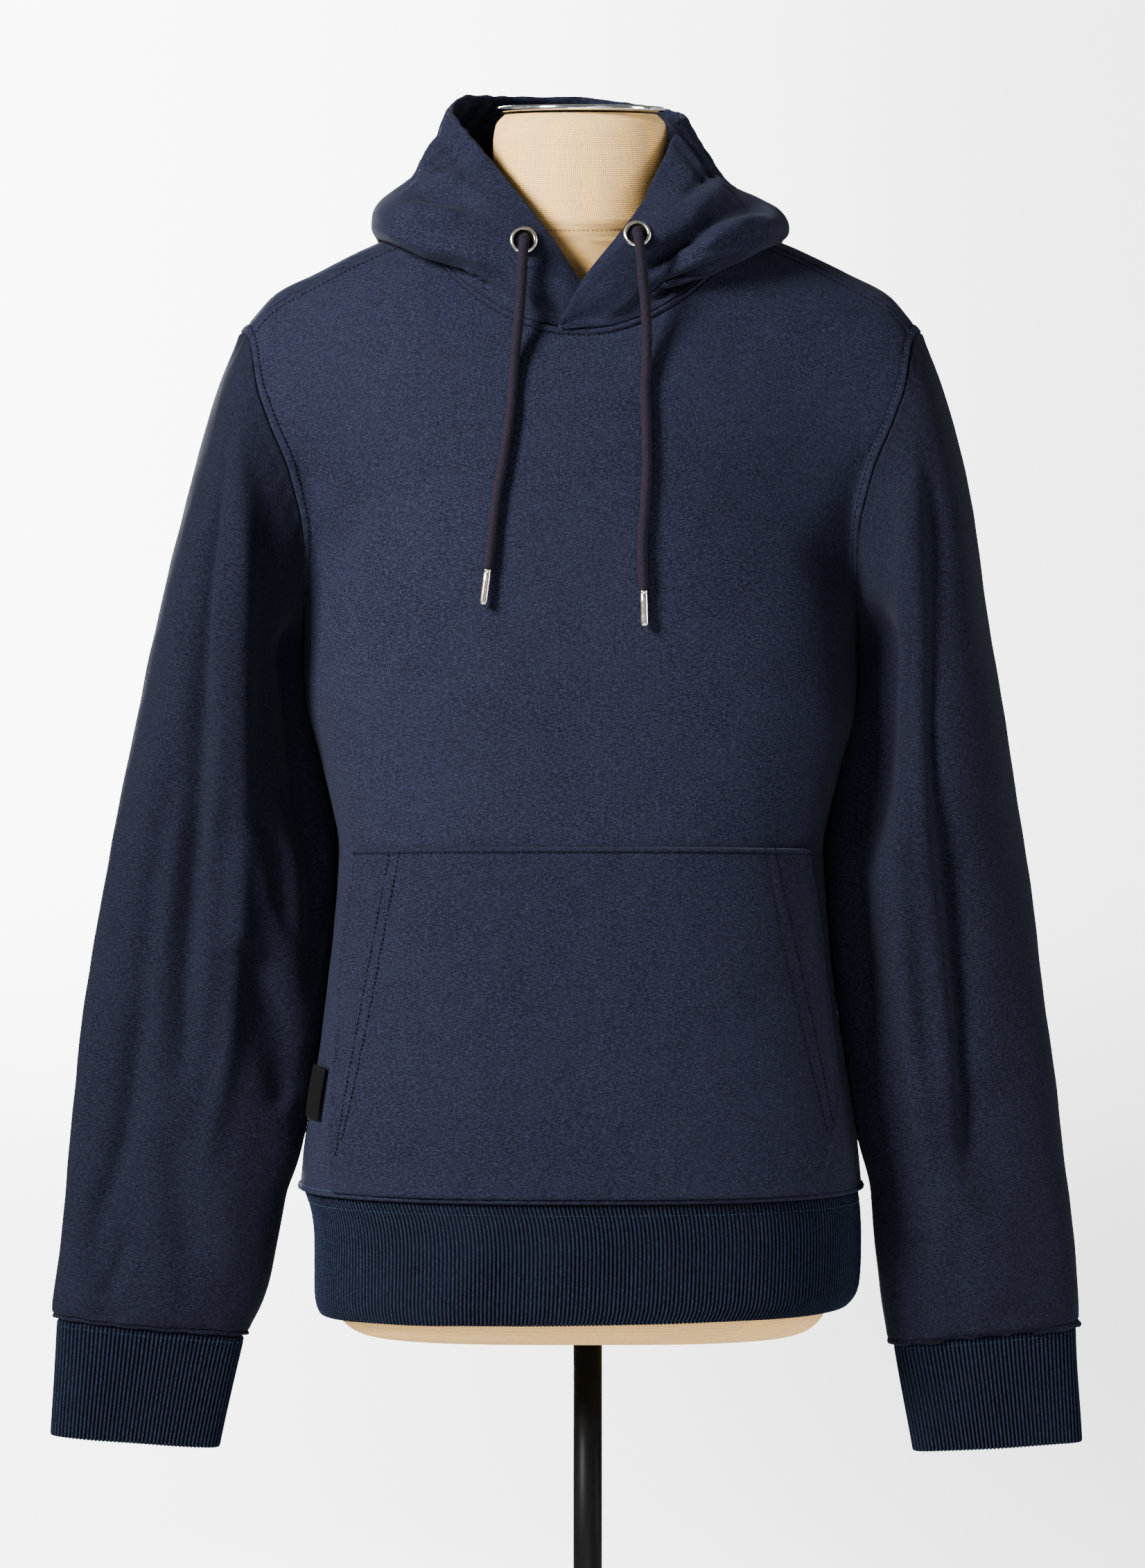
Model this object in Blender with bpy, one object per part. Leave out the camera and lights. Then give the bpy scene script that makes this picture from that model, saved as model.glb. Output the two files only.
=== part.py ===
"""Pullover hoodie worn by a limbless dress form on a round-based stand.

Metres, +Z up, the garment faces -Y and the wearer's left arm is at +X. The origin is the centre of
the base's underside. Tables are in millimetres and degrees, and MM turns them into metres.
"""
import math
from bisect import bisect_right
from collections import namedtuple
from functools import lru_cache

import bmesh
import bpy
from mathutils import Vector
from mathutils.bvhtree import BVHTree

MM = 0.001

# ---- driving sizes -------------------------------------------------------------------------------
CLOTH = 2.0 * MM            # wall of the brushed jersey
RIB_WALL = 2.2 * MM         # wall of the ribbing, measured to the middle of the ribs
RIB_PITCH = 2.6 * MM        # one rib and one furrow
WAISTBAND_GIRTH = 940 * MM
CUFF_GIRTH = 250 * MM
RIB_RISE = 0.4 * MM         # a rib stands this far above the middle, a furrow as far below
SEAM = 0.3 * MM             # parting between two pieces
GARMENT_X = -4.5 * MM       # the torso hangs this far beside the pole's axis

WAIST_SEAM_Z = 0.7705       # waistband to body
UNDERARM_Z = 1.150          # lowest point of the armholes
BODY_SQUARENESS = 2.5       # exponent of the body's superellipse sections

ARMHOLE_DEPTH = 62 * MM     # half of the armhole's width, front to back
SHOULDER_SEAM_TURN = 78.0   # the shoulder seam lies in front of the ridge, which is at 90 degrees
CHEST_FULLNESS = 0.85       # how long the chest stays deep before it turns over the shoulder
NECK_HALF = 98 * MM         # half of the neck opening's width
NECK_FRONT_TURN = 43.4      # turn at which the neck opening crosses the centre front
NECK_BACK_TURN = 119.0      # and the centre back
NECK_Y = -15 * MM           # axis of the neck opening
PANEL_COLUMNS = 11          # columns of a panel from its middle to its side
NECK_COLUMNS = 5            # of which these end on the neckline, and the rest on the shoulder seam
TRUNK_ROWS = {"front": 7, "back": 6}
CHEST_ROWS = {"front": 8, "back": 9}
ROW_CROWDING = 0.9          # below 1 the rows stand closer together towards the shoulder
WAIST_HALF = 170 * MM       # the columns are spaced evenly round a section of this size
WAIST_DEPTH = 118 * MM
ARM_WALL_LEAN = 0.45        # how far the wall's direction at the armhole leans out

DISC_RADIUS = 55 * MM
DISC_THICK = 3.6 * MM
DISC_FOOT = 20 * MM         # radius of the raised foot under the disc
DISC_LIFT = 1.2 * MM        # height of the foot
NECK_TOP_Z = 1.4735
POLE_RADIUS = 9.5 * MM
FORM_BOTTOM_Z = 0.6755
BASE_RADIUS = 190 * MM
BASE_THICK = 10 * MM
BOSS_RADIUS = 24 * MM
BOSS_TOP_Z = 42 * MM

EYELET_RADIUS = 9.0 * MM
EYELET_HOLE = 4.6 * MM
EYELET_THICK = 1.6 * MM
EYELET_EASE = 0.9 * MM      # clears the curve of the cloth under the ring
CORD_RADIUS = 3.5 * MM
TIP_RADIUS = 2.6 * MM
TIP_LENGTH = 23 * MM

BodyRow = namedtuple("BodyRow", "height half_width front back")
BODY = (
    BodyRow(770.5, 184.5, 121.0, 117.0),
    BodyRow(795.0, 182.5, 121.0, 116.0),
    BodyRow(822.0, 178.5, 120.5, 114.0),
    BodyRow(873.0, 170.5, 119.5, 109.0),
    BodyRow(915.0, 165.0, 118.5, 105.0),
    BodyRow(964.0, 160.5, 117.5, 102.0),
    BodyRow(993.0, 159.0, 117.5, 102.0),
    BodyRow(1050.0, 170.0, 118.5, 105.0),
    BodyRow(1096.0, 180.5, 119.5, 110.0),
    BodyRow(1150.0, 182.0, 120.0, 115.0),
)

# Height of the shoulder's ridge at a distance from the middle.
RidgeRow = namedtuple("RidgeRow", "across height")
RIDGE = (
    RidgeRow(0.0, 1418.0),
    RidgeRow(60.0, 1414.0),
    RidgeRow(100.0, 1402.5),
    RidgeRow(140.0, 1387.0),
    RidgeRow(175.0, 1370.0),
    RidgeRow(200.0, 1356.5),
    RidgeRow(222.5, 1331.0),
)

# Distance of the armhole's edge from the middle. A turn of 0 is the underarm, 90 the shoulder tip.
ArmholeRow = namedtuple("ArmholeRow", "turn front back")
ARMHOLE = (
    ArmholeRow(0.0, 182.0, 182.0),
    ArmholeRow(14.0, 179.5, 181.5),
    ArmholeRow(28.0, 180.0, 185.0),
    ArmholeRow(40.0, 188.0, 193.0),
    ArmholeRow(51.0, 202.0, 204.0),
    ArmholeRow(60.0, 210.0, 212.0),
    ArmholeRow(72.0, 214.5, 216.0),
    ArmholeRow(90.0, 222.5, 222.5),
)

# Sections of the waistband, from its seam down.
BandRow = namedtuple("BandRow", "height half_width front back shift")
WAISTBAND = (
    BandRow(770.2, 181.5, 118.5, 114.5, 0.0),
    BandRow(704.0, 178.0, 115.5, 111.5, 4.0),
    BandRow(691.5, 172.5, 111.5, 108.0, 1.5),
)

# Sections of a sleeve: its outer and inner edge seen from the front, half its depth and its middle.
SleeveRow = namedtuple("SleeveRow", "outer_x outer_z inner_x inner_z half_depth middle_y")
SLEEVES = {
    "right": (
        SleeveRow(281.0, 1128.0, 187.5, 1112.0, 78.0, 4.0),
        SleeveRow(297.0, 1055.0, 183.0, 1035.0, 66.0, 2.0),
        SleeveRow(309.0, 993.0, 167.5, 975.0, 50.0, -2.0),
        SleeveRow(320.0, 932.0, 169.5, 915.0, 41.0, -6.0),
        SleeveRow(329.0, 868.0, 179.0, 850.0, 35.0, -10.0),
        SleeveRow(336.0, 800.0, 190.5, 782.0, 32.0, -12.0),
        SleeveRow(343.0, 728.0, 204.0, 712.0, 30.0, -13.0),
        SleeveRow(347.0, 694.0, 216.0, 682.0, 27.0, -13.0),
        SleeveRow(344.5, 685.6, 220.5, 674.1, 20.3, -13.0),
    ),
    "left": (
        SleeveRow(270.0, 1126.0, 187.5, 1112.0, 80.0, 2.0),
        SleeveRow(284.0, 1045.0, 178.0, 1030.0, 68.0, 0.0),
        SleeveRow(293.0, 985.0, 163.5, 968.0, 55.0, -2.0),
        SleeveRow(302.0, 915.0, 170.5, 900.0, 46.0, -4.0),
        SleeveRow(309.0, 860.0, 179.5, 845.0, 41.0, -5.0),
        SleeveRow(316.0, 805.0, 189.0, 790.0, 37.0, -5.0),
        SleeveRow(323.0, 755.0, 192.5, 742.0, 34.0, -5.0),
        SleeveRow(327.5, 690.0, 201.0, 678.0, 28.0, -5.0),
        SleeveRow(326.0, 680.3, 205.0, 669.1, 20.3, -5.0),
    ),
}
CUFFS = {
    "right": (
        SleeveRow(343.5, 685.3, 221.5, 673.8, 19.5, -13.0),
        SleeveRow(348.0, 608.5, 238.0, 600.5, 16.0, -13.0),
    ),
    "left": (
        SleeveRow(325.0, 680.0, 206.0, 668.8, 19.5, -5.0),
        SleeveRow(329.0, 603.0, 219.5, 597.0, 16.0, -5.0),
    ),
}
SLEEVE_SQUARENESS = 2.15
CUFF_SQUARENESS = 2.3
SLEEVE_CAP = 0.24           # share of the sleeve's length from the armhole to its first section
SLEEVE_LENGTH = 640 * MM    # flat size, along the sleeve
SLEEVE_GIRTH = 360 * MM     # flat size, around the upper arm
CAP_ROWS = 5
SLEEVE_ROWS = 9
CAP_LEAN = (0.62, 0.22, 0.28, 0.80)     # how the cloth leaves the armhole: out, less on top, fore, down
FOLD_START = 0.12           # the folds grow over this share from the armhole
FOLD_END = 0.05             # and die over this share above the cuff

# The hood's profile at angles about the neck: 0 is the centre front and 180 the centre back. Each
# point has its distance from the neck's axis and its height, from the neck seam out to the rim.
HoodRow = namedtuple("HoodRow", "angle low_r low_z lobe_r lobe_z top_r top_z rim_r rim_z")
HOOD = {
    "right": (
        HoodRow(-12.0, 79.2, 1339.5, 79.8, 1341.5, 80.0, 1343.0, 80.0, 1345.0),
        HoodRow(0.0, 80.0, 1345.0, 81.0, 1351.0, 80.5, 1357.0, 79.0, 1363.0),
        HoodRow(26.0, 84.5, 1352.0, 92.0, 1373.0, 88.0, 1394.0, 75.0, 1410.0),
        HoodRow(50.0, 102.0, 1364.0, 119.0, 1387.0, 102.0, 1413.0, 72.0, 1438.0),
        HoodRow(72.0, 120.0, 1386.0, 138.0, 1400.0, 106.0, 1431.0, 77.0, 1459.0),
        HoodRow(95.0, 130.0, 1391.0, 141.0, 1405.0, 103.0, 1441.0, 86.0, 1472.0),
        HoodRow(130.0, 130.0, 1370.0, 156.0, 1366.0, 133.0, 1426.0, 92.0, 1483.0),
        HoodRow(180.0, 110.0, 1335.0, 146.0, 1292.0, 162.0, 1388.0, 100.0, 1486.5),
    ),
    "left": (
        HoodRow(-12.0, 79.2, 1339.5, 79.8, 1341.5, 80.0, 1343.0, 80.0, 1345.0),
        HoodRow(0.0, 80.0, 1345.0, 81.0, 1351.0, 80.5, 1357.0, 79.0, 1363.0),
        HoodRow(26.0, 84.5, 1352.0, 90.0, 1371.0, 86.5, 1395.0, 75.0, 1405.0),
        HoodRow(50.0, 102.0, 1364.0, 119.0, 1384.0, 98.0, 1408.0, 63.5, 1433.0),
        HoodRow(72.0, 120.0, 1384.0, 136.0, 1396.0, 94.0, 1427.0, 63.0, 1456.0),
        HoodRow(95.0, 130.0, 1391.0, 139.5, 1401.0, 88.0, 1437.0, 66.5, 1470.0),
        HoodRow(130.0, 130.0, 1370.0, 154.0, 1366.0, 122.0, 1424.0, 82.0, 1477.0),
        HoodRow(180.0, 110.0, 1335.0, 146.0, 1292.0, 162.0, 1388.0, 100.0, 1486.5),
    ),
}
HOOD_WALL = 2.2 * MM
HOOD_PLACES = (0.0, 1.0, 1.5, 2.0, 2.5, 3.0, 4.0, 4.5, 5.0, 5.5, 6.0)     # rows, by the profile's points
LOBE_ROUND = 6.0 * MM       # the lobe's bend is this wide to either side
HOOD_EASE = 3.4 * MM        # the hood stays this far off the shoulders and the back
HOOD_RISE = 8.0 * MM        # and stands up this far at the neck seam before it falls outwards
OVERLAP_STEP = 5.6 * MM     # one hood panel passes this far outside the other at the centre front
OVERLAP_TURNS = (10, 26)    # and comes back between these angles
OVERLAP = {"left": -0.08, "right": -0.09}       # how far each panel runs past the centre front

# Folds of a tube: where each starts and ends, along the tube and around it, and its size.
FoldRow = namedtuple("FoldRow", "from_along from_around to_along to_around width rise")
SLEEVE_FOLDS = {
    "right": (
        FoldRow(0.04, 62.0, 0.60, 80.0, 26.0, 7.0),
        FoldRow(0.10, 122.0, 0.48, 118.0, 24.0, -8.0),
        FoldRow(0.50, 105.0, 0.66, 150.0, 22.0, -7.0),
        FoldRow(0.56, 62.0, 0.95, 70.0, 24.0, -3.5),
        FoldRow(0.16, 250.0, 0.60, 262.0, 26.0, 5.0),
        FoldRow(0.55, 215.0, 0.70, 250.0, 22.0, -5.0),
    ),
    "left": (
        FoldRow(0.04, 58.0, 0.70, 78.0, 26.0, 7.0),
        FoldRow(0.10, 120.0, 0.52, 116.0, 24.0, -8.0),
        FoldRow(0.62, 112.0, 0.90, 78.0, 24.0, 4.0),
        FoldRow(0.16, 246.0, 0.62, 258.0, 26.0, 5.0),
        FoldRow(0.52, 222.0, 0.66, 256.0, 22.0, -5.0),
    ),
}

# The pocket's outline: its two side edges at a height.
PocketRow = namedtuple("PocketRow", "height right left")
POCKET = (
    PocketRow(774.5, 155.0, 154.5),
    PocketRow(792.0, 157.5, 158.0),
    PocketRow(810.0, 161.0, 162.0),
    PocketRow(833.0, 160.0, 164.5),
    PocketRow(880.0, 155.5, 160.0),
    PocketRow(932.0, 151.5, 154.0),
    PocketRow(997.0, 144.0, 144.0),
)
PATCH_EASE = 2.0 * MM       # the pocket lies this far off the panel, which has flat facets
POCKET_TOP_RISE = 4 * MM    # the pocket's top edge is this much higher in the middle
LABEL_WALL = 1.0 * MM
LABEL_BOTTOM_Z = 0.819
LABEL_TOP_Z = 0.853
LABEL_TURNS = (84.0, 69.0)  # around the body's side, 90 is the side seam
POCKET_ROWS = 8
POCKET_COLUMNS = 14

# Routes of the two drawstring ends, from the eyelet down to the metal tip.
CORD_ROUTES = {
    "right": (
        (-36.8, -96.6, 1390.3), (-36.5, -99.0, 1390.9), (-36.4, -101.7, 1390.9), (-36.5, -104.1, 1389.8),
        (-36.7, -105.8, 1387.7), (-37.0, -106.4, 1385.1), (-37.4, -106.3, 1378.5), (-38.2, -105.4, 1363.0),
        (-39.6, -104.1, 1345.0), (-41.5, -103.3, 1326.0), (-43.0, -103.6, 1310.0), (-44.0, -105.7, 1296.0),
        (-45.4, -109.2, 1280.0), (-49.6, -114.0, 1251.0), (-54.4, -116.7, 1224.0), (-57.6, -119.4, 1196.0),
        (-59.8, -120.8, 1179.5),
    ),
    "left": (
        (36.1, -94.6, 1394.5), (36.1, -96.9, 1395.3), (36.2, -99.8, 1395.6), (36.4, -102.5, 1394.6),
        (36.8, -104.4, 1392.5), (37.2, -105.2, 1389.6), (38.2, -105.4, 1382.0), (39.6, -104.8, 1366.0),
        (41.4, -103.9, 1347.0), (42.2, -103.3, 1328.0), (42.0, -103.8, 1311.0), (41.2, -105.8, 1297.0),
        (41.8, -111.5, 1270.0), (42.2, -115.4, 1246.0), (41.0, -118.5, 1222.0), (39.2, -121.3, 1195.0),
        (40.0, -122.8, 1166.0),
    ),
}
EYELETS = {"right": (-36.0, 1390.0), "left": (36.5, 1393.5)}

NeckRow = namedtuple("NeckRow", "height radius")
NECK = (
    NeckRow(1290.0, 62.0),
    NeckRow(1340.0, 66.0),
    NeckRow(1365.0, 63.0),
    NeckRow(1390.0, 59.5),
    NeckRow(1425.0, 57.8),
    NeckRow(1455.0, 57.3),
    NeckRow(1467.0, 55.5),
    NeckRow(1473.5, 50.0),
)
FORM_LEVELS = (
    675.5, 677.0, 683.0, 697.0, 770.0, 850.0, 920.0, 990.0, 1060.0, 1120.0, 1180.0, 1235.0, 1280.0,
    1315.0, 1340.0, 1360.0, 1375.0, 1388.0, 1398.0, 1414.0, 1455.0, 1467.0, 1473.5)
FORM_EASE = 7 * MM          # the cloth stands off the form this far at the chest and the back
SHOULDER_EASE = 3.2 * MM    # and this far above its shoulders, the wall included
NECK_EASE = 8.0 * MM        # with this much more beside the neck
FORM_HIP_HALF = 163 * MM
FORM_HIP_DEPTH = 106 * MM
ARM_PLATE_X = 172 * MM
FORM_AXIS_Y = -8 * MM
FORM_SIDE_EASE = 9 * MM     # the cloth stands off the form's sides this far
FORM_EDGE_Z = 700 * MM      # below this the form rounds in to its underside
FORM_EDGE_TUCK = 24 * MM    # by this much
FORM_SIDES = 28
ARM_PLATE_POWER = 8         # how squarely the form ends at its arm plates
NECK_BLEND = 14             # how closely the neck and the shoulders keep their own shapes where they meet

MATERIALS = {
    "jersey": ((0.022, 0.030, 0.062), 0.92, 0.0),
    "ribbing": ((0.014, 0.024, 0.050), 0.90, 0.0),
    "linen": ((0.62, 0.50, 0.34), 0.85, 0.0),
    "nickel": ((0.62, 0.60, 0.56), 0.28, 1.0),
    "cord": ((0.028, 0.022, 0.036), 0.88, 0.0),
    "label": ((0.020, 0.020, 0.020), 0.70, 0.0),
    "enamel": ((0.012, 0.013, 0.014), 0.42, 0.0),
}


# ---- tables and curves ---------------------------------------------------------------------------
def lookup(rows, key, column, at):
    """Value of a table's column at a place, on a smooth curve through its rows."""
    places = [getattr(row, key) for row in rows]
    values = [getattr(row, column) for row in rows]
    if at <= places[0]:
        return values[0]
    if at >= places[-1]:
        return values[-1]
    i = bisect_right(places, at) - 1
    span = places[i + 1] - places[i]
    t = (at - places[i]) / span

    def slope(k):
        if k == 0 or k == len(places) - 1:
            k0, k1 = (0, 1) if k == 0 else (k - 1, k)
            return (values[k1] - values[k0]) / (places[k1] - places[k0])
        before = (values[k] - values[k - 1]) / (places[k] - places[k - 1])
        after = (values[k + 1] - values[k]) / (places[k + 1] - places[k])
        return 0.0 if before * after <= 0 else 2 * before * after / (before + after)

    s0, s1 = slope(i) * span, slope(i + 1) * span
    return (values[i] * (2 * t ** 3 - 3 * t ** 2 + 1) + s0 * (t ** 3 - 2 * t ** 2 + t)
            + values[i + 1] * (3 * t ** 2 - 2 * t ** 3) + s1 * (t ** 3 - t ** 2))


def smooth(t):
    """0 to 1 with flat ends."""
    t = min(max(t, 0.0), 1.0)
    return t * t * (3 - 2 * t)


def spline(points, t):
    """Point on a smooth curve through a few points, at t from 0 to 1."""
    place = min(max(t, 0.0), 1.0) * (len(points) - 1)
    i = min(int(place), len(points) - 2)
    f = place - i
    a, b = points[i], points[i + 1]
    before = points[i - 1] if i > 0 else a * 2 - b
    after = points[i + 2] if i + 2 < len(points) else b * 2 - a
    return 0.5 * (a * 2 + (b - before) * f + (before * 2 - a * 5 + b * 4 - after) * f ** 2
                  + (a * 3 - before - b * 3 + after) * f ** 3)


def even_turns(squareness, half_width, depth, count):
    """Turns of a superellipse's quarter, from its front to its side, at even distances."""
    steps = 400
    xs = [half_width * math.sin(math.pi / 2 * k / steps) ** (2 / squareness) for k in range(steps + 1)]
    ys = [depth * math.cos(math.pi / 2 * k / steps) ** (2 / squareness) for k in range(steps)] + [0.0]
    run = [0.0]
    for k in range(steps):
        run.append(run[-1] + math.hypot(xs[k + 1] - xs[k], ys[k + 1] - ys[k]))
    turns = []
    for j in range(count + 1):
        want = run[-1] * j / count
        k = min(bisect_right(run, want) - 1, steps - 1)
        part = (want - run[k]) / (run[k + 1] - run[k])
        turns.append(90.0 * (k + part) / steps)
    return turns


# ---- the body of the garment ---------------------------------------------------------------------
def ridge(x):
    """Height of the shoulder's ridge."""
    return lookup(RIDGE, "across", "height", abs(x) / MM) * MM


def armhole_reach(turn, side):
    """Distance of the armhole's edge from the middle."""
    return lookup(ARMHOLE, "turn", side, turn) * MM


def upper_body(share, turn_over):
    """Point of the chest, shoulders or back.

    share is the place across, from -1 to 1 at the armholes. turn_over goes from 0 at the front of
    the chest over the ridge at 90 to 180 at the back.
    """
    side, turn = ("front", turn_over) if turn_over <= 90 else ("back", 180 - turn_over)
    angle = math.radians(turn)
    full = abs(share)
    x = share * armhole_reach(turn, side)
    depth = lookup(BODY, "height", side, UNDERARM_Z / MM) * MM * math.cos(angle) ** CHEST_FULLNESS
    arm = ARMHOLE_DEPTH * math.sin(2 * angle)
    close = 1 / BODY_SQUARENESS + (1 - 1 / BODY_SQUARENESS) * smooth(turn / 25)
    y = arm + (depth - arm) * max(1 - full ** BODY_SQUARENESS, 0.0) ** close
    z = UNDERARM_Z + (ridge(x) - UNDERARM_Z) * math.sin(angle) ** (1 + full ** 3)
    return Vector((x, -y if side == "front" else y, z))


def trunk(turn, height, side):
    """Point of the body below the underarms. turn is 0 in the middle and 90 at the side seam."""
    angle = math.radians(abs(turn))
    half_width = lookup(BODY, "height", "half_width", height / MM) * MM
    depth = lookup(BODY, "height", side, height / MM) * MM
    x = half_width * math.sin(angle) ** (2 / BODY_SQUARENESS)
    y = depth * max(math.cos(angle), 0.0) ** (2 / BODY_SQUARENESS)
    return Vector((math.copysign(x, turn), -y if side == "front" else y, height))


def body_depth(x, height, side):
    """How far the garment's surface is from the middle plane at a place seen from the front."""
    if height <= UNDERARM_Z:
        half_width = lookup(BODY, "height", "half_width", height / MM) * MM
        depth = lookup(BODY, "height", side, height / MM) * MM
        return depth * max(1 - (abs(x) / half_width) ** BODY_SQUARENESS, 0.0) ** (1 / BODY_SQUARENESS)
    part = (height - UNDERARM_Z) / (ridge(x) - UNDERARM_Z)
    if part >= 1:
        return 0.0
    turn = 45.0
    for _ in range(12):
        full = min(abs(x) / armhole_reach(turn, side), 1.0)
        turn = math.degrees(math.asin(part ** (1 / (1 + full ** 3))))
    share = min(abs(x) / armhole_reach(turn, side), 1.0)
    point = upper_body(share, turn if side == "front" else 180 - turn)
    return abs(point.y)


def neckline(t):
    """Point of half the neck opening: t is 0 at the centre front, 1 at the shoulder, 2 at the back."""
    if t <= 1:
        beta = math.radians(90 * t)
        turn = SHOULDER_SEAM_TURN - (SHOULDER_SEAM_TURN - NECK_FRONT_TURN) * math.cos(beta)
    else:
        beta = math.radians(90 * (2 - t))
        turn = SHOULDER_SEAM_TURN + (NECK_BACK_TURN - SHOULDER_SEAM_TURN) * math.cos(beta)
    x = NECK_HALF * math.sin(beta)
    reach = armhole_reach(turn, "front") if turn <= 90 else armhole_reach(180 - turn, "back")
    return x / reach, turn


def top_edge(u, side):
    """Share and turn at which a panel's column ends, on the neckline or the shoulder seam."""
    neck_share = NECK_COLUMNS / PANEL_COLUMNS
    if u <= neck_share:
        part = u / neck_share
        return neckline(part if side == "front" else 2 - part)
    reach = armhole_reach(SHOULDER_SEAM_TURN, "front")
    start = NECK_HALF / reach
    return start + (1 - start) * (u - neck_share) / (1 - neck_share), SHOULDER_SEAM_TURN


def chest_turns(side):
    """Turns of a panel's armhole edge, from the underarm to the shoulder seam."""
    count = CHEST_ROWS[side]
    last = SHOULDER_SEAM_TURN if side == "front" else 180 - SHOULDER_SEAM_TURN
    return [last * (i / count) ** ROW_CROWDING for i in range(count + 1)]


def surface_normal(share, turn_over):
    """Outward direction of the upper body, from points close by."""
    step_share, step_turn = 0.004, 0.6
    a = upper_body(max(share - step_share, -1), turn_over)
    b = upper_body(min(share + step_share, 1), turn_over)
    c = upper_body(share, max(turn_over - step_turn, 0))
    d = upper_body(share, min(turn_over + step_turn, 180))
    return (b - a).cross(d - c).normalized()


def armhole_edge(around):
    """Point and direction of the wall at the armhole; around is 0 at the shoulder tip, 90 in front."""
    around %= 360
    point = upper_body(1, 90 - around / 2 if around <= 180 else 270 - around / 2)
    angle = math.radians(around)
    return point, Vector((ARM_WALL_LEAN, -math.sin(angle), math.cos(angle))).normalized()


def trunk_normal(sign, turn, height, side):
    """Outward direction of the body below the underarms."""
    along = trunk(sign * turn, height + 2 * MM, side) - trunk(sign * turn, height - 2 * MM, side)
    across = trunk(sign * min(turn + 1, 90), height, side) - trunk(sign * max(turn - 1, 0), height, side)
    here = trunk(sign * turn, height, side)
    normal = across.cross(along)
    if normal.dot(Vector((here.x, here.y, 0))) < 0:
        normal.negate()
    if turn > 89.9:
        normal.y = 0
    if turn < 0.1:
        normal.x = 0
    return normal.normalized()


def panel_columns():
    """Columns of a panel as (sign, share at the underarm, turn of the trunk, place 0 to 1)."""
    turns = even_turns(BODY_SQUARENESS, WAIST_HALF, WAIST_DEPTH, PANEL_COLUMNS)
    columns = []
    for j in range(-PANEL_COLUMNS, PANEL_COLUMNS + 1):
        turn = turns[abs(j)]
        share = math.sin(math.radians(turn)) ** (2 / BODY_SQUARENESS)
        columns.append((-1 if j < 0 else 1, share, turn, abs(j) / PANEL_COLUMNS))
    return columns


def body_panel(side):
    """Outer points of the front or back panel and the wall's direction at each of them."""
    points, normals = [], []
    columns = panel_columns()
    rows = TRUNK_ROWS[side]
    for i in range(rows):
        height = WAIST_SEAM_Z + (UNDERARM_Z - WAIST_SEAM_Z) * i / rows
        points.append([trunk(sign * turn, height, side) for sign, _, turn, _ in columns])
        normals.append([trunk_normal(sign, turn, height, side) for sign, _, turn, _ in columns])
    turns = chest_turns(side)
    for i, edge_turn in enumerate(turns):
        part = edge_turn / turns[-1]
        row, row_normals = [], []
        for sign, share, turn, place in columns:
            top_share, top_turn = top_edge(place, side)
            bottom_turn = 0 if side == "front" else 180
            over = bottom_turn + (top_turn - bottom_turn) * part
            across = share + (top_share - share) * part
            row.append(upper_body(sign * across, over))
            if i == 0:
                normal = trunk_normal(sign, turn, UNDERARM_Z, side)
            elif place > 0.999:
                normal = armhole_edge(2 * (90 - over))[1]
                normal = Vector((sign * normal.x, normal.y, normal.z))
            else:
                normal = surface_normal(sign * across, over)
            row_normals.append(normal)
        points.append(row)
        normals.append(row_normals)
    shift = Vector((0, -SEAM / 2 if side == "front" else SEAM / 2, 0))
    points = [[point + shift for point in row] for row in points]
    return points, normals


# ---- sleeves and cuffs ---------------------------------------------------------------------------
def tube_section(row, around, squareness):
    """Point of a sleeve's or cuff's section; around is 0 at the outer edge and 90 in front."""
    outer = Vector((row.outer_x, 0, row.outer_z)) * MM
    inner = Vector((row.inner_x, 0, row.inner_z)) * MM
    angle = math.radians(around)
    c, s = math.cos(angle), math.sin(angle)
    out = (outer - inner) / 2 * math.copysign(abs(c) ** (2 / squareness), c)
    fore = -row.half_depth * MM * math.copysign(abs(s) ** (2 / squareness), s)
    return (outer + inner) / 2 + out + Vector((0, row.middle_y * MM + fore, 0))


def tube_rows(rows, t):
    """A section between the rows of a table, at t from 0 to 1."""
    edges = spline([Vector(row[:3]) for row in rows], t)
    rest = spline([Vector(row[3:]) for row in rows], t)
    return SleeveRow(*edges, *rest)


def fold_shift(folds, along, around):
    """How far the folds move a sleeve's point out."""
    total = 0.0
    point = Vector((along * SLEEVE_LENGTH, around / 360 * SLEEVE_GIRTH))
    for fold in folds:
        a = Vector((fold.from_along * SLEEVE_LENGTH, fold.from_around / 360 * SLEEVE_GIRTH))
        b = Vector((fold.to_along * SLEEVE_LENGTH, fold.to_around / 360 * SLEEVE_GIRTH))
        line = b - a
        t = (point - a).dot(line) / line.length_squared
        off = (point - a - line * min(max(t, 0), 1)).length
        total += fold.rise * MM * math.exp(-(off / (fold.width * MM * 0.6)) ** 2)
    return total


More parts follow.
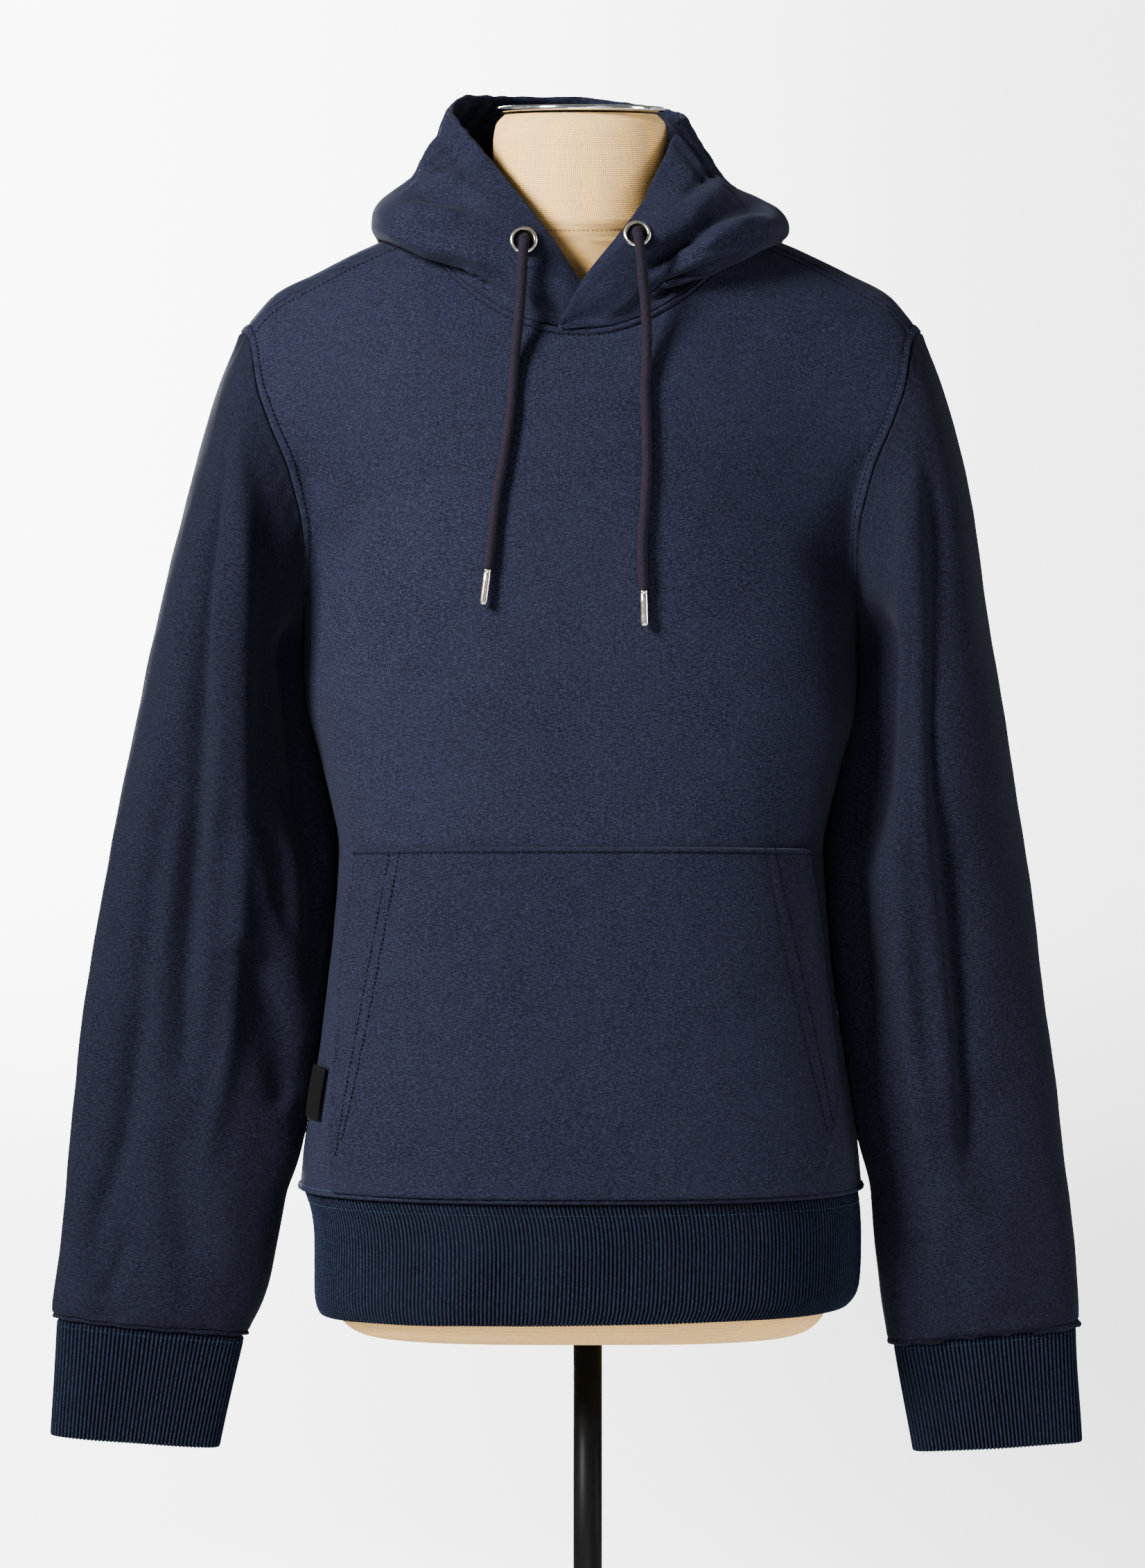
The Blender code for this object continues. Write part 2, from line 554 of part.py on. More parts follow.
def sleeve_point(side, along, around):
    """Point of a sleeve; along is 0 at the armhole and 1 at the cuff's seam."""
    rows = SLEEVES[side]
    if along >= SLEEVE_CAP:
        down = (along - SLEEVE_CAP) / (1 - SLEEVE_CAP)
        return tube_section(tube_rows(rows, down), around, SLEEVE_SQUARENESS)
    start = armhole_edge(around)[0]
    end = tube_section(rows[0], around, SLEEVE_SQUARENESS)
    below = tube_section(tube_rows(rows, 0.02), around, SLEEVE_SQUARENESS)
    reach = (end - start).length
    angle = math.radians(around)
    out, less, fore, down = CAP_LEAN
    leave = Vector((out - less * math.cos(angle), -fore * math.sin(angle), -down)).normalized() * reach
    arrive = (below - end).normalized() * reach
    t = along / SLEEVE_CAP
    return (start * (2 * t ** 3 - 3 * t ** 2 + 1) + leave * (t ** 3 - 2 * t ** 2 + t)
            + end * (3 * t ** 2 - 2 * t ** 3) + arrive * (t ** 3 - t ** 2))


def armhole_angles():
    """Angles around a sleeve, from the shoulder seam to the front, that meet the panels' points."""
    front = [2 * (90 - turn) for turn in reversed(chest_turns("front"))]
    back = [180 + 2 * turn for turn in chest_turns("back")]
    return front + back[1:-1]


def sleeve_grid(side):
    """Outer points of a sleeve and the wall's direction at each of them."""
    angles = armhole_angles()
    levels = [SLEEVE_CAP * i / CAP_ROWS for i in range(CAP_ROWS)]
    levels += [SLEEVE_CAP + (1 - SLEEVE_CAP) * i / SLEEVE_ROWS for i in range(SLEEVE_ROWS + 1)]
    mirror = -1 if side == "right" else 1
    points, normals = [], []
    for along in levels:
        row, row_normals = [], []
        for around in angles:
            here = sleeve_point(side, along, around)
            before = sleeve_point(side, max(along - 0.01, 0), around)
            after = sleeve_point(side, min(along + 0.01, 1), around)
            left = sleeve_point(side, along, around - 4)
            right = sleeve_point(side, along, around + 4)
            normal = (right - left).cross(after - before).normalized()
            if along == 0:
                normal = armhole_edge(around)[1]
                here = here + Vector((SEAM, 0, 0))
            else:
                fade = smooth(along / FOLD_START) * smooth((1 - along) / FOLD_END)
                here = here + normal * fade * fold_shift(SLEEVE_FOLDS[side], along, around)
            row.append(Vector((mirror * here.x, here.y, here.z)))
            row_normals.append(Vector((mirror * normal.x, normal.y, normal.z)))
        points.append(row)
        normals.append(row_normals)
    return points, normals


# ---- the hood ------------------------------------------------------------------------------------
def seam_at(t):
    """Point of the neck opening on the panels' edge; t is as in neckline, below 0 past the middle."""
    step = 1 / NECK_COLUMNS
    span = min(int(abs(t) / step), 2 * NECK_COLUMNS - 1)
    start, end = (upper_body(*neckline(min((span + k) * step, 2.0))) for k in (0, 1))
    point = start.lerp(end, abs(t) / step - span)
    point.x = math.copysign(point.x, t)
    return point


@lru_cache
def panels_outside():
    """The outer faces of both body panels, to look up distances from."""
    points, faces = [], []
    for side in ("front", "back"):
        grid = body_panel(side)[0]
        columns = len(grid[0])
        start = len(points)
        points += [point for row in grid for point in row]
        for i in range(len(grid) - 1):
            for j in range(columns - 1):
                corner = start + i * columns + j
                a, b, c, d = corner, corner + 1, corner + 1 + columns, corner + columns
                for face in ((a, b, c), (a, c, d), (a, b, d), (b, c, d)):
                    faces.append(face if side == "front" else face[::-1])
    return BVHTree.FromPolygons(points, faces)


def clear_of_panels(point, margin):
    """Move a point out until it is this far off the panels' outside."""
    near, normal, _, _ = panels_outside().find_nearest(point)
    lift = margin - (point - near).dot(normal)
    return point + normal * lift if lift > 0 else point


ProfilePoint = namedtuple("ProfilePoint", "run radius height")


def hood_profile(side, seam_r, seam_z, angle):
    """The hood's section at an angle about the neck, from its seam to its rim."""
    values = {name: lookup(HOOD[side], "angle", name, angle) * MM for name in HoodRow._fields[1:]}
    rise = min(HOOD_RISE, 0.22 * (values["rim_z"] - seam_z))
    places = [(seam_r, seam_z), (seam_r + 0.25 * rise, seam_z + rise)]
    low, lobe, top, rim = [Vector((values[name + "_r"], values[name + "_z"]))
                           for name in ("low", "lobe", "top", "rim")]
    under = lobe + (low - lobe) * min(LOBE_ROUND / (low - lobe).length, 0.4)
    above = lobe + (top - lobe) * min(LOBE_ROUND / (top - lobe).length, 0.4)
    places += [tuple(point) for point in (low, under, above, top, rim)]
    rows, run = [], 0.0
    for k, (radius, height) in enumerate(places):
        if k:
            run += math.dist(places[k - 1], places[k])
        rows.append(ProfilePoint(run, radius, height))
    return rows


def hood_point(t, s, side):
    """Point of a hood panel's outer face, with x positive on the panel's own side.

    t goes around the neck as in neckline, s is 0 at the neck seam and 1 at the rim.
    """
    seam = seam_at(t)
    seam_r = math.hypot(seam.x, seam.y - NECK_Y)
    angle = math.degrees(math.atan2(seam.x, NECK_Y - seam.y))
    rows = hood_profile(side, seam_r, seam.z, angle)
    place = s * (len(rows) - 1)
    i = min(int(place), len(rows) - 2)
    run = rows[i].run + (rows[i + 1].run - rows[i].run) * (place - i)
    start, end = OVERLAP_TURNS
    step = (1 if side == "left" else -1) * OVERLAP_STEP / 2 * (1 - smooth((angle - start) / (end - start)))
    radius = lookup(rows, "run", "radius", run) + step
    turn = math.radians(angle)
    height = lookup(rows, "run", "height", run)
    point = Vector((radius * math.sin(turn), NECK_Y - radius * math.cos(turn), height))
    margin = HOOD_EASE * smooth(s / 0.25) * smooth((angle - 20) / 25)
    return clear_of_panels(point, margin) if margin > 0 and s < 0.75 else point


def hood_grid(side):
    """Outer points of a hood panel and the wall's direction at each of them."""
    mirror = 1 if side == "left" else -1
    steps = 4 * NECK_COLUMNS
    places = [OVERLAP[side]] + [2 * k / steps for k in range(steps + 1)]
    points = [[hood_point(t, place / HOOD_PLACES[-1], side) for t in places] for place in HOOD_PLACES]
    points[0] = [point + Vector((0, 0, 1.3 * SEAM)) for point in points[0]]
    normals = grid_normals(points)
    for j, point in enumerate(points[0]):
        normals[0][j] = Vector((point.x, point.y - NECK_Y, 0)).normalized()
    for row, row_normals in zip(points, normals):
        row[-1].x = SEAM / 2
        row_normals[-1].x = 0
        row_normals[-1].normalize()
        for j, (point, normal) in enumerate(zip(row, row_normals)):
            row[j] = Vector((mirror * point.x, point.y, point.z))
            row_normals[j] = Vector((mirror * normal.x, normal.y, normal.z))
    return points, normals


def hood_face(x, height):
    """Point and outward direction of the hood's front at a place seen from the front."""
    side = "left" if x > 0 else "right"

    def off(t, s):
        point = hood_point(t, s, side)
        return math.hypot(point.x - abs(x), point.z - height)
    t, s = min((off(a / 40, b / 30), a / 40, b / 30) for a in range(41) for b in range(3, 31))[1:]
    here = hood_point(t, s, side)
    across = hood_point(t + 0.05, s, side) - hood_point(t - 0.05, s, side)
    up = hood_point(t, min(s + 0.05, 1), side) - hood_point(t, s - 0.05, side)
    normal = across.cross(up).normalized()
    sign = 1 if x > 0 else -1
    return Vector((sign * here.x, here.y, here.z)), Vector((sign * normal.x, normal.y, normal.z))


# ---- meshes --------------------------------------------------------------------------------------
def grid_normals(points):
    """Outward direction at each point of a grid, which goes up by rows and left to right."""
    def through(before, here, after):
        return (after - here).normalized() + (here - before).normalized()

    rows, columns = len(points), len(points[0])
    normals = []
    for i in range(rows):
        row = []
        for j in range(columns):
            here = points[i][j]
            across = through(points[i][max(j - 1, 0)], here, points[i][min(j + 1, columns - 1)])
            up = through(points[max(i - 1, 0)][j], here, points[min(i + 1, rows - 1)][j])
            row.append(across.cross(up).normalized())
        normals.append(row)
    return normals


def material(name):
    """Principled material of the named kind."""
    found = bpy.data.materials.get(name)
    if found:
        return found
    colour, roughness, metallic = MATERIALS[name]
    made = bpy.data.materials.new(name)
    made.use_nodes = True
    shader = made.node_tree.nodes["Principled BSDF"]
    shader.inputs["Base Color"].default_value = (*colour, 1)
    shader.inputs["Roughness"].default_value = roughness
    shader.inputs["Metallic"].default_value = metallic
    made.diffuse_color = (*colour, 1)
    return made


def add_object(name, bm, kind, parent):
    """Close a bmesh into a named object with its faces pointing out."""
    bmesh.ops.recalc_face_normals(bm, faces=bm.faces)
    if bm.calc_volume(signed=True) < 0:
        bmesh.ops.reverse_faces(bm, faces=bm.faces)
    mesh = bpy.data.meshes.new(name)
    bm.to_mesh(mesh)
    bm.free()
    mesh.shade_smooth()
    mesh.set_sharp_from_angle(angle=math.radians(50))
    mesh.materials.append(material(kind))
    made = bpy.data.objects.new(name, mesh)
    bpy.context.scene.collection.objects.link(made)
    made.parent = parent
    return made


def wall(name, points, normals, thickness, closed, kind, parent):
    """A cloth wall between a grid of outer points and the same grid moved in."""
    bm = bmesh.new()
    outer = [[bm.verts.new(point) for point in row] for row in points]
    inner = [[bm.verts.new(point - normal * thickness) for point, normal in zip(row, row_normals)]
             for row, row_normals in zip(points, normals)]
    columns = len(points[0])
    spans = columns if closed else columns - 1
    for grid in (outer, inner):
        for low, high in zip(grid, grid[1:]):
            for j in range(spans):
                k = (j + 1) % columns
                bm.faces.new((low[j], low[k], high[k], high[j]))
    for i in (0, -1):
        for j in range(spans):
            k = (j + 1) % columns
            bm.faces.new((outer[i][j], outer[i][k], inner[i][k], inner[i][j]))
    if not closed:
        for j in (0, -1):
            for i in range(len(points) - 1):
                bm.faces.new((outer[i][j], outer[i + 1][j], inner[i + 1][j], inner[i][j]))
    return add_object(name, bm, kind, parent)


def ribbed_wall(name, loops, per_inner, kind, parent):
    """A ribbed tube between loops of points, two points to a rib; the inside is plain."""
    bm = bmesh.new()
    outer, inner = [], []
    fine = len(loops[0])
    coarse = fine // per_inner
    for loop in loops:
        middle = sum(loop, Vector()) / fine
        directions = []
        for j, point in enumerate(loop):
            along = loop[(j + 2) % fine] - loop[j - 2]
            out = (point - middle) - along * (point - middle).dot(along) / along.length_squared
            directions.append(out.normalized())
        outer.append([bm.verts.new(point + out * (RIB_RISE if j % 2 else -RIB_RISE))
                      for j, (point, out) in enumerate(zip(loop, directions))])
        inner.append([bm.verts.new(loop[j] - directions[j] * RIB_WALL)
                      for j in range(0, fine, per_inner)])
    for grid, count in ((outer, fine), (inner, coarse)):
        for low, high in zip(grid, grid[1:]):
            for j in range(count):
                k = (j + 1) % count
                bm.faces.new((low[j], low[k], high[k], high[j]))
    half = per_inner // 2
    for i in (0, -1):
        for j in range(coarse):
            k = (j + 1) % coarse
            fan = [outer[i][(j * per_inner + m) % fine] for m in range(per_inner + 1)]
            for m in range(per_inner):
                bm.faces.new((fan[m], fan[m + 1], inner[i][j] if m < half else inner[i][k]))
            bm.faces.new((fan[half], inner[i][k], inner[i][j]))
    return add_object(name, bm, kind, parent)


def turned(name, profile, sides, kind, parent=None, axis_at=(0, 0, 0)):
    """A solid turned about a vertical axis.

    Its profile of (radius, height) starts and ends on the axis, or is a closed loop beside it.
    """
    bm = bmesh.new()
    rings = []
    for radius, height in profile:
        if radius == 0:
            rings.append([bm.verts.new((0, 0, height))])
        else:
            rings.append([bm.verts.new((radius * math.cos(2 * math.pi * j / sides),
                                        radius * math.sin(2 * math.pi * j / sides), height))
                          for j in range(sides)])
    loop = rings + ([rings[0]] if len(rings[0]) > 1 and len(rings[-1]) > 1 else [])
    for low, high in zip(loop, loop[1:]):
        for j in range(sides):
            k = (j + 1) % sides
            if len(low) == 1:
                bm.faces.new((low[0], high[j], high[k]))
            elif len(high) == 1:
                bm.faces.new((low[j], low[k], high[0]))
            else:
                bm.faces.new((low[j], low[k], high[k], high[j]))
    made = add_object(name, bm, kind, parent)
    made.location = axis_at
    return made


# ---- the sub-parts -------------------------------------------------------------------------------
def build_body(parent):
    """Front and back panels."""
    for side in ("front", "back"):
        points, normals = body_panel(side)
        wall(f"{side}_panel", points, normals, CLOTH, False, "jersey", parent)


def even_loop(point_at, count):
    """Points at even distances around a closed curve, which point_at gives for 0 to 1."""
    steps = 720
    dense = [point_at(k / steps) for k in range(steps)]
    run = [0.0]
    for k in range(steps):
        run.append(run[-1] + (dense[(k + 1) % steps] - dense[k]).length)
    loop = []
    for j in range(count):
        want = run[-1] * j / count
        k = min(bisect_right(run, want) - 1, steps - 1)
        part = (want - run[k]) / (run[k + 1] - run[k])
        loop.append(dense[k].lerp(dense[(k + 1) % steps], part))
    return loop


def build_waistband(parent):
    """The ribbed band around the hips."""
    power = 2 / BODY_SQUARENESS
    ribs = 4 * round(WAISTBAND_GIRTH / RIB_PITCH / 4)
    loops = []
    for row in WAISTBAND:
        def at(t):
            c, s = math.cos(2 * math.pi * t), math.sin(2 * math.pi * t)
            depth = row.front if s <= 0 else row.back
            return Vector((row.half_width * math.copysign(abs(c) ** power, c) + row.shift,
                           depth * math.copysign(abs(s) ** power, s), row.height)) * MM
        loops.append(even_loop(at, 2 * ribs))
    ribbed_wall("waistband", loops, 8, "ribbing", parent)


def build_sleeves(parent):
    """Both sleeves with their cuffs."""
    ribs = 4 * round(CUFF_GIRTH / RIB_PITCH / 4)
    for side in ("left", "right"):
        points, normals = sleeve_grid(side)
        wall(f"sleeve_{side}", points, normals, CLOTH, True, "jersey", parent)
        mirror = -1 if side == "right" else 1
        loops = []
        for row in CUFFS[side]:
            def at(t):
                here = tube_section(row, 360 * t, CUFF_SQUARENESS)
                return Vector((mirror * here.x, here.y, here.z))
            loops.append(even_loop(at, 2 * ribs))
        ribbed_wall(f"cuff_{side}", loops, 4, "ribbing", parent)


def build_hood(parent):
    """The two hood panels, joined at the centre back and crossed at the front."""
    for side in ("left", "right"):
        points, normals = hood_grid(side)
        wall(f"hood_{side}", points, normals, HOOD_WALL, False, "jersey", parent)


def lifted_patch(name, rows, across, thickness, kind, parent):
    """A patch that lies on the front panel: rows hold (height, right x, left x) in metres."""
    def on_front(x, height):
        return panels_outside().ray_cast(Vector((x, -1, height)), Vector((0, 1, 0)))[0]
    points, normals = [], []
    for row in rows:
        line, line_normals = [], []
        for j in range(across + 1):
            height, x = row(j / across)
            step = 1.0 * MM
            here = on_front(x, height)
            normal = (on_front(x + step, height) - on_front(x - step, height)).cross(
                on_front(x, height + step) - on_front(x, height - step)).normalized()
            line.append(here + normal * (thickness + PATCH_EASE))
            line_normals.append(normal)
        points.append(line)
        normals.append(line_normals)
    wall(name, points, normals, thickness, False, kind, parent)


def build_pocket(parent):
    """The kangaroo pocket on the front panel."""
    def edge_row(i):
        low, high = POCKET[0].height, POCKET[-1].height
        height = low + (high - low) * i / POCKET_ROWS
        right = -lookup(POCKET, "height", "right", height) * MM
        left = lookup(POCKET, "height", "left", height) * MM
        lift = POCKET_TOP_RISE * smooth((i / POCKET_ROWS - 0.5) * 2)
        half_width = lookup(BODY, "height", "half_width", height) * MM
        ends = [math.asin((x / half_width) ** (BODY_SQUARENESS / 2)) for x in (-right, left)]

        def at(t):
            bow = 1 - (2 * t - 1) ** 2
            turn = -ends[0] + (ends[0] + ends[1]) * t
            x = half_width * math.copysign(math.sin(abs(turn)) ** (2 / BODY_SQUARENESS), turn)
            return height * MM + lift * bow, x
        return at
    rows = [edge_row(i) for i in range(POCKET_ROWS + 1)]
    lifted_patch("pocket", rows, POCKET_COLUMNS, CLOTH, "jersey", parent)


def build_label(parent):
    """The woven label, sewn into the wearer's right side seam."""
    across, up = 3, 2
    points, normals = [], []
    for i in range(up + 1):
        height = LABEL_BOTTOM_Z + (LABEL_TOP_Z - LABEL_BOTTOM_Z) * i / up
        line, line_normals = [], []
        for j in range(across + 1):
            turn = LABEL_TURNS[0] + (LABEL_TURNS[1] - LABEL_TURNS[0]) * j / across
            here = trunk(-turn, height, "front")
            ahead = trunk(-(turn - 1), height, "front") - trunk(-(turn + 1), height, "front")
            above = trunk(-turn, height + MM, "front") - trunk(-turn, height - MM, "front")
            normal = ahead.cross(above).normalized()
            line.append(here + normal * (LABEL_WALL + 4 * SEAM))
            line_normals.append(normal)
        points.append(line)
        normals.append(line_normals)
    wall("side_label", points, normals, LABEL_WALL, False, "label", parent)


def build_trims(parent):
    """Eyelets, the drawstring's two free ends and their metal tips."""
    for side in ("left", "right"):
        x, height = EYELETS[side][0] * MM, EYELETS[side][1] * MM
        seat, outward = hood_face(x, height)
        ring = turned(f"eyelet_{side}", (
            (EYELET_HOLE, 0.0), (EYELET_RADIUS, 0.0), (EYELET_RADIUS, 0.5 * MM),
            (EYELET_RADIUS - 1.4 * MM, EYELET_THICK), (EYELET_HOLE + 1.2 * MM, EYELET_THICK),
            (EYELET_HOLE, 0.7 * MM)), 16, "nickel", parent, seat + outward * EYELET_EASE)
        ring.rotation_euler = outward.to_track_quat("Z", "Y").to_euler()
        route = [Vector(point) * MM for point in CORD_ROUTES[side]]
        curve = bpy.data.curves.new(f"cord_{side}", "CURVE")
        curve.dimensions = "3D"
        curve.bevel_depth = CORD_RADIUS
        curve.bevel_resolution = 2
        curve.use_fill_caps = True
        path = curve.splines.new("POLY")
        path.points.add(len(route) - 1)
        for spot, place in zip(path.points, route):
            spot.co = (*place, 1)
        curve.materials.append(material("cord"))
        cord = bpy.data.objects.new(f"cord_{side}", curve)
        bpy.context.scene.collection.objects.link(cord)
        cord.parent = parent
        down = (route[-1] - route[-2]).normalized()
        tip = turned(f"cord_tip_{side}", (
            (0, 0), (TIP_RADIUS - 0.3 * MM, 0), (TIP_RADIUS, 0.4 * MM), (TIP_RADIUS, TIP_LENGTH - 2 * MM),
            (TIP_RADIUS - 0.8 * MM, TIP_LENGTH - 0.5 * MM), (0, TIP_LENGTH)), 12, "nickel", parent,
            route[-1] + down * SEAM)
        tip.rotation_euler = down.to_track_quat("Z", "Y").to_euler()


# ---- the dress form and its stand ----------------------------------------------------------------
def form_radius(height, bearing):
    """Radius of the form's section in a direction; a bearing of 0 is the front, 90 the side."""
    turn = math.radians(bearing)
    across, ahead = math.sin(turn), -math.cos(turn)
    neck = lookup(NECK, "height", "radius", height / MM) * MM if height > NECK[0].height * MM else 0.0
    low, high = 0.0, 0.3
    for _ in range(24):
        r = (low + high) / 2
        x, y = r * across, FORM_AXIS_Y + r * ahead
        side = "front" if y < 0 else "back"
        if height <= UNDERARM_Z:
            level = max(height, WAIST_SEAM_Z)
            half_width = lookup(BODY, "height", "half_width", level / MM) * MM - FORM_SIDE_EASE
            half_width = min(half_width, FORM_HIP_HALF)
            depth = lookup(BODY, "height", side, level / MM) * MM - FORM_EASE - CLOTH
            depth = min(depth, FORM_HIP_DEPTH)
            inside = (abs(x) / half_width) ** BODY_SQUARENESS + (abs(y) / depth) ** BODY_SQUARENESS < 1
        else:
            lifted = height + SHOULDER_EASE + NECK_EASE * (1 - smooth((abs(x) / MM - 96) / 28))
            plate = 1 - min(abs(x) / ARM_PLATE_X, 1.0) ** ARM_PLATE_POWER
            ease = FORM_EASE + 2 * MM if lifted < ridge(x) - 30 * MM else FORM_EASE * 0.4
            inside = abs(y) < max(body_depth(x, lifted, side) - ease, 0.0) * plate ** 0.5
        low, high = (r, high) if inside else (low, r)
    shape = low
    if neck == 0.0:
        return shape
    return (shape ** NECK_BLEND + neck ** NECK_BLEND) ** (1 / NECK_BLEND)


def build_form(parent):
    """The linen torso with its neck."""
    bm = bmesh.new()
    rings = []
    for level in FORM_LEVELS:
        height = level * MM
        tuck = 0.0
        if height < FORM_EDGE_Z:
            below = (FORM_EDGE_Z - height) / (FORM_EDGE_Z - FORM_BOTTOM_Z)
            tuck = FORM_EDGE_TUCK * (1 - math.sqrt(1 - below ** 2))
        ring = []
        for j in range(FORM_SIDES):
            bearing = 360 * j / FORM_SIDES
            r = form_radius(height, bearing) - tuck
            turn = math.radians(bearing)
            ring.append(bm.verts.new((r * math.sin(turn), FORM_AXIS_Y - r * math.cos(turn), height)))
        rings.append(ring)
    for low, high in zip(rings, rings[1:]):
        for j in range(FORM_SIDES):
            k = (j + 1) % FORM_SIDES
            bm.faces.new((low[j], low[k], high[k], high[j]))
    bm.faces.new(rings[0])
    bm.faces.new(rings[-1])
    add_object("form_torso", bm, "linen", parent)


def build_stand(parent):
    """Neck disc, pole and base."""
    seat = NECK_TOP_Z + SEAM
    low, high = seat + DISC_LIFT, seat + DISC_LIFT + DISC_THICK
    turned("neck_disc", (
        (0, seat), (DISC_FOOT, seat), (DISC_FOOT, low), (DISC_RADIUS - 0.8 * MM, low),
        (DISC_RADIUS, low + 0.7 * MM), (DISC_RADIUS, high - 0.6 * MM), (DISC_RADIUS - 0.8 * MM, high),
        (0, high)), 32, "nickel", parent, (0, FORM_AXIS_Y, 0))
    turned("pole", (
        (0, BASE_THICK + SEAM), (POLE_RADIUS, BASE_THICK + SEAM), (POLE_RADIUS, FORM_BOTTOM_Z - SEAM),
        (0, FORM_BOTTOM_Z - SEAM)), 24, "enamel")
    turned("base", (
        (0, 0), (BASE_RADIUS, 0), (BASE_RADIUS, BASE_THICK - 2 * MM), (BASE_RADIUS - 2 * MM, BASE_THICK),
        (BOSS_RADIUS + 6 * MM, BASE_THICK), (BOSS_RADIUS, BASE_THICK + 6 * MM),
        (BOSS_RADIUS - 3 * MM, BOSS_TOP_Z - 3 * MM), (BOSS_RADIUS - 6 * MM, BOSS_TOP_Z),
        (POLE_RADIUS + SEAM, BOSS_TOP_Z), (POLE_RADIUS + SEAM, BASE_THICK), (0, BASE_THICK)), 32, "enamel")


def main():
    """Clear the scene and build every piece."""
    for old in list(bpy.data.objects):
        bpy.data.objects.remove(old, do_unlink=True)
    torso = bpy.data.objects.new("torso_axis", None)
    bpy.context.scene.collection.objects.link(torso)
    torso.location = (GARMENT_X, 0, 0)
    build_body(torso)
    build_waistband(torso)
    build_sleeves(torso)
    build_hood(torso)
    build_pocket(torso)
    build_label(torso)
    build_trims(torso)
    build_form(torso)
    build_stand(torso)


main()
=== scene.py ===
"""Pullover hoodie on a limbless dress form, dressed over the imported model.

Metres, +Z up. The garment faces -Y and the wearer's left arm is at +X. Tables are in millimetres
and degrees, in the torso's own frame, which hangs GARMENT_X beside the pole's axis.
"""
import logging
import math
from dataclasses import dataclass, field
from enum import Enum
from typing import Callable, Iterable, Sequence

import bpy
import numpy as np
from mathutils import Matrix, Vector
from mathutils.kdtree import KDTree


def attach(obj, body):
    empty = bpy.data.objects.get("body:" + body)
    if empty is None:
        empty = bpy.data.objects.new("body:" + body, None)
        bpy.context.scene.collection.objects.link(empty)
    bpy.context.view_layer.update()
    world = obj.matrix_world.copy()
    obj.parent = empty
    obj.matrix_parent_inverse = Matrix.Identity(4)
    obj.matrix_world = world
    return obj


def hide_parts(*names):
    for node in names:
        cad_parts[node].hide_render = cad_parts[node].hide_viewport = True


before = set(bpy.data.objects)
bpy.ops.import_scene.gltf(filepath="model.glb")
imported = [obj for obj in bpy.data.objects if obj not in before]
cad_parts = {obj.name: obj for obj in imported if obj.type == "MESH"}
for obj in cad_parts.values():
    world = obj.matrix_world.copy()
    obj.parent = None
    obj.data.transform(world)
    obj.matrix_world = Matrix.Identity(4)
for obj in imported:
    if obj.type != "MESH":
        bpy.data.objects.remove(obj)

LOG = logging.getLogger("hoodie")
MM = 0.001
GARMENT_X = -4.5 * MM
EYE = np.array([-5.5, -5200.0, 1281.0]) * MM     # the camera's place in the torso's frame
RIB_PITCH = 2.6 * MM
Array = np.ndarray
Colour = tuple[float, float, float]
NodeSocket = bpy.types.NodeSocket


class Side(Enum):
    """The wearer's side of a paired piece."""

    RIGHT = "right"
    LEFT = "left"

    @property
    def sign(self) -> float:
        """Direction of the side along X."""
        return -1.0 if self is Side.RIGHT else 1.0

    @property
    def mirror(self) -> Array:
        """Factors that carry points from the wearer's left to this side."""
        return np.array([self.sign, 1, 1])


class Face(Enum):
    """The face of the garment that a panel or a fold lies on."""

    FRONT = "front"
    BACK = "back"


# ---- curves and grids ----------------------------------------------------------------------------
def hermite(start: Array, leave: Array, end: Array, arrive: Array, t: Array) -> Array:
    """Go from a start to an end that are left and reached at given slopes."""
    return (start * (2 * t ** 3 - 3 * t ** 2 + 1) + leave * (t ** 3 - 2 * t ** 2 + t)
            + end * (3 * t ** 2 - 2 * t ** 3) + arrive * (t ** 3 - t ** 2))


def table(rows: Sequence[Sequence[float]], at: Array, column: int = 1) -> Array:
    """Read a table's column on a smooth curve through its rows.

    Args:
        rows: rows whose first entry is the place.
        at: places to read at.
        column: the column to read.

    Returns:
        The values at those places.
    """
    x = np.array([row[0] for row in rows], float)
    v = np.array([row[column] for row in rows], float)
    d = np.diff(v) / np.diff(x)
    slope = np.empty_like(v)
    slope[0], slope[-1] = d[0], d[-1]
    product, total = d[:-1] * d[1:], d[:-1] + d[1:]
    slope[1:-1] = np.where(product > 0, 2 * product / np.where(total == 0, 1, total), 0)
    at = np.clip(at, x[0], x[-1])
    i = np.clip(np.searchsorted(x, at, side="right") - 1, 0, len(x) - 2)
    span = x[i + 1] - x[i]
    return hermite(v[i], slope[i] * span, v[i + 1], slope[i + 1] * span, (at - x[i]) / span)


def smooth(t: Array) -> Array:
    """Ease from 0 to 1 with flat ends."""
    t = np.clip(t, 0.0, 1.0)
    return t * t * (3 - 2 * t)


def bell(distance: Array, width: float) -> Array:
    """Fall softly from 1 in the middle to 0 a few widths away."""
    return np.exp(-(distance / width) ** 2)


def signed_power(value: Array, power: float) -> Array:
    """Raise the size of a value to a power and keep its sign."""
    return np.sign(value) * np.abs(value) ** power


def spline(points: Array, t: Array) -> Array:
    """Follow a smooth curve through a few rows of values.

    Args:
        points: rows of values, at even places from 0 to 1.
        t: places to read at.

    Returns:
        One row of values for each place.
    """
    points = np.asarray(points, float)
    place = np.clip(t, 0.0, 1.0) * (len(points) - 1)
    i = np.minimum(place.astype(int), len(points) - 2)
    f = (place - i)[..., None]
    padded = np.vstack([2 * points[0] - points[1], points, 2 * points[-1] - points[-2]])
    before, a, b, after = (padded[i + k] for k in range(4))
    return 0.5 * (2 * a + (b - before) * f + (2 * before - 5 * a + 4 * b - after) * f ** 2
                  + (3 * a - before - 3 * b + after) * f ** 3)


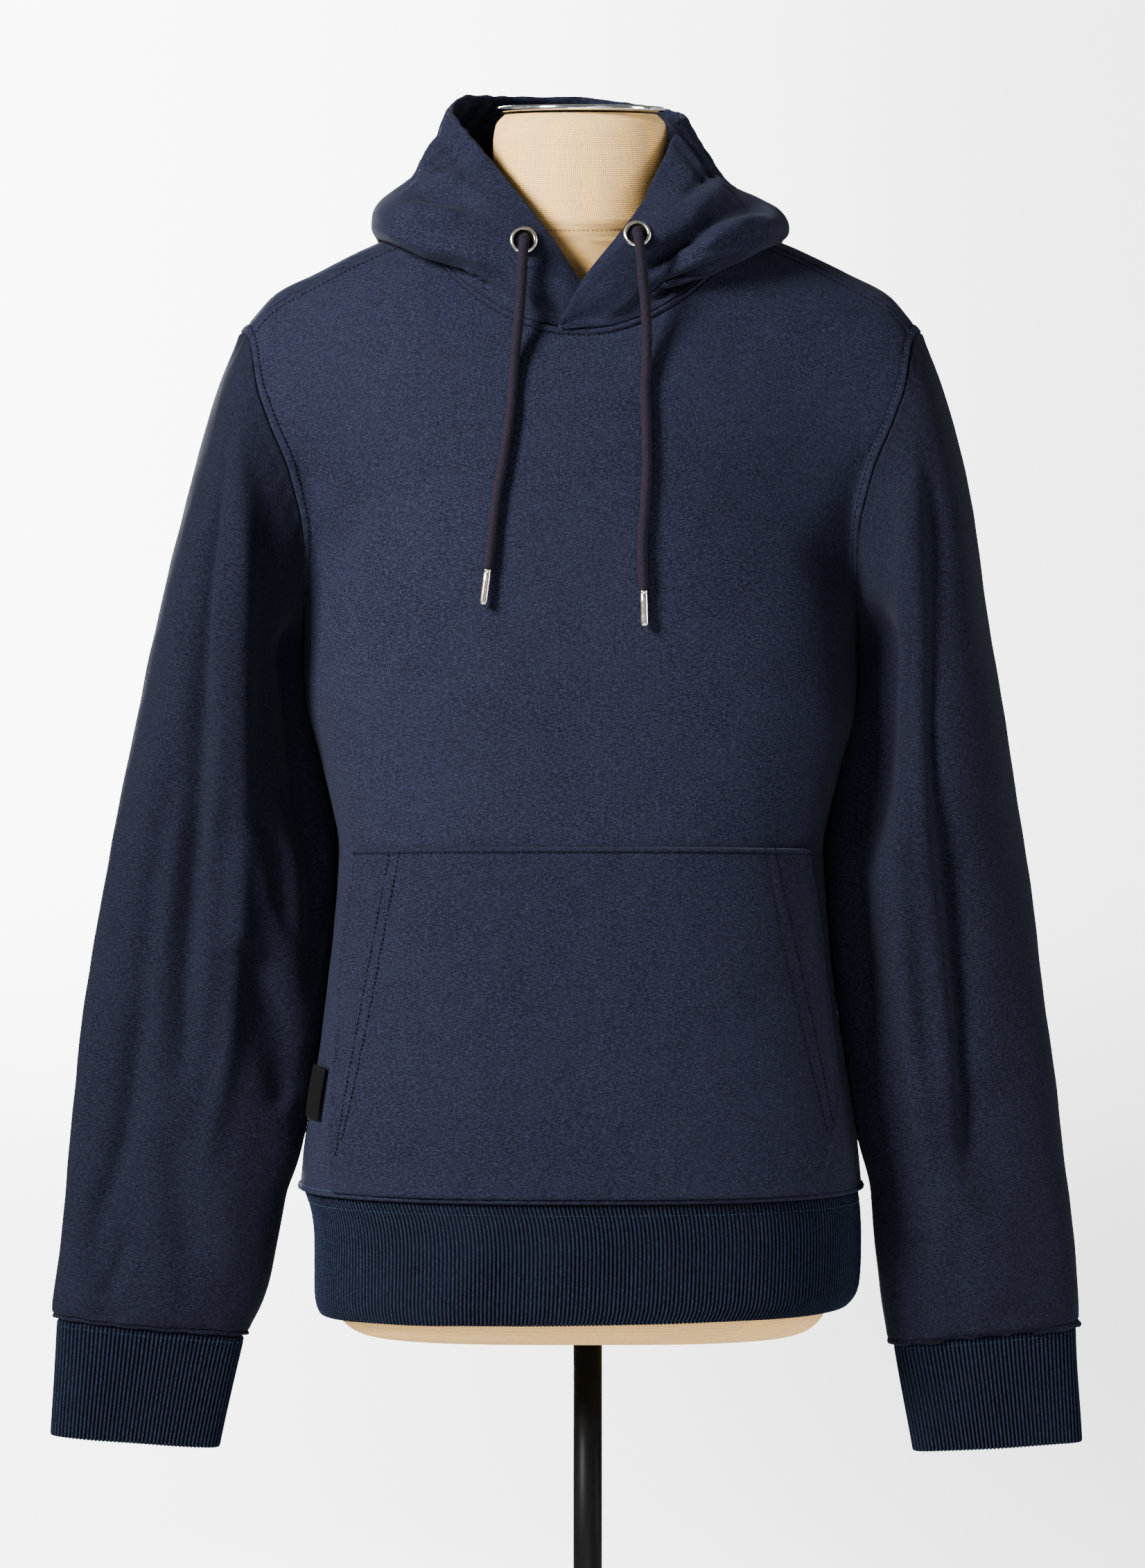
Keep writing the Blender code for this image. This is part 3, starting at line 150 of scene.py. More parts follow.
def line_run(line: Array) -> Array:
    """Distance along a line, at each of its points."""
    return np.concatenate([[0], np.cumsum(np.linalg.norm(np.diff(line, axis=0), axis=1))])


def on_line(line: Array, run: Array, at: Array) -> Array:
    """Points of a line whose distances along it are known, at other distances."""
    return np.stack([np.interp(at, run, line[:, k]) for k in range(3)], -1)


def vec(x: Array, y: Array, z: Array) -> Array:
    """Stack three coordinates into points."""
    return np.stack(np.broadcast_arrays(x, y, z), axis=-1)


def unit(vectors: Array) -> Array:
    """Scale vectors to length 1."""
    return vectors / np.maximum(np.linalg.norm(vectors, axis=-1, keepdims=True), 1e-12)


def places(count: int, fine_start: int = 0, fine_end: int = 0, band: float = 0.045) -> Array:
    """Places from 0 to 1 that stand closer together near the ends.

    Args:
        count: even places between the ends' bands.
        fine_start: extra places in the first band.
        fine_end: extra places in the last band.
        band: width of a band.

    Returns:
        Rising places, with 0 and 1 among them.
    """
    low = band if fine_start else 0.0
    high = 1 - band if fine_end else 1.0
    parts = [np.linspace(low, high, count)]
    if fine_start:
        parts.insert(0, np.linspace(0, low, fine_start, endpoint=False))
    if fine_end:
        parts.append(np.linspace(high, 1, fine_end + 1)[1:])
    return np.concatenate(parts)


def grid_normals(points: Array, closed: bool, flip: bool = False) -> Array:
    """Directions of a grid's surface.

    Args:
        points: rows by columns by 3.
        closed: whether the columns close into a tube.
        flip: whether the other side is the outside.

    Returns:
        A unit vector for each point.
    """
    if closed:
        across = np.roll(points, -1, axis=1) - np.roll(points, 1, axis=1)
    else:
        across = np.gradient(points, axis=1)
    along = np.gradient(points, axis=0)
    normals = unit(np.cross(across, along))
    return -normals if flip else normals


def run_from(points: Array, axis: int, backwards: bool = False) -> Array:
    """Distance over a grid from one of its borders.

    Args:
        points: the grid.
        axis: 0 for a border row, 1 for a border column.
        backwards: measure from the last one, not the first.

    Returns:
        A distance for each point.
    """
    steps = np.linalg.norm(np.diff(points, axis=axis), axis=-1)
    if backwards:
        steps = np.flip(steps, axis)
    pad = [(0, 0), (0, 0)]
    pad[axis] = (1, 0)
    run = np.cumsum(np.pad(steps, pad), axis=axis)
    return np.flip(run, axis) if backwards else run


def edge_run(points: Array, axis: int) -> Array:
    """Distance over a grid from the nearer of two opposite borders."""
    return np.minimum(run_from(points, axis), run_from(points, axis, True))


def swell(points: Array, wavelength: float, seed: int) -> Array:
    """Soft uneven waves in space, from about -1 to 1.

    Args:
        points: points to read at.
        wavelength: typical distance between two crests.
        seed: picks the waves.

    Returns:
        One value for each point.
    """
    waves, height = 7, 3.2
    rng = np.random.default_rng(seed)
    total = np.zeros(points.shape[:-1])
    for _ in range(waves):
        direction = unit(rng.normal(size=3)) * 2 * math.pi / (wavelength * rng.uniform(0.7, 1.6))
        total += np.sin(points @ direction + rng.uniform(0, 2 * math.pi))
    return total / height


def from_front(points: Array) -> Array:
    """Where points are seen from the front: across and up on the plane through the torso's axis."""
    scale = -EYE[1] / (points[..., 1] - EYE[1])
    return np.stack([EYE[0] + (points[..., 0] - EYE[0]) * scale,
                     EYE[2] + (points[..., 2] - EYE[2]) * scale], axis=-1)


@dataclass(frozen=True)
class Fold:
    """A soft ridge or trough on a route over the cloth.

    Attributes:
        route: places along it, in millimetres across and up.
        width: how wide it is, in millimetres.
        rise: how high its middle stands, in millimetres; a trough is negative.
        lean: above 0 it is wider to the left of its route, below 0 to the right.
        ends: share of its length that each end fades over.
    """

    route: tuple[tuple[float, float], ...]
    width: float
    rise: float
    lean: float = 0.0
    ends: float = 0.3

    def lift(self, spots: Array) -> Array:
        """Read the fold.

        Args:
            spots: places across and up, in metres.

        Returns:
            How far each spot moves out, in metres.
        """
        count = 10 * len(self.route)
        line = spline(np.array(self.route) * MM, np.linspace(0, 1, count + 1))
        flat = spots.reshape(-1, 2)
        best = np.full(len(flat), np.inf)
        where = np.zeros(len(flat))
        hand = np.zeros(len(flat))
        for k in range(count):
            a, step = line[k], line[k + 1] - line[k]
            t = np.clip(((flat - a) @ step) / (step @ step), 0, 1)
            gap = flat - a - t[:, None] * step
            off = np.hypot(gap[:, 0], gap[:, 1])
            near = off < best
            best = np.where(near, off, best)
            where = np.where(near, (k + t) / count, where)
            hand = np.where(near, np.sign(step[0] * gap[:, 1] - step[1] * gap[:, 0]), hand)
        width = self.width * MM * 0.6 * (1 + self.lean * hand)
        fade = smooth(where / self.ends) * smooth((1 - where) / self.ends)
        return (self.rise * MM * fade * bell(best, width)).reshape(spots.shape[:-1])


def folded(points: Array, normals: Array, folds: Iterable[Fold], face: Face = Face.FRONT) -> Array:
    """Sum of the folds over a grid that is seen from the front or through from behind.

    Args:
        points: the grid.
        normals: its directions.
        folds: folds in millimetres as seen from the front.
        face: the half of the surface that they keep to.

    Returns:
        How far each point moves out.
    """
    spots = from_front(points)
    total = np.zeros(points.shape[:-1])
    for fold in folds:
        total += fold.lift(spots)
    turned = normals[..., 1] if face is Face.FRONT else -normals[..., 1]
    return total * smooth((0.30 - turned) / 0.5)


# ---- meshes --------------------------------------------------------------------------------------
def show(name: str, data: bpy.types.ID) -> bpy.types.Object:
    """Put an object in the scene."""
    made = bpy.data.objects.new(name, data)
    bpy.context.scene.collection.objects.link(made)
    return made


@dataclass
class MeshParts:
    """Vertices, faces and UVs that are gathered before they become one mesh."""

    points: list[Array] = field(default_factory=list)
    faces: list[list[int]] = field(default_factory=list)
    corners: list[Array] = field(default_factory=list)
    slots: list[int] = field(default_factory=list)
    count: int = 0

    def add(self, points: Array, faces: Array, uvs: Array, slot: int = 0) -> None:
        """Add faces of one size.

        Args:
            points: points that the faces number from 0.
            faces: corners of each face.
            uvs: place of each corner on the cloth.
            slot: material slot of the faces.
        """
        self.points.append(points.reshape(-1, 3))
        self.faces += (faces + self.count).tolist()
        self.corners.append(uvs.reshape(-1, 2))
        self.slots += [slot] * len(faces)
        self.count += len(points.reshape(-1, 3))

    def make(self, name: str, materials: Sequence[bpy.types.Material], slot: str,
             nodes: Sequence[str] = (), shift: float = GARMENT_X) -> bpy.types.Object:
        """Turn the parts into an object that rides on the model.

        Args:
            name: the object's name.
            materials: its materials.
            slot: not used.
            nodes: CAD nodes that it stands for.
            shift: how far it moves along X from the torso's frame.

        Returns:
            The object.
        """
        points = np.concatenate(self.points) + np.array([shift, 0, 0])
        mesh = bpy.data.meshes.new(name)
        mesh.from_pydata(points.tolist(), [], self.faces)
        layer = mesh.uv_layers.new(name="UVMap")
        layer.data.foreach_set("uv", np.concatenate(self.corners).astype(np.float32).ravel())
        mesh.polygons.foreach_set("material_index", self.slots)
        for finish in materials:
            mesh.materials.append(finish)
        mesh.shade_smooth()
        mesh.update()
        made = show(name, mesh)
        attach(made, "root")
        if nodes:
            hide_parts(*nodes)
        return made


def grid_faces(rows: int, columns: int, closed: bool) -> tuple[Array, Array]:
    """Quads of a grid.

    Args:
        rows: rows of points.
        columns: columns of points.
        closed: whether the last column meets the first.

    Returns:
        Each face's corners, and their (row, column) places with the column not wrapped.
    """
    spans = columns if closed else columns - 1
    i, j = np.meshgrid(np.arange(rows - 1), np.arange(spans), indexing="ij")
    i, j = i.ravel(), j.ravel()
    at = np.stack([np.stack([i, j], -1), np.stack([i, j + 1], -1),
                   np.stack([i + 1, j + 1], -1), np.stack([i + 1, j], -1)], axis=1)
    return at[..., 0] * columns + at[..., 1] % columns, at


def shell(outer: Array, inner: Array, closed: bool, flip: bool, uv: Array,
          round_edge: float = 0.35) -> MeshParts:
    """Close a cloth wall between its outer and inner grid, with rounded edges.

    Args:
        outer: outer grid.
        inner: inner grid of the same size.
        closed: whether the columns close into a tube.
        flip: whether the grids run the other way round.
        uv: rows by columns (one more when closed) by 2, in metres.
        round_edge: how far an edge bulges, as a share of the wall.

    Returns:
        The gathered parts.
    """
    rows, columns = outer.shape[:2]
    faces, at = grid_faces(rows, columns, closed)
    uvs = uv[at[..., 0], at[..., 1]]
    points = np.concatenate([outer.reshape(-1, 3), inner.reshape(-1, 3)])
    count = rows * columns
    quads, corners = [faces, faces[:, ::-1] + count], [uvs, uvs[:, ::-1]]
    extra = []
    start = 2 * count

    def edge(a: Array, b: Array, a_in: Array, loop: bool, line: Array, turned: bool) -> None:
        """Close one border through a bulged row of points in its middle.

        Args:
            a: outer points of the border.
            b: inner points of the border.
            a_in: outer points of the row beside it.
            loop: whether the border closes.
            line: its UVs.
            turned: whether its faces run the other way round.
        """
        nonlocal start
        middle = (points[a] + points[b]) / 2
        away = unit(middle - (points[a_in] + points[a_in + count]) / 2)
        wide = np.linalg.norm(points[a] - points[b], axis=-1, keepdims=True)
        extra.append(middle + away * wide * round_edge)
        index = start + np.arange(len(a))
        start += len(a)
        k = np.arange(len(a) if loop else len(a) - 1)
        m = (k + 1) % len(a)
        for low, high in ((a, index), (index, b)):
            quad = np.stack([low[k], high[k], high[m], low[m]], axis=1)
            corner = np.stack([line[k], line[k], line[k + 1], line[k + 1]], axis=1)
            quads.append(quad[:, ::-1] if turned else quad)
            corners.append(corner[:, ::-1] if turned else corner)

    grid = np.arange(count).reshape(rows, columns)
    edge(grid[0], grid[0] + count, grid[1], closed, uv[0], False)
    edge(grid[-1], grid[-1] + count, grid[-2], closed, uv[-1], True)
    if not closed:
        edge(grid[:, 0], grid[:, 0] + count, grid[:, 1], False, uv[:, 0], True)
        edge(grid[:, -1], grid[:, -1] + count, grid[:, -2], False, uv[:, -1], False)
    all_faces, all_corners = np.concatenate(quads), np.concatenate(corners)
    if flip:
        all_faces, all_corners = all_faces[:, ::-1], all_corners[:, ::-1]
    parts = MeshParts()
    parts.add(np.concatenate([points] + extra), all_faces, all_corners)
    return parts


def metric_uv(points: Array, closed: bool, origin: tuple[float, float] = (0.0, 0.0)) -> Array:
    """Measure a grid's cloth: across along each row from its middle column, and up along the columns.

    Args:
        points: the grid.
        closed: whether the columns close into a tube.
        origin: where the cloth starts, so that pieces don't share one part of the knit.

    Returns:
        UVs in metres, with one more column when closed.
    """
    ring = wrapped(points) if closed else points
    across = run_from(ring, 1)
    middle = across.shape[1] // 2
    across = across - across[:, middle:middle + 1]
    up = run_from(ring, 0).mean(axis=1, keepdims=True) + 0 * across
    return np.stack([across + origin[0], up + origin[1]], axis=-1)


def wrapped(grid: Array) -> Array:
    """Repeat a closed grid's first column after its last."""
    return np.concatenate([grid, grid[:, :1]], axis=1)


def turned_parts(profile: Sequence[tuple[float, float]], sides: int, place: Array, axis: Array,
                 parts: MeshParts | None = None, slot: int = 0) -> MeshParts:
    """Turn a closed profile about an axis.

    Args:
        profile: (radius, height) from the axis round to the axis, in millimetres.
        sides: how many sides.
        place: where the profile's origin is.
        axis: direction of the axis.
        parts: parts to add to.
        slot: material slot of the faces.

    Returns:
        The gathered parts.
    """
    parts = parts or MeshParts()
    basis = np.array(Vector(axis).to_track_quat("Z", "Y").to_matrix())
    rings = np.array([(max(r * MM, 1e-6), h * MM) for r, h in profile])
    angle = np.linspace(0, 2 * math.pi, sides, endpoint=False)
    grid = vec(rings[:, :1] * np.cos(angle), rings[:, :1] * np.sin(angle), rings[:, 1:] + 0 * angle)
    faces, at = grid_faces(len(rings), sides, True)
    girth = 2 * math.pi * rings[:, 0].max()
    uvs = np.stack([at[..., 1] / sides * girth, line_run(rings)[at[..., 0]]], axis=-1)
    parts.add(grid.reshape(-1, 3) @ basis.T + np.asarray(place), faces, uvs, slot)
    return parts


# ---- the cloth's surfaces ------------------------------------------------------------------------
@dataclass(frozen=True)
class BodySurface:
    """The outside of the hoodie's body, shoulders included."""

    squareness: float = 2.5
    waist_z: float = 770.5 * MM
    underarm_z: float = 1150 * MM
    arm_depth: float = 62 * MM
    chest_fullness: float = 0.85
    shoulder_turn: float = 78.0
    neck_front: float = 43.4
    neck_back: float = 119.0
    neck_half: float = 98 * MM
    neck_y: float = -15 * MM
    neck_share: float = 5 / 11
    even_half: float = 170 * MM
    even_depth: float = 118 * MM
    off_seam: float = 0.15 * MM
    rows: tuple[tuple[float, ...], ...] = (
        (770.5, 184.5, 121, 117), (795, 182.5, 121, 116), (822, 178.5, 120.5, 114),
        (873, 170.5, 119.5, 109), (915, 165, 118.5, 105), (964, 160.5, 117.5, 102),
        (993, 159, 117.5, 102), (1050, 170, 118.5, 105), (1096, 180.5, 119.5, 110),
        (1150, 182, 120, 115))
    ridge_rows: tuple[tuple[float, float], ...] = (
        (0, 1418), (60, 1414), (100, 1402.5), (140, 1387), (175, 1370),
        (200, 1356.5), (222.5, 1331))
    armhole_rows: tuple[tuple[float, ...], ...] = (
        (0, 182, 182), (14, 179.5, 181.5), (28, 180, 185), (40, 188, 193),
        (51, 202, 204), (60, 210, 212), (72, 214.5, 216), (90, 222.5, 222.5))

    def ridge(self, x: Array) -> Array:
        """Height of the shoulder's ridge."""
        return table(self.ridge_rows, np.abs(x) / MM) * MM

    def half(self, height: Array) -> Array:
        """Half the width of the trunk's section."""
        return table(self.rows, height / MM, 1) * MM

    def deep(self, height: Array, face: Face) -> Array:
        """Depth of the trunk's section in its middle."""
        return table(self.rows, height / MM, 2 if face is Face.FRONT else 3) * MM

    def oval(self, share: Array) -> Array:
        """The share of one axis at which the trunk's section passes a share of the other."""
        return np.maximum(1 - share ** self.squareness, 0) ** (1 / self.squareness)

    def reach(self, turn: Array, front: Array) -> Array:
        """Distance of the armhole's edge from the middle."""
        at_front, at_back = table(self.armhole_rows, turn, 1), table(self.armhole_rows, turn, 2)
        return np.where(front, at_front, at_back) * MM

    def upper(self, share: Array, over: Array) -> Array:
        """Points of the chest, shoulders and back.

        Args:
            share: place across, -1 to 1 at the armholes.
            over: 0 in front of the chest, 90 at the ridge, 180 behind.

        Returns:
            The points.
        """
        share, over = np.broadcast_arrays(share, over)
        front = over <= 90
        turn = np.where(front, over, 180 - over)
        angle = np.radians(turn)
        full = np.abs(share)
        x = share * self.reach(turn, front)
        last = self.rows[-1]
        fullness = np.maximum(np.cos(angle), 0) ** self.chest_fullness
        depth = np.where(front, last[2], last[3]) * MM * fullness
        arm = self.arm_depth * np.sin(2 * angle)
        close = 1 / self.squareness + (1 - 1 / self.squareness) * smooth(turn / 25)
        y = arm + (depth - arm) * np.maximum(1 - full ** self.squareness, 0) ** close
        z = self.underarm_z + (self.ridge(x) - self.underarm_z) * np.sin(angle) ** (1 + full ** 3)
        return vec(x, np.where(front, -y, y), z)

    def trunk(self, turn: Array, height: Array, face: Face) -> Array:
        """Points below the underarms.

        Args:
            turn: 0 in the middle and 90 at the side seams.
            height: heights of the points.
            face: front or back.

        Returns:
            The points.
        """
        angle = np.radians(np.abs(turn))
        x = np.sign(turn) * self.half(height) * np.sin(angle) ** (2 / self.squareness)
        y = self.deep(height, face) * np.maximum(np.cos(angle), 0) ** (2 / self.squareness)
        return vec(x, -y if face is Face.FRONT else y, height + 0 * x)

    def depth_at(self, x: Array, height: Array, face: Face) -> Array:
        """Measure the surface from the middle plane.

        Args:
            x: places across.
            height: their heights.
            face: front or back.

        Returns:
            The surface's distance at each place.
        """
        x, height = np.broadcast_arrays(np.abs(x), height)
        front = face is Face.FRONT
        low = self.deep(height, face) * self.oval(x / self.half(height))
        part = np.clip((height - self.underarm_z) / (self.ridge(x) - self.underarm_z), 0, 1)
        turn = np.full(part.shape, 45.0)
        for _ in range(12):
            full = np.minimum(x / self.reach(turn, np.full(turn.shape, front)), 1)
            turn = np.degrees(np.arcsin(part ** (1 / (1 + full ** 3))))
        share = np.minimum(x / self.reach(turn, np.full(turn.shape, front)), 1)
        high = np.abs(self.upper(share, turn if front else 180 - turn)[..., 1])
        return np.where(height <= self.underarm_z, low, np.where(part >= 1, 0, high))

    def neckline(self, t: Array) -> tuple[Array, Array]:
        """Follow the neck opening.

        Args:
            t: 0 in front, 1 at the shoulder and 2 behind.

        Returns:
            Share and turn on the surface.
        """
        front = t <= 1
        beta = np.radians(90 * np.where(front, t, 2 - t))
        edge = np.where(front, self.neck_front, self.neck_back)
        over = self.shoulder_turn + (edge - self.shoulder_turn) * np.cos(beta)
        reach = self.reach(np.where(over <= 90, over, 180 - over), over <= 90)
        return self.neck_half * np.sin(beta) / reach, over

    def top_edge(self, place: Array, face: Face) -> tuple[Array, Array]:
        """Find where a panel's columns end, on the neckline or the shoulder seam.

        Args:
            place: places of the columns from the middle, 0, to the side, 1.
            face: front or back.

        Returns:
            Share and turn on the surface.
        """
        part = np.minimum(place / self.neck_share, 1)
        neck_share, neck_over = self.neckline(part if face is Face.FRONT else 2 - part)
        reach = self.reach(np.array(self.shoulder_turn), np.array(True))
        start = self.neck_half / reach
        seam_share = start + (1 - start) * (place - self.neck_share) / (1 - self.neck_share)
        on_neck = place <= self.neck_share
        share = np.where(on_neck, neck_share, seam_share)
        return share, np.where(on_neck, neck_over, self.shoulder_turn)

    def even_turns(self, place: Array) -> Array:
        """Even out the columns over the trunk's section.

        Args:
            place: shares of the way from its middle to its side.

        Returns:
            Turns at those shares, from 0 to 90.
        """
        k = np.linspace(0, 1, 2001)
        power = 2 / self.squareness
        quarter = np.column_stack([self.even_half * np.sin(math.pi / 2 * k) ** power,
                                   self.even_depth * np.maximum(np.cos(math.pi / 2 * k), 0) ** power])
        run = line_run(quarter)
        return 90 * np.interp(place, run / run[-1], k)

    def panel(self, face: Face, half: Array, trunk_rows: Array, chest_rows: Array) -> Array:
        """Grid of a panel's outside.

        Args:
            face: front or back.
            half: places of the columns from the middle, 0, to the side, 1.
            trunk_rows: places of the rows from the waist seam, 0, to the underarms, 1.
            chest_rows: places from the underarms to the top edge.

        Returns:
            Rows from the waist up, columns from -X to +X.
        """
        place = np.concatenate([half[:0:-1], half])
        sign = np.concatenate([-np.ones(len(half) - 1), np.ones(len(half))])
        turn = self.even_turns(place)
        share = np.sin(np.radians(turn)) ** (2 / self.squareness)
        heights = self.waist_z + (self.underarm_z - self.waist_z) * trunk_rows
        low = self.trunk((sign * turn)[None, :], heights[:-1, None], face)
        top_share, top_over = self.top_edge(place, face)
        bottom, shift = (0.0, -self.off_seam) if face is Face.FRONT else (180.0, self.off_seam)
        part = chest_rows[:, None]
        high = self.upper(sign * (share + (top_share - share) * part), bottom + (top_over - bottom) * part)
        return np.concatenate([low, high]) + np.array([0, shift, 0])

    def armhole(self, around: Array) -> Array:
        """Follow the armhole.

        Args:
            around: 0 at the shoulder tip, 90 in front.

        Returns:
            Its points, for the wearer's left.
        """
        around = np.mod(around, 360)
        over = np.where(around <= 180, 90 - around / 2, 270 - around / 2)
        return self.upper(np.ones_like(over), over)


BODY = BodySurface()


@dataclass(frozen=True)
class Roll:
    """A rounded ridge or groove that runs beside an edge or a seam.

    Attributes:
        rise: how high it stands; a groove is negative.
        width: how wide it is.
        place: distance of its middle from the edge.
    """

    rise: float
    width: float
    place: float = 0.0

    def lift(self, distance: Array) -> Array:
        """How far it moves the cloth out at distances from the edge."""
        return self.rise * bell(distance - self.place, self.width)


SEAM_DRAW = Roll(-0.7 * MM, 0.8 * MM)
ARMHOLE_ROLL = Roll(0.7 * MM, 3.5 * MM)


def seam_band(distance: Array, width: float, rise: float, groove: float = 0.5 * MM) -> Array:
    """Relief beside a seam: the folded allowance stands proud and its stitched edge is drawn in.

    Args:
        distance: distance from the seam.
        width: distance of the topstitch from the seam.
        rise: how high the band stands.
        groove: depth of the stitched groove.

    Returns:
        How far the cloth moves out.
    """
    band = rise * np.sqrt(np.maximum(1 - (2 * distance / width - 1) ** 4, 0)) * (distance < width)
    return band + Roll(-groove, 0.9 * MM, width).lift(distance) + SEAM_DRAW.lift(distance)


def pucker(run: Array, distance: Array, pitch: float, size: float, reach: float, seed: int) -> Array:
    """Small uneven ripples across a seam, which die away from it.

    Args:
        run: distance along the seam.
        distance: distance from the seam.
        pitch: distance between two ripples.
        size: height of a ripple.
        reach: distance over which they die away.
        seed: picks their unevenness.

    Returns:
        How far the cloth moves out.
    """
    rng = np.random.default_rng(seed)
    phase = 1.6 * np.sin(run / (pitch * 2.7) + rng.uniform(0, 6)) + 1.1 * np.sin(run / (pitch * 1.3))
    return size * np.sin(2 * math.pi * run / pitch + phase) * bell(distance, reach)


# ---- stitches ------------------------------------------------------------------------------------
@dataclass(frozen=True)
class StitchRow:
    """A row of topstitches on a line over the cloth.

    Attributes:
        length: length of one stitch.
        gap: distance between two stitches.
        width: width of the thread.
        bury: how deep each stitch's ends sink.
    """

    length: float = 2.5 * MM
    gap: float = 0.7 * MM
    width: float = 0.72 * MM
    bury: float = 0.25 * MM

    def sew(self, parts: MeshParts, line: Array, outward: Array, closed: bool = False,
            slot: int = 0) -> None:
        """Add one bead of thread for each stitch.

        Args:
            parts: gathers the stitches.
            line: points of the row.
            outward: the cloth's direction at each of them.
            closed: whether the row meets itself.
            slot: material slot of the thread.
        """
        if closed:
            line, outward = np.vstack([line, line[:1]]), np.vstack([outward, outward[:1]])
        run = line_run(line)
        count = max(int(run[-1] / (self.length + self.gap)), 1)
        pitch = run[-1] / count
        length = pitch - self.gap
        steps = np.array([0.0, 0.18, 0.5, 0.82, 1.0])
        thick = np.array([0.25, 0.85, 1.0, 0.85, 0.25]) * self.width / 2
        lift = np.array([-1.0, 0.3, 0.75, 0.3, -1.0]) * self.bury
        at = np.arange(count)[:, None] * pitch + self.gap / 2 + steps * length
        spots, up = on_line(line, run, at), unit(on_line(outward, run, at))
        ahead = unit(spots[:, -1:] - spots[:, :1]) + 0 * spots
        side = unit(np.cross(ahead, up))
        angle = np.radians([0, 72, 144, 216, 288])
        around = (np.cos(angle)[:, None] * up[:, :, None] + np.sin(angle)[:, None] * side[:, :, None])
        rings = (spots + up * lift[:, None])[:, :, None] + around * thick[:, None, None]
        n = len(angle)
        faces, at_uv = grid_faces(len(steps), n, True)
        every = (faces[None] + (np.arange(count) * len(steps) * n)[:, None, None]).reshape(-1, 4)
        uv = np.stack([at_uv[..., 1] / n * self.width * 3, at_uv[..., 0] / len(steps) * length], -1)
        parts.add(rings, every, np.tile(uv, (count, 1, 1)), slot)


@dataclass(frozen=True)
class GridLine:
    """A line over a grid between places given by its row and column, counted in parts of a step."""

    rows: Array
    columns: Array

    def on(self, grid: Array) -> Array:
        """Read a grid along the line.

        Args:
            grid: rows by columns of values.

        Returns:
            The values on the line.
        """
        r = np.clip(self.rows, 0, grid.shape[0] - 1.001)
        c = np.clip(self.columns, 0, grid.shape[1] - 1.001)
        i, j = r.astype(int), c.astype(int)
        f, g = (r - i)[:, None], (c - j)[:, None]
        return ((grid[i, j] * (1 - g) + grid[i, j + 1] * g) * (1 - f)
                + (grid[i + 1, j] * (1 - g) + grid[i + 1, j + 1] * g) * f)


def level_rows(distance: Array, want: float, first: bool) -> Array:
    """Row, in parts of a step, at which each column reaches a distance from its first or last row.

    Args:
        distance: distance from that edge over the grid.
        want: the distance wanted.
        first: measured from the first row, not the last.

    Returns:
        One row for each column.
    """
    rows = np.arange(distance.shape[0], dtype=float)
    if not first:
        distance, rows = distance[::-1], rows[::-1]
    return np.array([np.interp(want, column, rows) for column in distance.T])


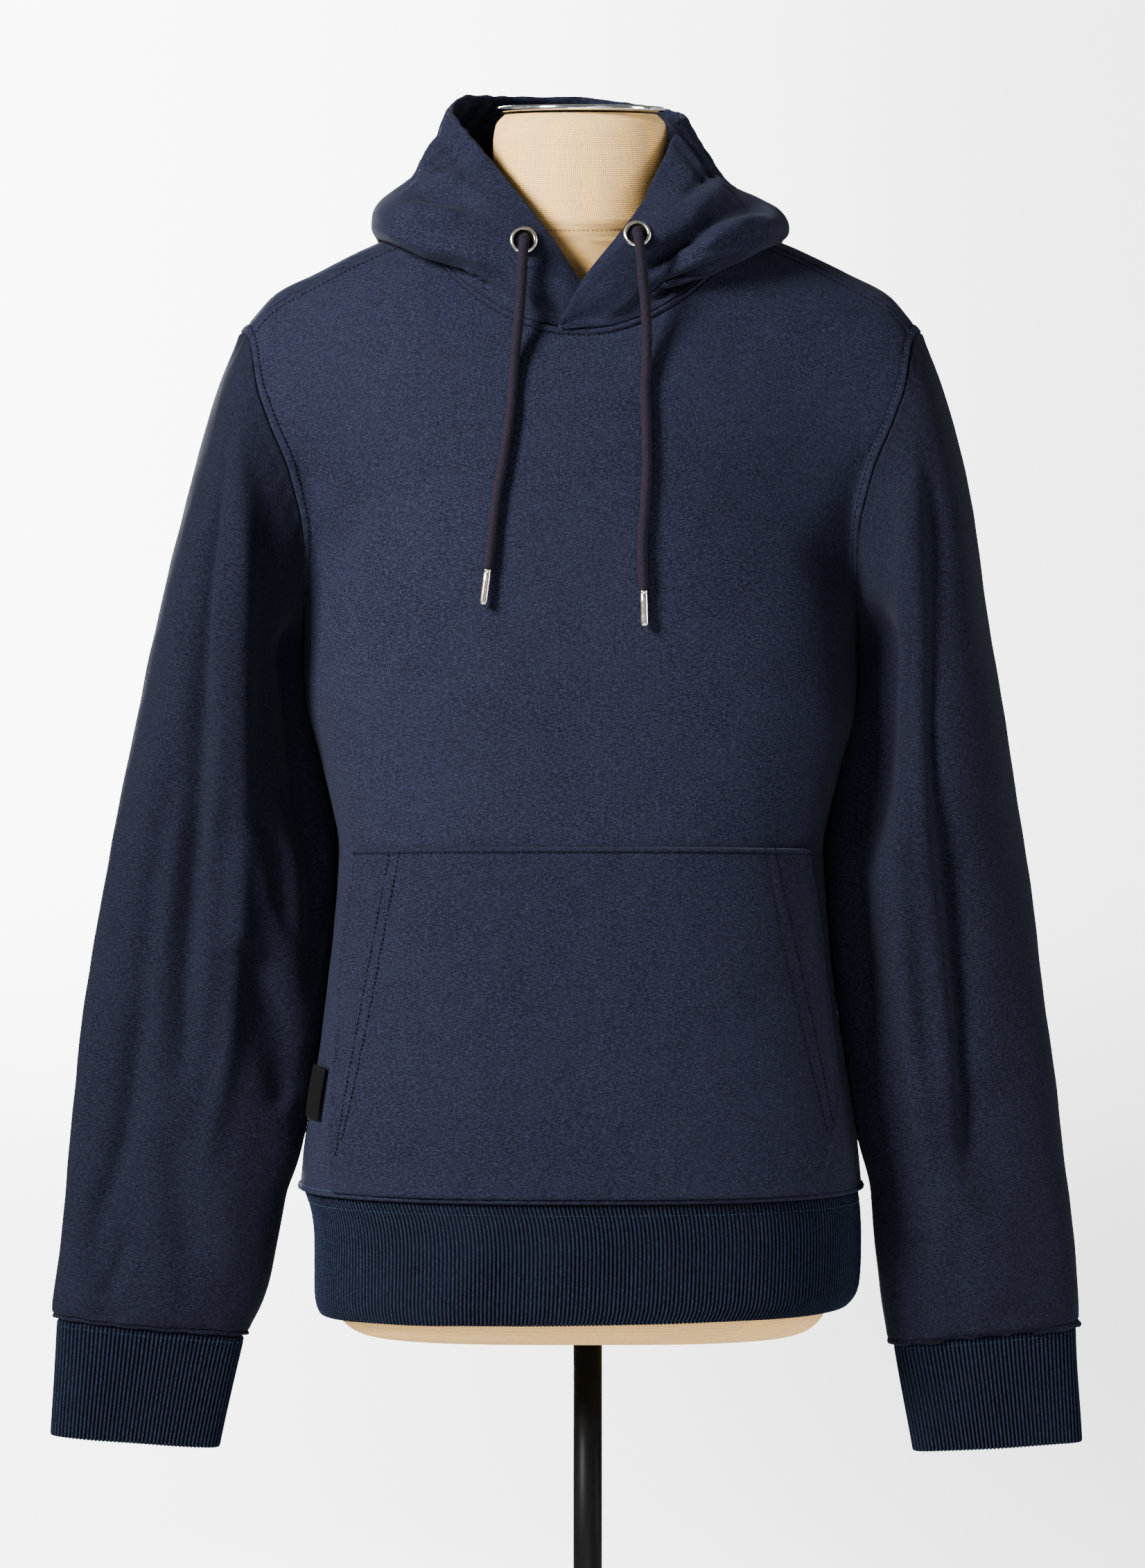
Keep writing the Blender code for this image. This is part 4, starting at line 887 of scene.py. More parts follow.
# ---- finishes ------------------------------------------------------------------------------------
class Nodes:
    """Places and links nodes in one tree."""

    def __init__(self, tree: bpy.types.NodeTree) -> None:
        """Keep the tree."""
        self.tree = tree

    def add(self, kind: str, values: dict[str | int, object] | None = None,
            **settings: object) -> bpy.types.Node:
        """Add a node.

        Args:
            kind: the node's type, without its first word.
            values: inputs by name or number, as sockets to link or as values.
            settings: attributes of the node.

        Returns:
            The node.
        """
        node = self.tree.nodes.new(f"ShaderNode{kind}")
        for key, value in settings.items():
            setattr(node, key, value)
        for key, value in (values or {}).items():
            self.feed(node.inputs[key], value)
        return node

    def feed(self, socket: NodeSocket, value: object) -> None:
        """Link a socket to another one, or set its value.

        Args:
            socket: the input.
            value: a socket, a value, or None to leave it.
        """
        if isinstance(value, bpy.types.NodeSocket):
            self.tree.links.new(value, socket)
        elif value is not None:
            socket.default_value = value

    def effect(self, effect: "Effect", **values: object) -> bpy.types.NodeOutputs:
        """Place a shared effect with its own values, and give its outputs."""
        return self.add("Group", values, node_tree=effect.group()).outputs

    def place(self, kind: str = "Object") -> NodeSocket:
        """Read the place on the piece, or on its cloth when the kind is UV."""
        return self.add("TexCoord").outputs[kind]

    def math(self, operation: str, a: object, b: object = None, c: object = None) -> NodeSocket:
        """Calculate with one to three values."""
        return self.add("Math", {0: a, 1: b, 2: c}, operation=operation).outputs[0]

    def times(self, a: object, b: object) -> NodeSocket:
        """Multiply two values."""
        return self.math("MULTIPLY", a, b)

    def mix(self, factor: object, a: object, b: object, blend: str = "MIX") -> NodeSocket:
        """Mix two colours."""
        return self.add("Mix", {0: factor, 6: a, 7: b}, data_type="RGBA", blend_type=blend).outputs[2]

    def shaded(self, colour: object, factor: object, low: float, high: float) -> NodeSocket:
        """Darken and lighten a colour between two shares of itself."""
        return self.mix(1.0, colour, self.mix(factor, rgb((1, 1, 1), low), rgb((1, 1, 1), high)), "MULTIPLY")

    def noise(self, vector: object, scale: object, detail: float = 2.0, roughness: float = 0.5,
              distortion: float = 0.0) -> NodeSocket:
        """Read soft noise, from 0 to 1."""
        values = {"Vector": vector, "Scale": scale, "Detail": detail, "Roughness": roughness,
                  "Distortion": distortion}
        return self.add("TexNoise", values).outputs["Fac"]

    def streaks(self, vector: object, scale: tuple[float, float, float], detail: float = 2.0,
                roughness: float = 0.5, distortion: float = 0.0) -> NodeSocket:
        """Read noise that is stretched along an axis."""
        long = self.add("VectorMath", {0: vector, 1: scale}, operation="MULTIPLY").outputs[0]
        return self.noise(long, 1.0, detail, roughness, distortion)

    def spread(self, value: object, low: float, high: float, to_low: float = 0.0,
               to_high: float = 1.0) -> NodeSocket:
        """Stretch a range of values onto another, with soft ends."""
        values = {"Value": value, "From Min": low, "From Max": high, "To Min": to_low, "To Max": to_high}
        return self.add("MapRange", values, interpolation_type="SMOOTHSTEP").outputs["Result"]

    def split(self, vector: object) -> tuple[NodeSocket, NodeSocket, NodeSocket]:
        """Take a vector apart."""
        return tuple(self.add("SeparateXYZ", {0: vector}).outputs)


class Surface:
    """A new material with its Principled shader."""

    def __init__(self, name: str) -> None:
        """Make the material.

        Args:
            name: its name.
        """
        self.made = bpy.data.materials.new(name)
        self.made.use_nodes = True
        self.nodes = Nodes(self.made.node_tree)
        self.shader = self.made.node_tree.nodes["Principled BSDF"]

    def finish(self, colour: object, rough: object, bump: tuple[object, float, float] | None = None,
               **values: object) -> bpy.types.Material:
        """Feed the shader.

        Args:
            colour: its base colour.
            rough: its roughness.
            bump: height, strength and distance of its relief.
            values: its other sockets, with underscores in their names.

        Returns:
            The material.
        """
        if bump:
            relief = self.nodes.add("Bump", {"Height": bump[0], "Strength": bump[1], "Distance": bump[2]})
            values["normal"] = relief.outputs["Normal"]
        for name, value in {"base_color": colour, "roughness": rough, **values}.items():
            name = name.replace("_", " ").title().replace("Ior", "IOR")
            self.nodes.feed(self.shader.inputs[name], value)
        return self.made


class Effect(Enum):
    """Effects that more than one finish shares, each one node group."""

    KNIT = "knit_loops"
    WEAVE = "plain_weave"
    NAP = "soft_nap"
    SCUFF = "scuffs"

    def group(self) -> bpy.types.NodeTree:
        """Build the group once, and give it."""
        found = bpy.data.node_groups.get(self.value)
        if found:
            return found
        tree = bpy.data.node_groups.new(self.value, "ShaderNodeTree")
        makers = {Effect.KNIT: knit_group, Effect.WEAVE: weave_group, Effect.NAP: nap_group,
                  Effect.SCUFF: scuff_group}
        makers[self](tree)
        return tree


def sockets(tree: bpy.types.NodeTree, takes: dict[str, float],
            gives: Sequence[str]) -> tuple[Nodes, bpy.types.NodeOutputs, bpy.types.NodeInputs]:
    """Name a group's inputs and outputs.

    Args:
        tree: the group.
        takes: inputs with their usual values.
        gives: outputs.

    Returns:
        The tree's nodes, its inputs as sockets to read, and its outputs as sockets to feed.
    """
    for name, value in takes.items():
        made = tree.interface.new_socket(name, in_out="INPUT", socket_type="NodeSocketFloat")
        made.default_value = value
    for name in gives:
        tree.interface.new_socket(name, in_out="OUTPUT", socket_type="NodeSocketFloat")
    start, end = tree.nodes.new("NodeGroupInput"), tree.nodes.new("NodeGroupOutput")
    return Nodes(tree), start.outputs, end.inputs


def knit_group(tree: bpy.types.NodeTree) -> None:
    """Columns of V-shaped loops, in the cloth's own metres.

    Args:
        tree: the group to fill.
    """
    nodes, takes, gives = sockets(tree, {"Wale": 0.0009, "Course": 0.0007, "Slant": 0.9},
                                  ("Height", "Shade", "Streak"))
    place = nodes.place("UV")
    u, v, _ = nodes.split(place)
    wander = nodes.streaks(place, (120.0, 14.0, 1.0))
    wale = nodes.math("ADD", nodes.math("DIVIDE", u, takes["Wale"]), nodes.times(wander, 0.8))
    off = nodes.math("ABSOLUTE", nodes.math("SUBTRACT", nodes.math("FRACT", wale), 0.5))
    course = nodes.math("ADD", nodes.math("DIVIDE", v, takes["Course"]),
                        nodes.times(off, nodes.times(takes["Slant"], 2.0)))
    loops = nodes.math("SINE", nodes.times(course, 2 * math.pi))
    bow = nodes.math("SUBTRACT", 1.0, nodes.math("POWER", nodes.times(off, 2.0), 3.0))
    height = nodes.times(bow, nodes.math("MULTIPLY_ADD", loops, 0.3, 0.7))
    nodes.feed(gives["Height"], height)
    nodes.feed(gives["Shade"], nodes.math("MULTIPLY_ADD", height, 0.8, 0.2))
    streak = nodes.streaks(place, (340.0, 980.0, 1.0), 3.0, 0.7)
    nodes.feed(gives["Streak"], nodes.spread(streak, 0.38, 0.62))


def weave_group(tree: bpy.types.NodeTree) -> None:
    """Threads that pass over and under each other, of uneven thickness.

    Args:
        tree: the group to fill.
    """
    nodes, takes, gives = sockets(tree, {"Pitch": 0.001, "Unevenness": 0.6},
                                  ("Height", "Warp", "Slub", "Thread"))
    place = nodes.place("UV")
    waves = []
    for run, scale in zip(nodes.split(place), ((25.0, 90.0, 1.0), (90.0, 25.0, 1.0))):
        drift = nodes.math("SUBTRACT", nodes.streaks(place, scale), 0.5)
        turn = nodes.math("MULTIPLY_ADD", drift, takes["Unevenness"],
                          nodes.math("DIVIDE", run, takes["Pitch"]))
        waves.append(nodes.math("SINE", nodes.times(turn, math.pi)))
    swap = nodes.times(*waves)
    nodes.feed(gives["Height"], nodes.math("POWER", nodes.math("ABSOLUTE", swap), 0.6))
    nodes.feed(gives["Warp"], nodes.spread(swap, -0.15, 0.15))
    nodes.feed(gives["Slub"], nodes.spread(nodes.streaks(place, (12.0, 900.0, 1.0)), 0.69, 0.82))
    cross, bands = nodes.streaks(place, (900.0, 9.0, 1.0)), nodes.streaks(place, (70.0, 5.0, 1.0))
    nodes.feed(gives["Thread"], nodes.math("MULTIPLY_ADD", cross, 0.6, nodes.times(bands, 0.4)))


def nap_group(tree: bpy.types.NodeTree) -> None:
    """Brushed fibres, a fine mottle, and a broad unevenness of the dye.

    Args:
        tree: the group to fill.
    """
    nodes, takes, gives = sockets(tree, {"Fibre": 950.0, "Mottle": 60.0},
                                  ("Height", "Fine", "Broad", "Fleck"))
    place = nodes.place()
    fine = nodes.noise(place, takes["Fibre"], 4.0, 0.65)
    mottle = nodes.noise(place, takes["Mottle"], 5.0, 0.6)
    nodes.feed(gives["Height"], nodes.math("MULTIPLY_ADD", fine, 0.6, nodes.times(mottle, 0.4)))
    nodes.feed(gives["Fine"], fine)
    broad = nodes.times(nodes.noise(place, 9.0, 3.0), 0.5)
    nodes.feed(gives["Broad"], nodes.math("MULTIPLY_ADD", mottle, 0.5, broad))
    specks = nodes.add("TexVoronoi", {"Vector": place, "Scale": 85.0}, feature="F1").outputs["Distance"]
    keep = nodes.math("GREATER_THAN", nodes.noise(place, 33.0, 1.0), 0.74)
    nodes.feed(gives["Fleck"], nodes.times(keep, nodes.spread(specks, 0.03, 0.05, 1.0, 0.0)))


def scuff_group(tree: bpy.types.NodeTree) -> None:
    """Fine scratches, dull patches and stained spots of handled metal and enamel.

    Args:
        tree: the group to fill.
    """
    nodes, takes, gives = sockets(tree, {"Size": 60.0}, ("Scratch", "Patch", "Stain"))
    place = nodes.place()
    lines = nodes.streaks(place, (1600.0, 90.0, 1600.0), 3.0, 0.7, 1.5)
    nodes.feed(gives["Scratch"], nodes.spread(lines, 0.60, 0.72))
    nodes.feed(gives["Patch"], nodes.spread(nodes.noise(place, takes["Size"], 6.0, 0.62), 0.48, 0.66))
    tall = nodes.add("VectorMath", {0: place, 1: (1.0, 1.0, 2.0)}, operation="MULTIPLY").outputs[0]
    nodes.feed(gives["Stain"], nodes.spread(nodes.noise(tall, 140.0, 5.0, 0.7, 1.0), 0.60, 0.72))


def rgb(colour: Colour, by: float = 1.0) -> tuple[float, float, float, float]:
    """Make an opaque colour, scaled."""
    return colour[0] * by, colour[1] * by, colour[2] * by, 1.0


@dataclass(frozen=True)
class Knit:
    """A knitted finish: brushed jersey or ribbing.

    Attributes:
        name: the material's name.
        colour: the yarn's colour.
        glow: the colour of its raised fibres.
        wale: width of a column of loops.
        course: height of a row of loops.
        relief: height of the loops, for the bump.
        fuzz: height of the nap, for the bump.
        sheen: how much light its fibres catch at a grazing angle.
        flecks: how light its stray lint is.
        ribs: distance between two ribs, whose furrows are painted darker as shade and whose crowns painted
            lighter as highlight; 0 without ribs.
    """

    name: str
    colour: Colour
    glow: Colour
    wale: float = 0.95 * MM
    course: float = 0.75 * MM
    relief: float = 0.12 * MM
    fuzz: float = 0.25 * MM
    sheen: float = 0.015
    flecks: float = 0.5
    ribs: float = 0.0

    def material(self) -> bpy.types.Material:
        """Build the material."""
        surface = Surface(self.name)
        nodes = surface.nodes
        knit, nap = nodes.effect(Effect.KNIT, Wale=self.wale, Course=self.course), nodes.effect(Effect.NAP)
        loops = nodes.mix(knit["Shade"], rgb(self.colour, 0.42), rgb(self.colour, 1.30))
        yarn = nodes.shaded(loops, knit["Streak"], 0.62, 1.38)
        heather = nodes.shaded(yarn, nodes.spread(nap["Fine"], 0.38, 0.62), 0.52, 1.46)
        if self.ribs:
            # Painted shade in the furrows between ribs and painted highlight on their crowns, from the place
            # across the cloth.
            across = nodes.split(nodes.place("UV"))[0]
            wave = nodes.math("COSINE", nodes.times(across, 2 * math.pi / self.ribs))
            heather = nodes.shaded(heather, nodes.spread(wave, -0.85, 0.95), 0.05, 2.1)
        dyed = nodes.mix(nodes.spread(nap["Broad"], 0.35, 0.65, 0.0, 0.3), heather, rgb(self.glow))
        fibre = nodes.mix(nodes.spread(nap["Fine"], 0.54, 0.78, 0.0, 0.6), dyed, rgb(self.glow, 1.7))
        lint = nodes.mix(nodes.times(nap["Fleck"], self.flecks), fibre, (0.20, 0.21, 0.23, 1.0))
        height = nodes.math("MULTIPLY_ADD", knit["Height"], self.relief,
                            nodes.times(nap["Height"], self.fuzz))
        return surface.finish(lint, nodes.spread(nap["Fine"], 0.2, 0.8, 0.82, 0.97), (height, 0.8, 1.0),
                              sheen_weight=self.sheen, sheen_roughness=0.45,
                              sheen_tint=(0.72, 0.80, 1.0, 1.0), specular_ior_level=0.03)


@dataclass(frozen=True)
class Linen:
    """Coarse plain-woven linen with straw and lilac-grey threads and raised slubs."""

    name: str = "linen"
    flax: Colour = (0.80, 0.48, 0.165)
    straw: Colour = (0.96, 0.57, 0.12)
    lilac: Colour = (0.58, 0.39, 0.24)
    slub: Colour = (0.98, 0.84, 0.56)
    pitch: float = 1.25 * MM

    def material(self) -> bpy.types.Material:
        """Build the material."""
        surface = Surface(self.name)
        nodes = surface.nodes
        weave, nap = nodes.effect(Effect.WEAVE, Pitch=self.pitch), nodes.effect(Effect.NAP)
        warp = nodes.mix(nodes.spread(weave["Thread"], 0.42, 0.60), rgb(self.lilac), rgb(self.straw))
        cloth = nodes.mix(weave["Warp"], warp, rgb(self.flax, 1.12))
        gaps = nodes.mix(nodes.spread(weave["Height"], 0.25, 0.80), rgb(self.flax, 0.26), cloth)
        slubs = nodes.mix(nodes.times(weave["Slub"], 0.8), gaps, rgb(self.slub))
        aged = nodes.mix(nodes.spread(nap["Broad"], 0.42, 0.68, 0.0, 0.4), slubs, rgb(self.flax, 0.72))
        height = nodes.math("MULTIPLY_ADD", weave["Height"], 0.26 * MM, nodes.times(weave["Slub"], 0.15 * MM))
        return surface.finish(aged, nodes.spread(nap["Fine"], 0.2, 0.8, 0.75, 0.95), (height, 0.9, 1.0),
                              sheen_weight=0.03, sheen_roughness=0.5, specular_ior_level=0.12)


@dataclass(frozen=True)
class Metal:
    """Plated metal, brushed or polished, with scuffs and stains."""

    name: str
    colour: Colour
    rough: tuple[float, float]
    size: float
    stained: float = 0.0
    stain: Colour = (0.20, 0.13, 0.08)

    def material(self) -> bpy.types.Material:
        """Build the material."""
        surface = Surface(self.name)
        nodes = surface.nodes
        scuff = nodes.effect(Effect.SCUFF, Size=self.size)
        worn = nodes.mix(nodes.times(scuff["Patch"], 0.35), rgb(self.colour), rgb(self.colour, 0.72))
        stains = nodes.times(scuff["Stain"], self.stained)
        dull = nodes.math("ADD", nodes.spread(scuff["Patch"], 0.0, 1.0, *self.rough),
                          nodes.times(scuff["Scratch"], 0.06))
        return surface.finish(nodes.mix(stains, worn, rgb(self.stain)), dull,
                              (scuff["Scratch"], 0.12, 0.02 * MM),
                              metallic=nodes.spread(stains, 0.0, 1.0, 1.0, 0.2))


@dataclass(frozen=True)
class Enamel:
    """Satin black enamel, rubbed a little grey where it is handled."""

    name: str = "enamel"
    colour: Colour = (0.0022, 0.0023, 0.0026)
    scratch: Colour = (0.03, 0.03, 0.03)

    def material(self) -> bpy.types.Material:
        """Build the material."""
        surface = Surface(self.name)
        nodes = surface.nodes
        scuff = nodes.effect(Effect.SCUFF, Size=24.0)
        rubbed = nodes.mix(nodes.times(scuff["Patch"], 0.4), rgb(self.colour), rgb(self.colour, 1.5))
        scratched = nodes.mix(nodes.times(scuff["Scratch"], 0.15), rubbed, rgb(self.scratch))
        return surface.finish(scratched, nodes.spread(scuff["Patch"], 0.0, 1.0, 0.42, 0.56),
                              (nodes.noise(nodes.place(), 420.0), 0.3, 0.12 * MM),
                              coat_weight=0.0, specular_ior_level=0.035)


@dataclass(frozen=True)
class Yarn:
    """Spun thread or braid: fine twisted strands along the piece."""

    name: str
    colour: Colour
    light: Colour
    pitch: float
    relief: float = 0.10 * MM

    def material(self) -> bpy.types.Material:
        """Build the material."""
        surface = Surface(self.name)
        nodes = surface.nodes
        weave, nap = nodes.effect(Effect.WEAVE, Pitch=self.pitch), nodes.effect(Effect.NAP, Fibre=1500.0)
        strand = nodes.mix(weave["Height"], rgb(self.colour, 0.3), rgb(self.colour, 1.1))
        lit = nodes.mix(nodes.spread(nap["Fine"], 0.45, 0.75, 0.0, 0.7), strand, rgb(self.light))
        height = nodes.math("MULTIPLY_ADD", weave["Height"], self.relief, nodes.times(nap["Fine"], 0.1 * MM))
        return surface.finish(lit, nodes.spread(nap["Fine"], 0.2, 0.8, 0.7, 0.95), (height, 0.8, 1.0),
                              sheen_weight=0.01, sheen_roughness=0.4, specular_ior_level=0.03)


class Finishes:
    """Every material of the hoodie and its stand, built once."""

    DYE = (0.0060, 0.0067, 0.0140)
    RAISED = (0.0087, 0.0097, 0.0186)

    def __init__(self) -> None:
        """Build them."""
        self.jersey = self.cut("jersey", 1.0)
        # The hood, pocket and sleeves use darker copies of the same jersey: painted shade, not a different
        # dye.
        self.hood_jersey_painted_shade = self.cut("hood_jersey_painted_shade", 0.96)
        self.pocket_jersey_painted_shade = self.cut("pocket_jersey_painted_shade", 0.86)
        self.sleeve_jersey_painted_shade = self.cut("sleeve_jersey_painted_shade", 0.60)
        self.ribbing = Knit("ribbing", (0.0025, 0.0036, 0.0080), (0.0037, 0.0051, 0.0102), wale=1.3 * MM,
                            course=0.8 * MM, relief=0.10 * MM, fuzz=0.15 * MM, sheen=0.01, flecks=0.1,
                            ribs=RIB_PITCH).material()
        self.linen = Linen().material()
        self.nickel = Metal("nickel", (0.60, 0.56, 0.50), (0.20, 0.28), 90.0).material()
        self.chrome = Metal("chrome", (0.70, 0.69, 0.67), (0.10, 0.34), 70.0, stained=0.8).material()
        self.enamel = Enamel().material()
        self.cord = Yarn("cord", (0.0070, 0.0056, 0.0098), (0.019, 0.0160, 0.025), 0.8 * MM).material()
        self.label = Yarn("label", (0.0016, 0.0016, 0.0017), (0.0045, 0.0044, 0.0045), 0.45 * MM,
                          0.06 * MM).material()
        self.dark_thread = Yarn("dark_thread", (0.0012, 0.0014, 0.0030), (0.0028, 0.0033, 0.0064),
                                0.3 * MM).material()
        self.light_thread = Yarn("light_thread", (0.020, 0.038, 0.072), (0.042, 0.070, 0.115),
                                 0.3 * MM).material()
        self.linen_thread = Yarn("linen_thread", (0.06, 0.036, 0.018), (0.11, 0.07, 0.04),
                                 0.5 * MM).material()

    def cut(self, name: str, share: float) -> bpy.types.Material:
        """Build a copy of the jersey darkened to a share of its colour, as painted shade."""
        return Knit(name, rgb(self.DYE, share)[:3], rgb(self.RAISED, share)[:3]).material()


# ---- the garment ---------------------------------------------------------------------------------
@dataclass
class BodyPanels:
    """Front and back panels of brushed jersey, sewn at the shoulders and sides."""

    finishes: Finishes
    wall: float = 2.0 * MM
    neck_band: float = 4.8 * MM
    arm_band: float = 6.0 * MM
    waist_band: float = 3.8 * MM
    ease_reach: float = 34 * MM
    side_seam: Roll = Roll(-0.6 * MM, 1.2 * MM)
    front_folds: tuple[Fold, ...] = (
        Fold(((-196, 1262), (-176, 1215), (-160, 1165)), 34, -3.2),
        Fold(((-182, 1240), (-150, 1205), (-118, 1190)), 30, 1.8),
        Fold(((-176, 1160), (-150, 1120), (-120, 1100)), 34, -2),
        Fold(((-168, 1120), (-158, 1060), (-150, 990)), 30, 1.6),
        Fold(((202, 1260), (182, 1210), (166, 1160)), 34, -3.2),
        Fold(((188, 1235), (152, 1200), (120, 1186)), 30, 1.8),
        Fold(((184, 1160), (158, 1115), (130, 1092)), 34, -2),
        Fold(((176, 1110), (162, 1050), (152, 990)), 30, 1.6),
        Fold(((-120, 1330), (-110, 1280), (-96, 1230)), 44, 1.6),
        Fold(((124, 1330), (112, 1280), (98, 1230)), 44, 1.6),
        Fold(((0, 1330), (2, 1240), (0, 1120)), 60, -1.2),
        Fold(((-172, 930), (-140, 905), (-100, 900)), 26, 1.2),
        Fold(((172, 925), (140, 898), (96, 895)), 26, -1.2),
    )
    back_folds: tuple[Fold, ...] = (
        Fold(((-190, 1240), (-150, 1190), (-110, 1160)), 34, -3),
        Fold(((190, 1240), (150, 1190), (112, 1158)), 34, -3),
        Fold(((-176, 1150), (-130, 1100), (-90, 1080)), 38, 2),
        Fold(((176, 1150), (132, 1096), (92, 1078)), 38, 2),
        Fold(((-90, 1060), (-60, 960), (-70, 860)), 44, -1.8),
        Fold(((84, 1050), (66, 950), (60, 850)), 40, -1.6),
        Fold(((-30, 1300), (-10, 1220), (-14, 1120)), 50, 1.6),
        Fold(((-150, 900), (-90, 870), (-20, 880)), 30, 1.4),
    )

    def drape(self, points: Array, normals: Array, face: Face) -> Array:
        """How far a face's own folds and unevenness move its points out."""
        folds = self.front_folds if face is Face.FRONT else self.back_folds
        uneven = 0.5 * MM * swell(points, 0.11, 11) + 0.25 * MM * swell(points, 0.035, 12)
        return folded(points, normals, folds, face) + uneven

    def eased(self, points: Array) -> Array:
        """Round the step between trunk and chest, with the panel's edges left where they are.

        Args:
            points: the panel.

        Returns:
            The rounded panel.
        """
        near = bell(points[..., 2] - BODY.underarm_z, self.ease_reach)
        share = (near * smooth(edge_run(points, 1) / (12 * MM)))[1:-1, 1:-1, None]
        points = points.copy()
        for _ in range(60):
            middle = (points[2:, 1:-1] + points[:-2, 1:-1]) / 2
            points[1:-1, 1:-1] += 0.8 * share * (middle - points[1:-1, 1:-1])
        return points

    def build(self) -> list[bpy.types.Object]:
        """Build both panels."""
        return self.panel(Face.FRONT) + self.panel(Face.BACK)

    def panel(self, face: Face) -> list[bpy.types.Object]:
        """Build a panel and its topstitching.

        Args:
            face: front or back.

        Returns:
            The cloth and its stitches.
        """
        front = face is Face.FRONT
        fine = 1.0 if front else 0.7
        share, arm_start = BODY.neck_share, 0.955
        half = np.unique(np.concatenate([
            np.linspace(0, share, int(30 * fine)), np.linspace(share, arm_start, int(32 * fine)),
            np.linspace(arm_start, 1, 12)]))
        trunk_rows = places(int(74 * fine), fine_start=14, band=0.035)
        chest_rows = places(int(56 * fine), fine_end=14, band=0.045)
        points = self.eased(BODY.panel(face, half, trunk_rows, chest_rows))
        normals = grid_normals(points, False, not front)
        place = np.concatenate([half[:0:-1], half])[None, :]
        side, across = edge_run(points, 1), run_from(points, 1)
        top, low = run_from(points, 0, True), run_from(points, 0)
        chest = smooth((points[..., 2] - BODY.underarm_z + 2 * MM) / (16 * MM))
        on_neck = smooth((share + 0.012 - place) / 0.024)
        lift = self.drape(points, normals, face)
        lift = lift * smooth(top / (14 * MM)) * smooth(side / (12 * MM)) * smooth(low / (10 * MM))
        lift += on_neck * seam_band(top, self.neck_band, rise=1.9 * MM, groove=0.8 * MM)
        lift += (1 - on_neck) * seam_band(top, self.arm_band, rise=0.6 * MM, groove=0.3 * MM)
        lift += seam_band(low, self.waist_band, rise=1.7 * MM, groove=0.6 * MM)
        lift += chest * (seam_band(side, self.arm_band, rise=0.8 * MM, groove=0.45 * MM)
                         + ARMHOLE_ROLL.lift(side))
        lift += chest * smooth(side / (3 * MM)) * pucker(low, side, pitch=13 * MM, size=0.35 * MM,
                                                         reach=12 * MM, seed=21)
        lift += (1 - chest) * self.side_seam.lift(side)
        lift += pucker(across, low, pitch=11 * MM, size=0.3 * MM, reach=10 * MM, seed=22)
        lift += pucker(across, top, pitch=9 * MM, size=0.22 * MM, reach=9 * MM, seed=23) * on_neck
        outer = points + normals * lift[..., None]
        facing = grid_normals(outer, False, not front)
        uv = metric_uv(points, False, (0.0, 0.0 if front else 1.0))
        parts = shell(outer, outer - facing * self.wall, False, not front, uv)
        name = "front_panel" if front else "back_panel"
        made = parts.make(f"{name}_cloth", [self.finishes.jersey], "jersey", [name])
        return [made, self.stitches(face, outer, facing, top, low, place[0], len(trunk_rows) - 1)]

    def stitches(self, face: Face, outer: Array, facing: Array, top: Array, low: Array, place: Array,
                 first_chest: int) -> bpy.types.Object:
        """Sew the panel's topstitches in thread.

        Args:
            face: front or back.
            outer: the panel's outside.
            facing: its directions.
            top: distance from its top edge.
            low: distance from its waist seam.
            place: places of its columns from the middle, 0, to the side, 1.
            first_chest: its first row above the underarms.

        Returns:
            The stitches.
        """
        rows, thread, sunk = StitchRow(), MeshParts(), 0.1 * MM
        columns = np.arange(outer.shape[1], dtype=float)
        neck = np.flatnonzero(place <= BODY.neck_share + 1e-6)
        lines = [GridLine(level_rows(top, self.neck_band + sunk, False)[neck], columns[neck])]
        if face is Face.FRONT:
            tops, half = np.flatnonzero(place >= BODY.neck_share), len(columns) // 2
            for shoulder in (tops[tops < half], tops[tops >= half]):
                lines.append(GridLine(level_rows(top, self.arm_band, False)[shoulder], columns[shoulder]))
        chest = np.arange(first_chest, len(outer))
        for first in (True, False):
            at = level_rows(run_from(outer, 1, not first).T, self.arm_band + sunk, first)[chest]
            lines.append(GridLine(chest.astype(float), at))
        for line in lines:
            rows.sew(thread, line.on(outer), line.on(facing))
        waist = GridLine(level_rows(low, self.waist_band + sunk, True), columns)
        rows.sew(thread, waist.on(outer), waist.on(facing), slot=1)
        return thread.make(f"{face.value}_topstitches",
                           [self.finishes.dark_thread, self.finishes.light_thread], "jersey")


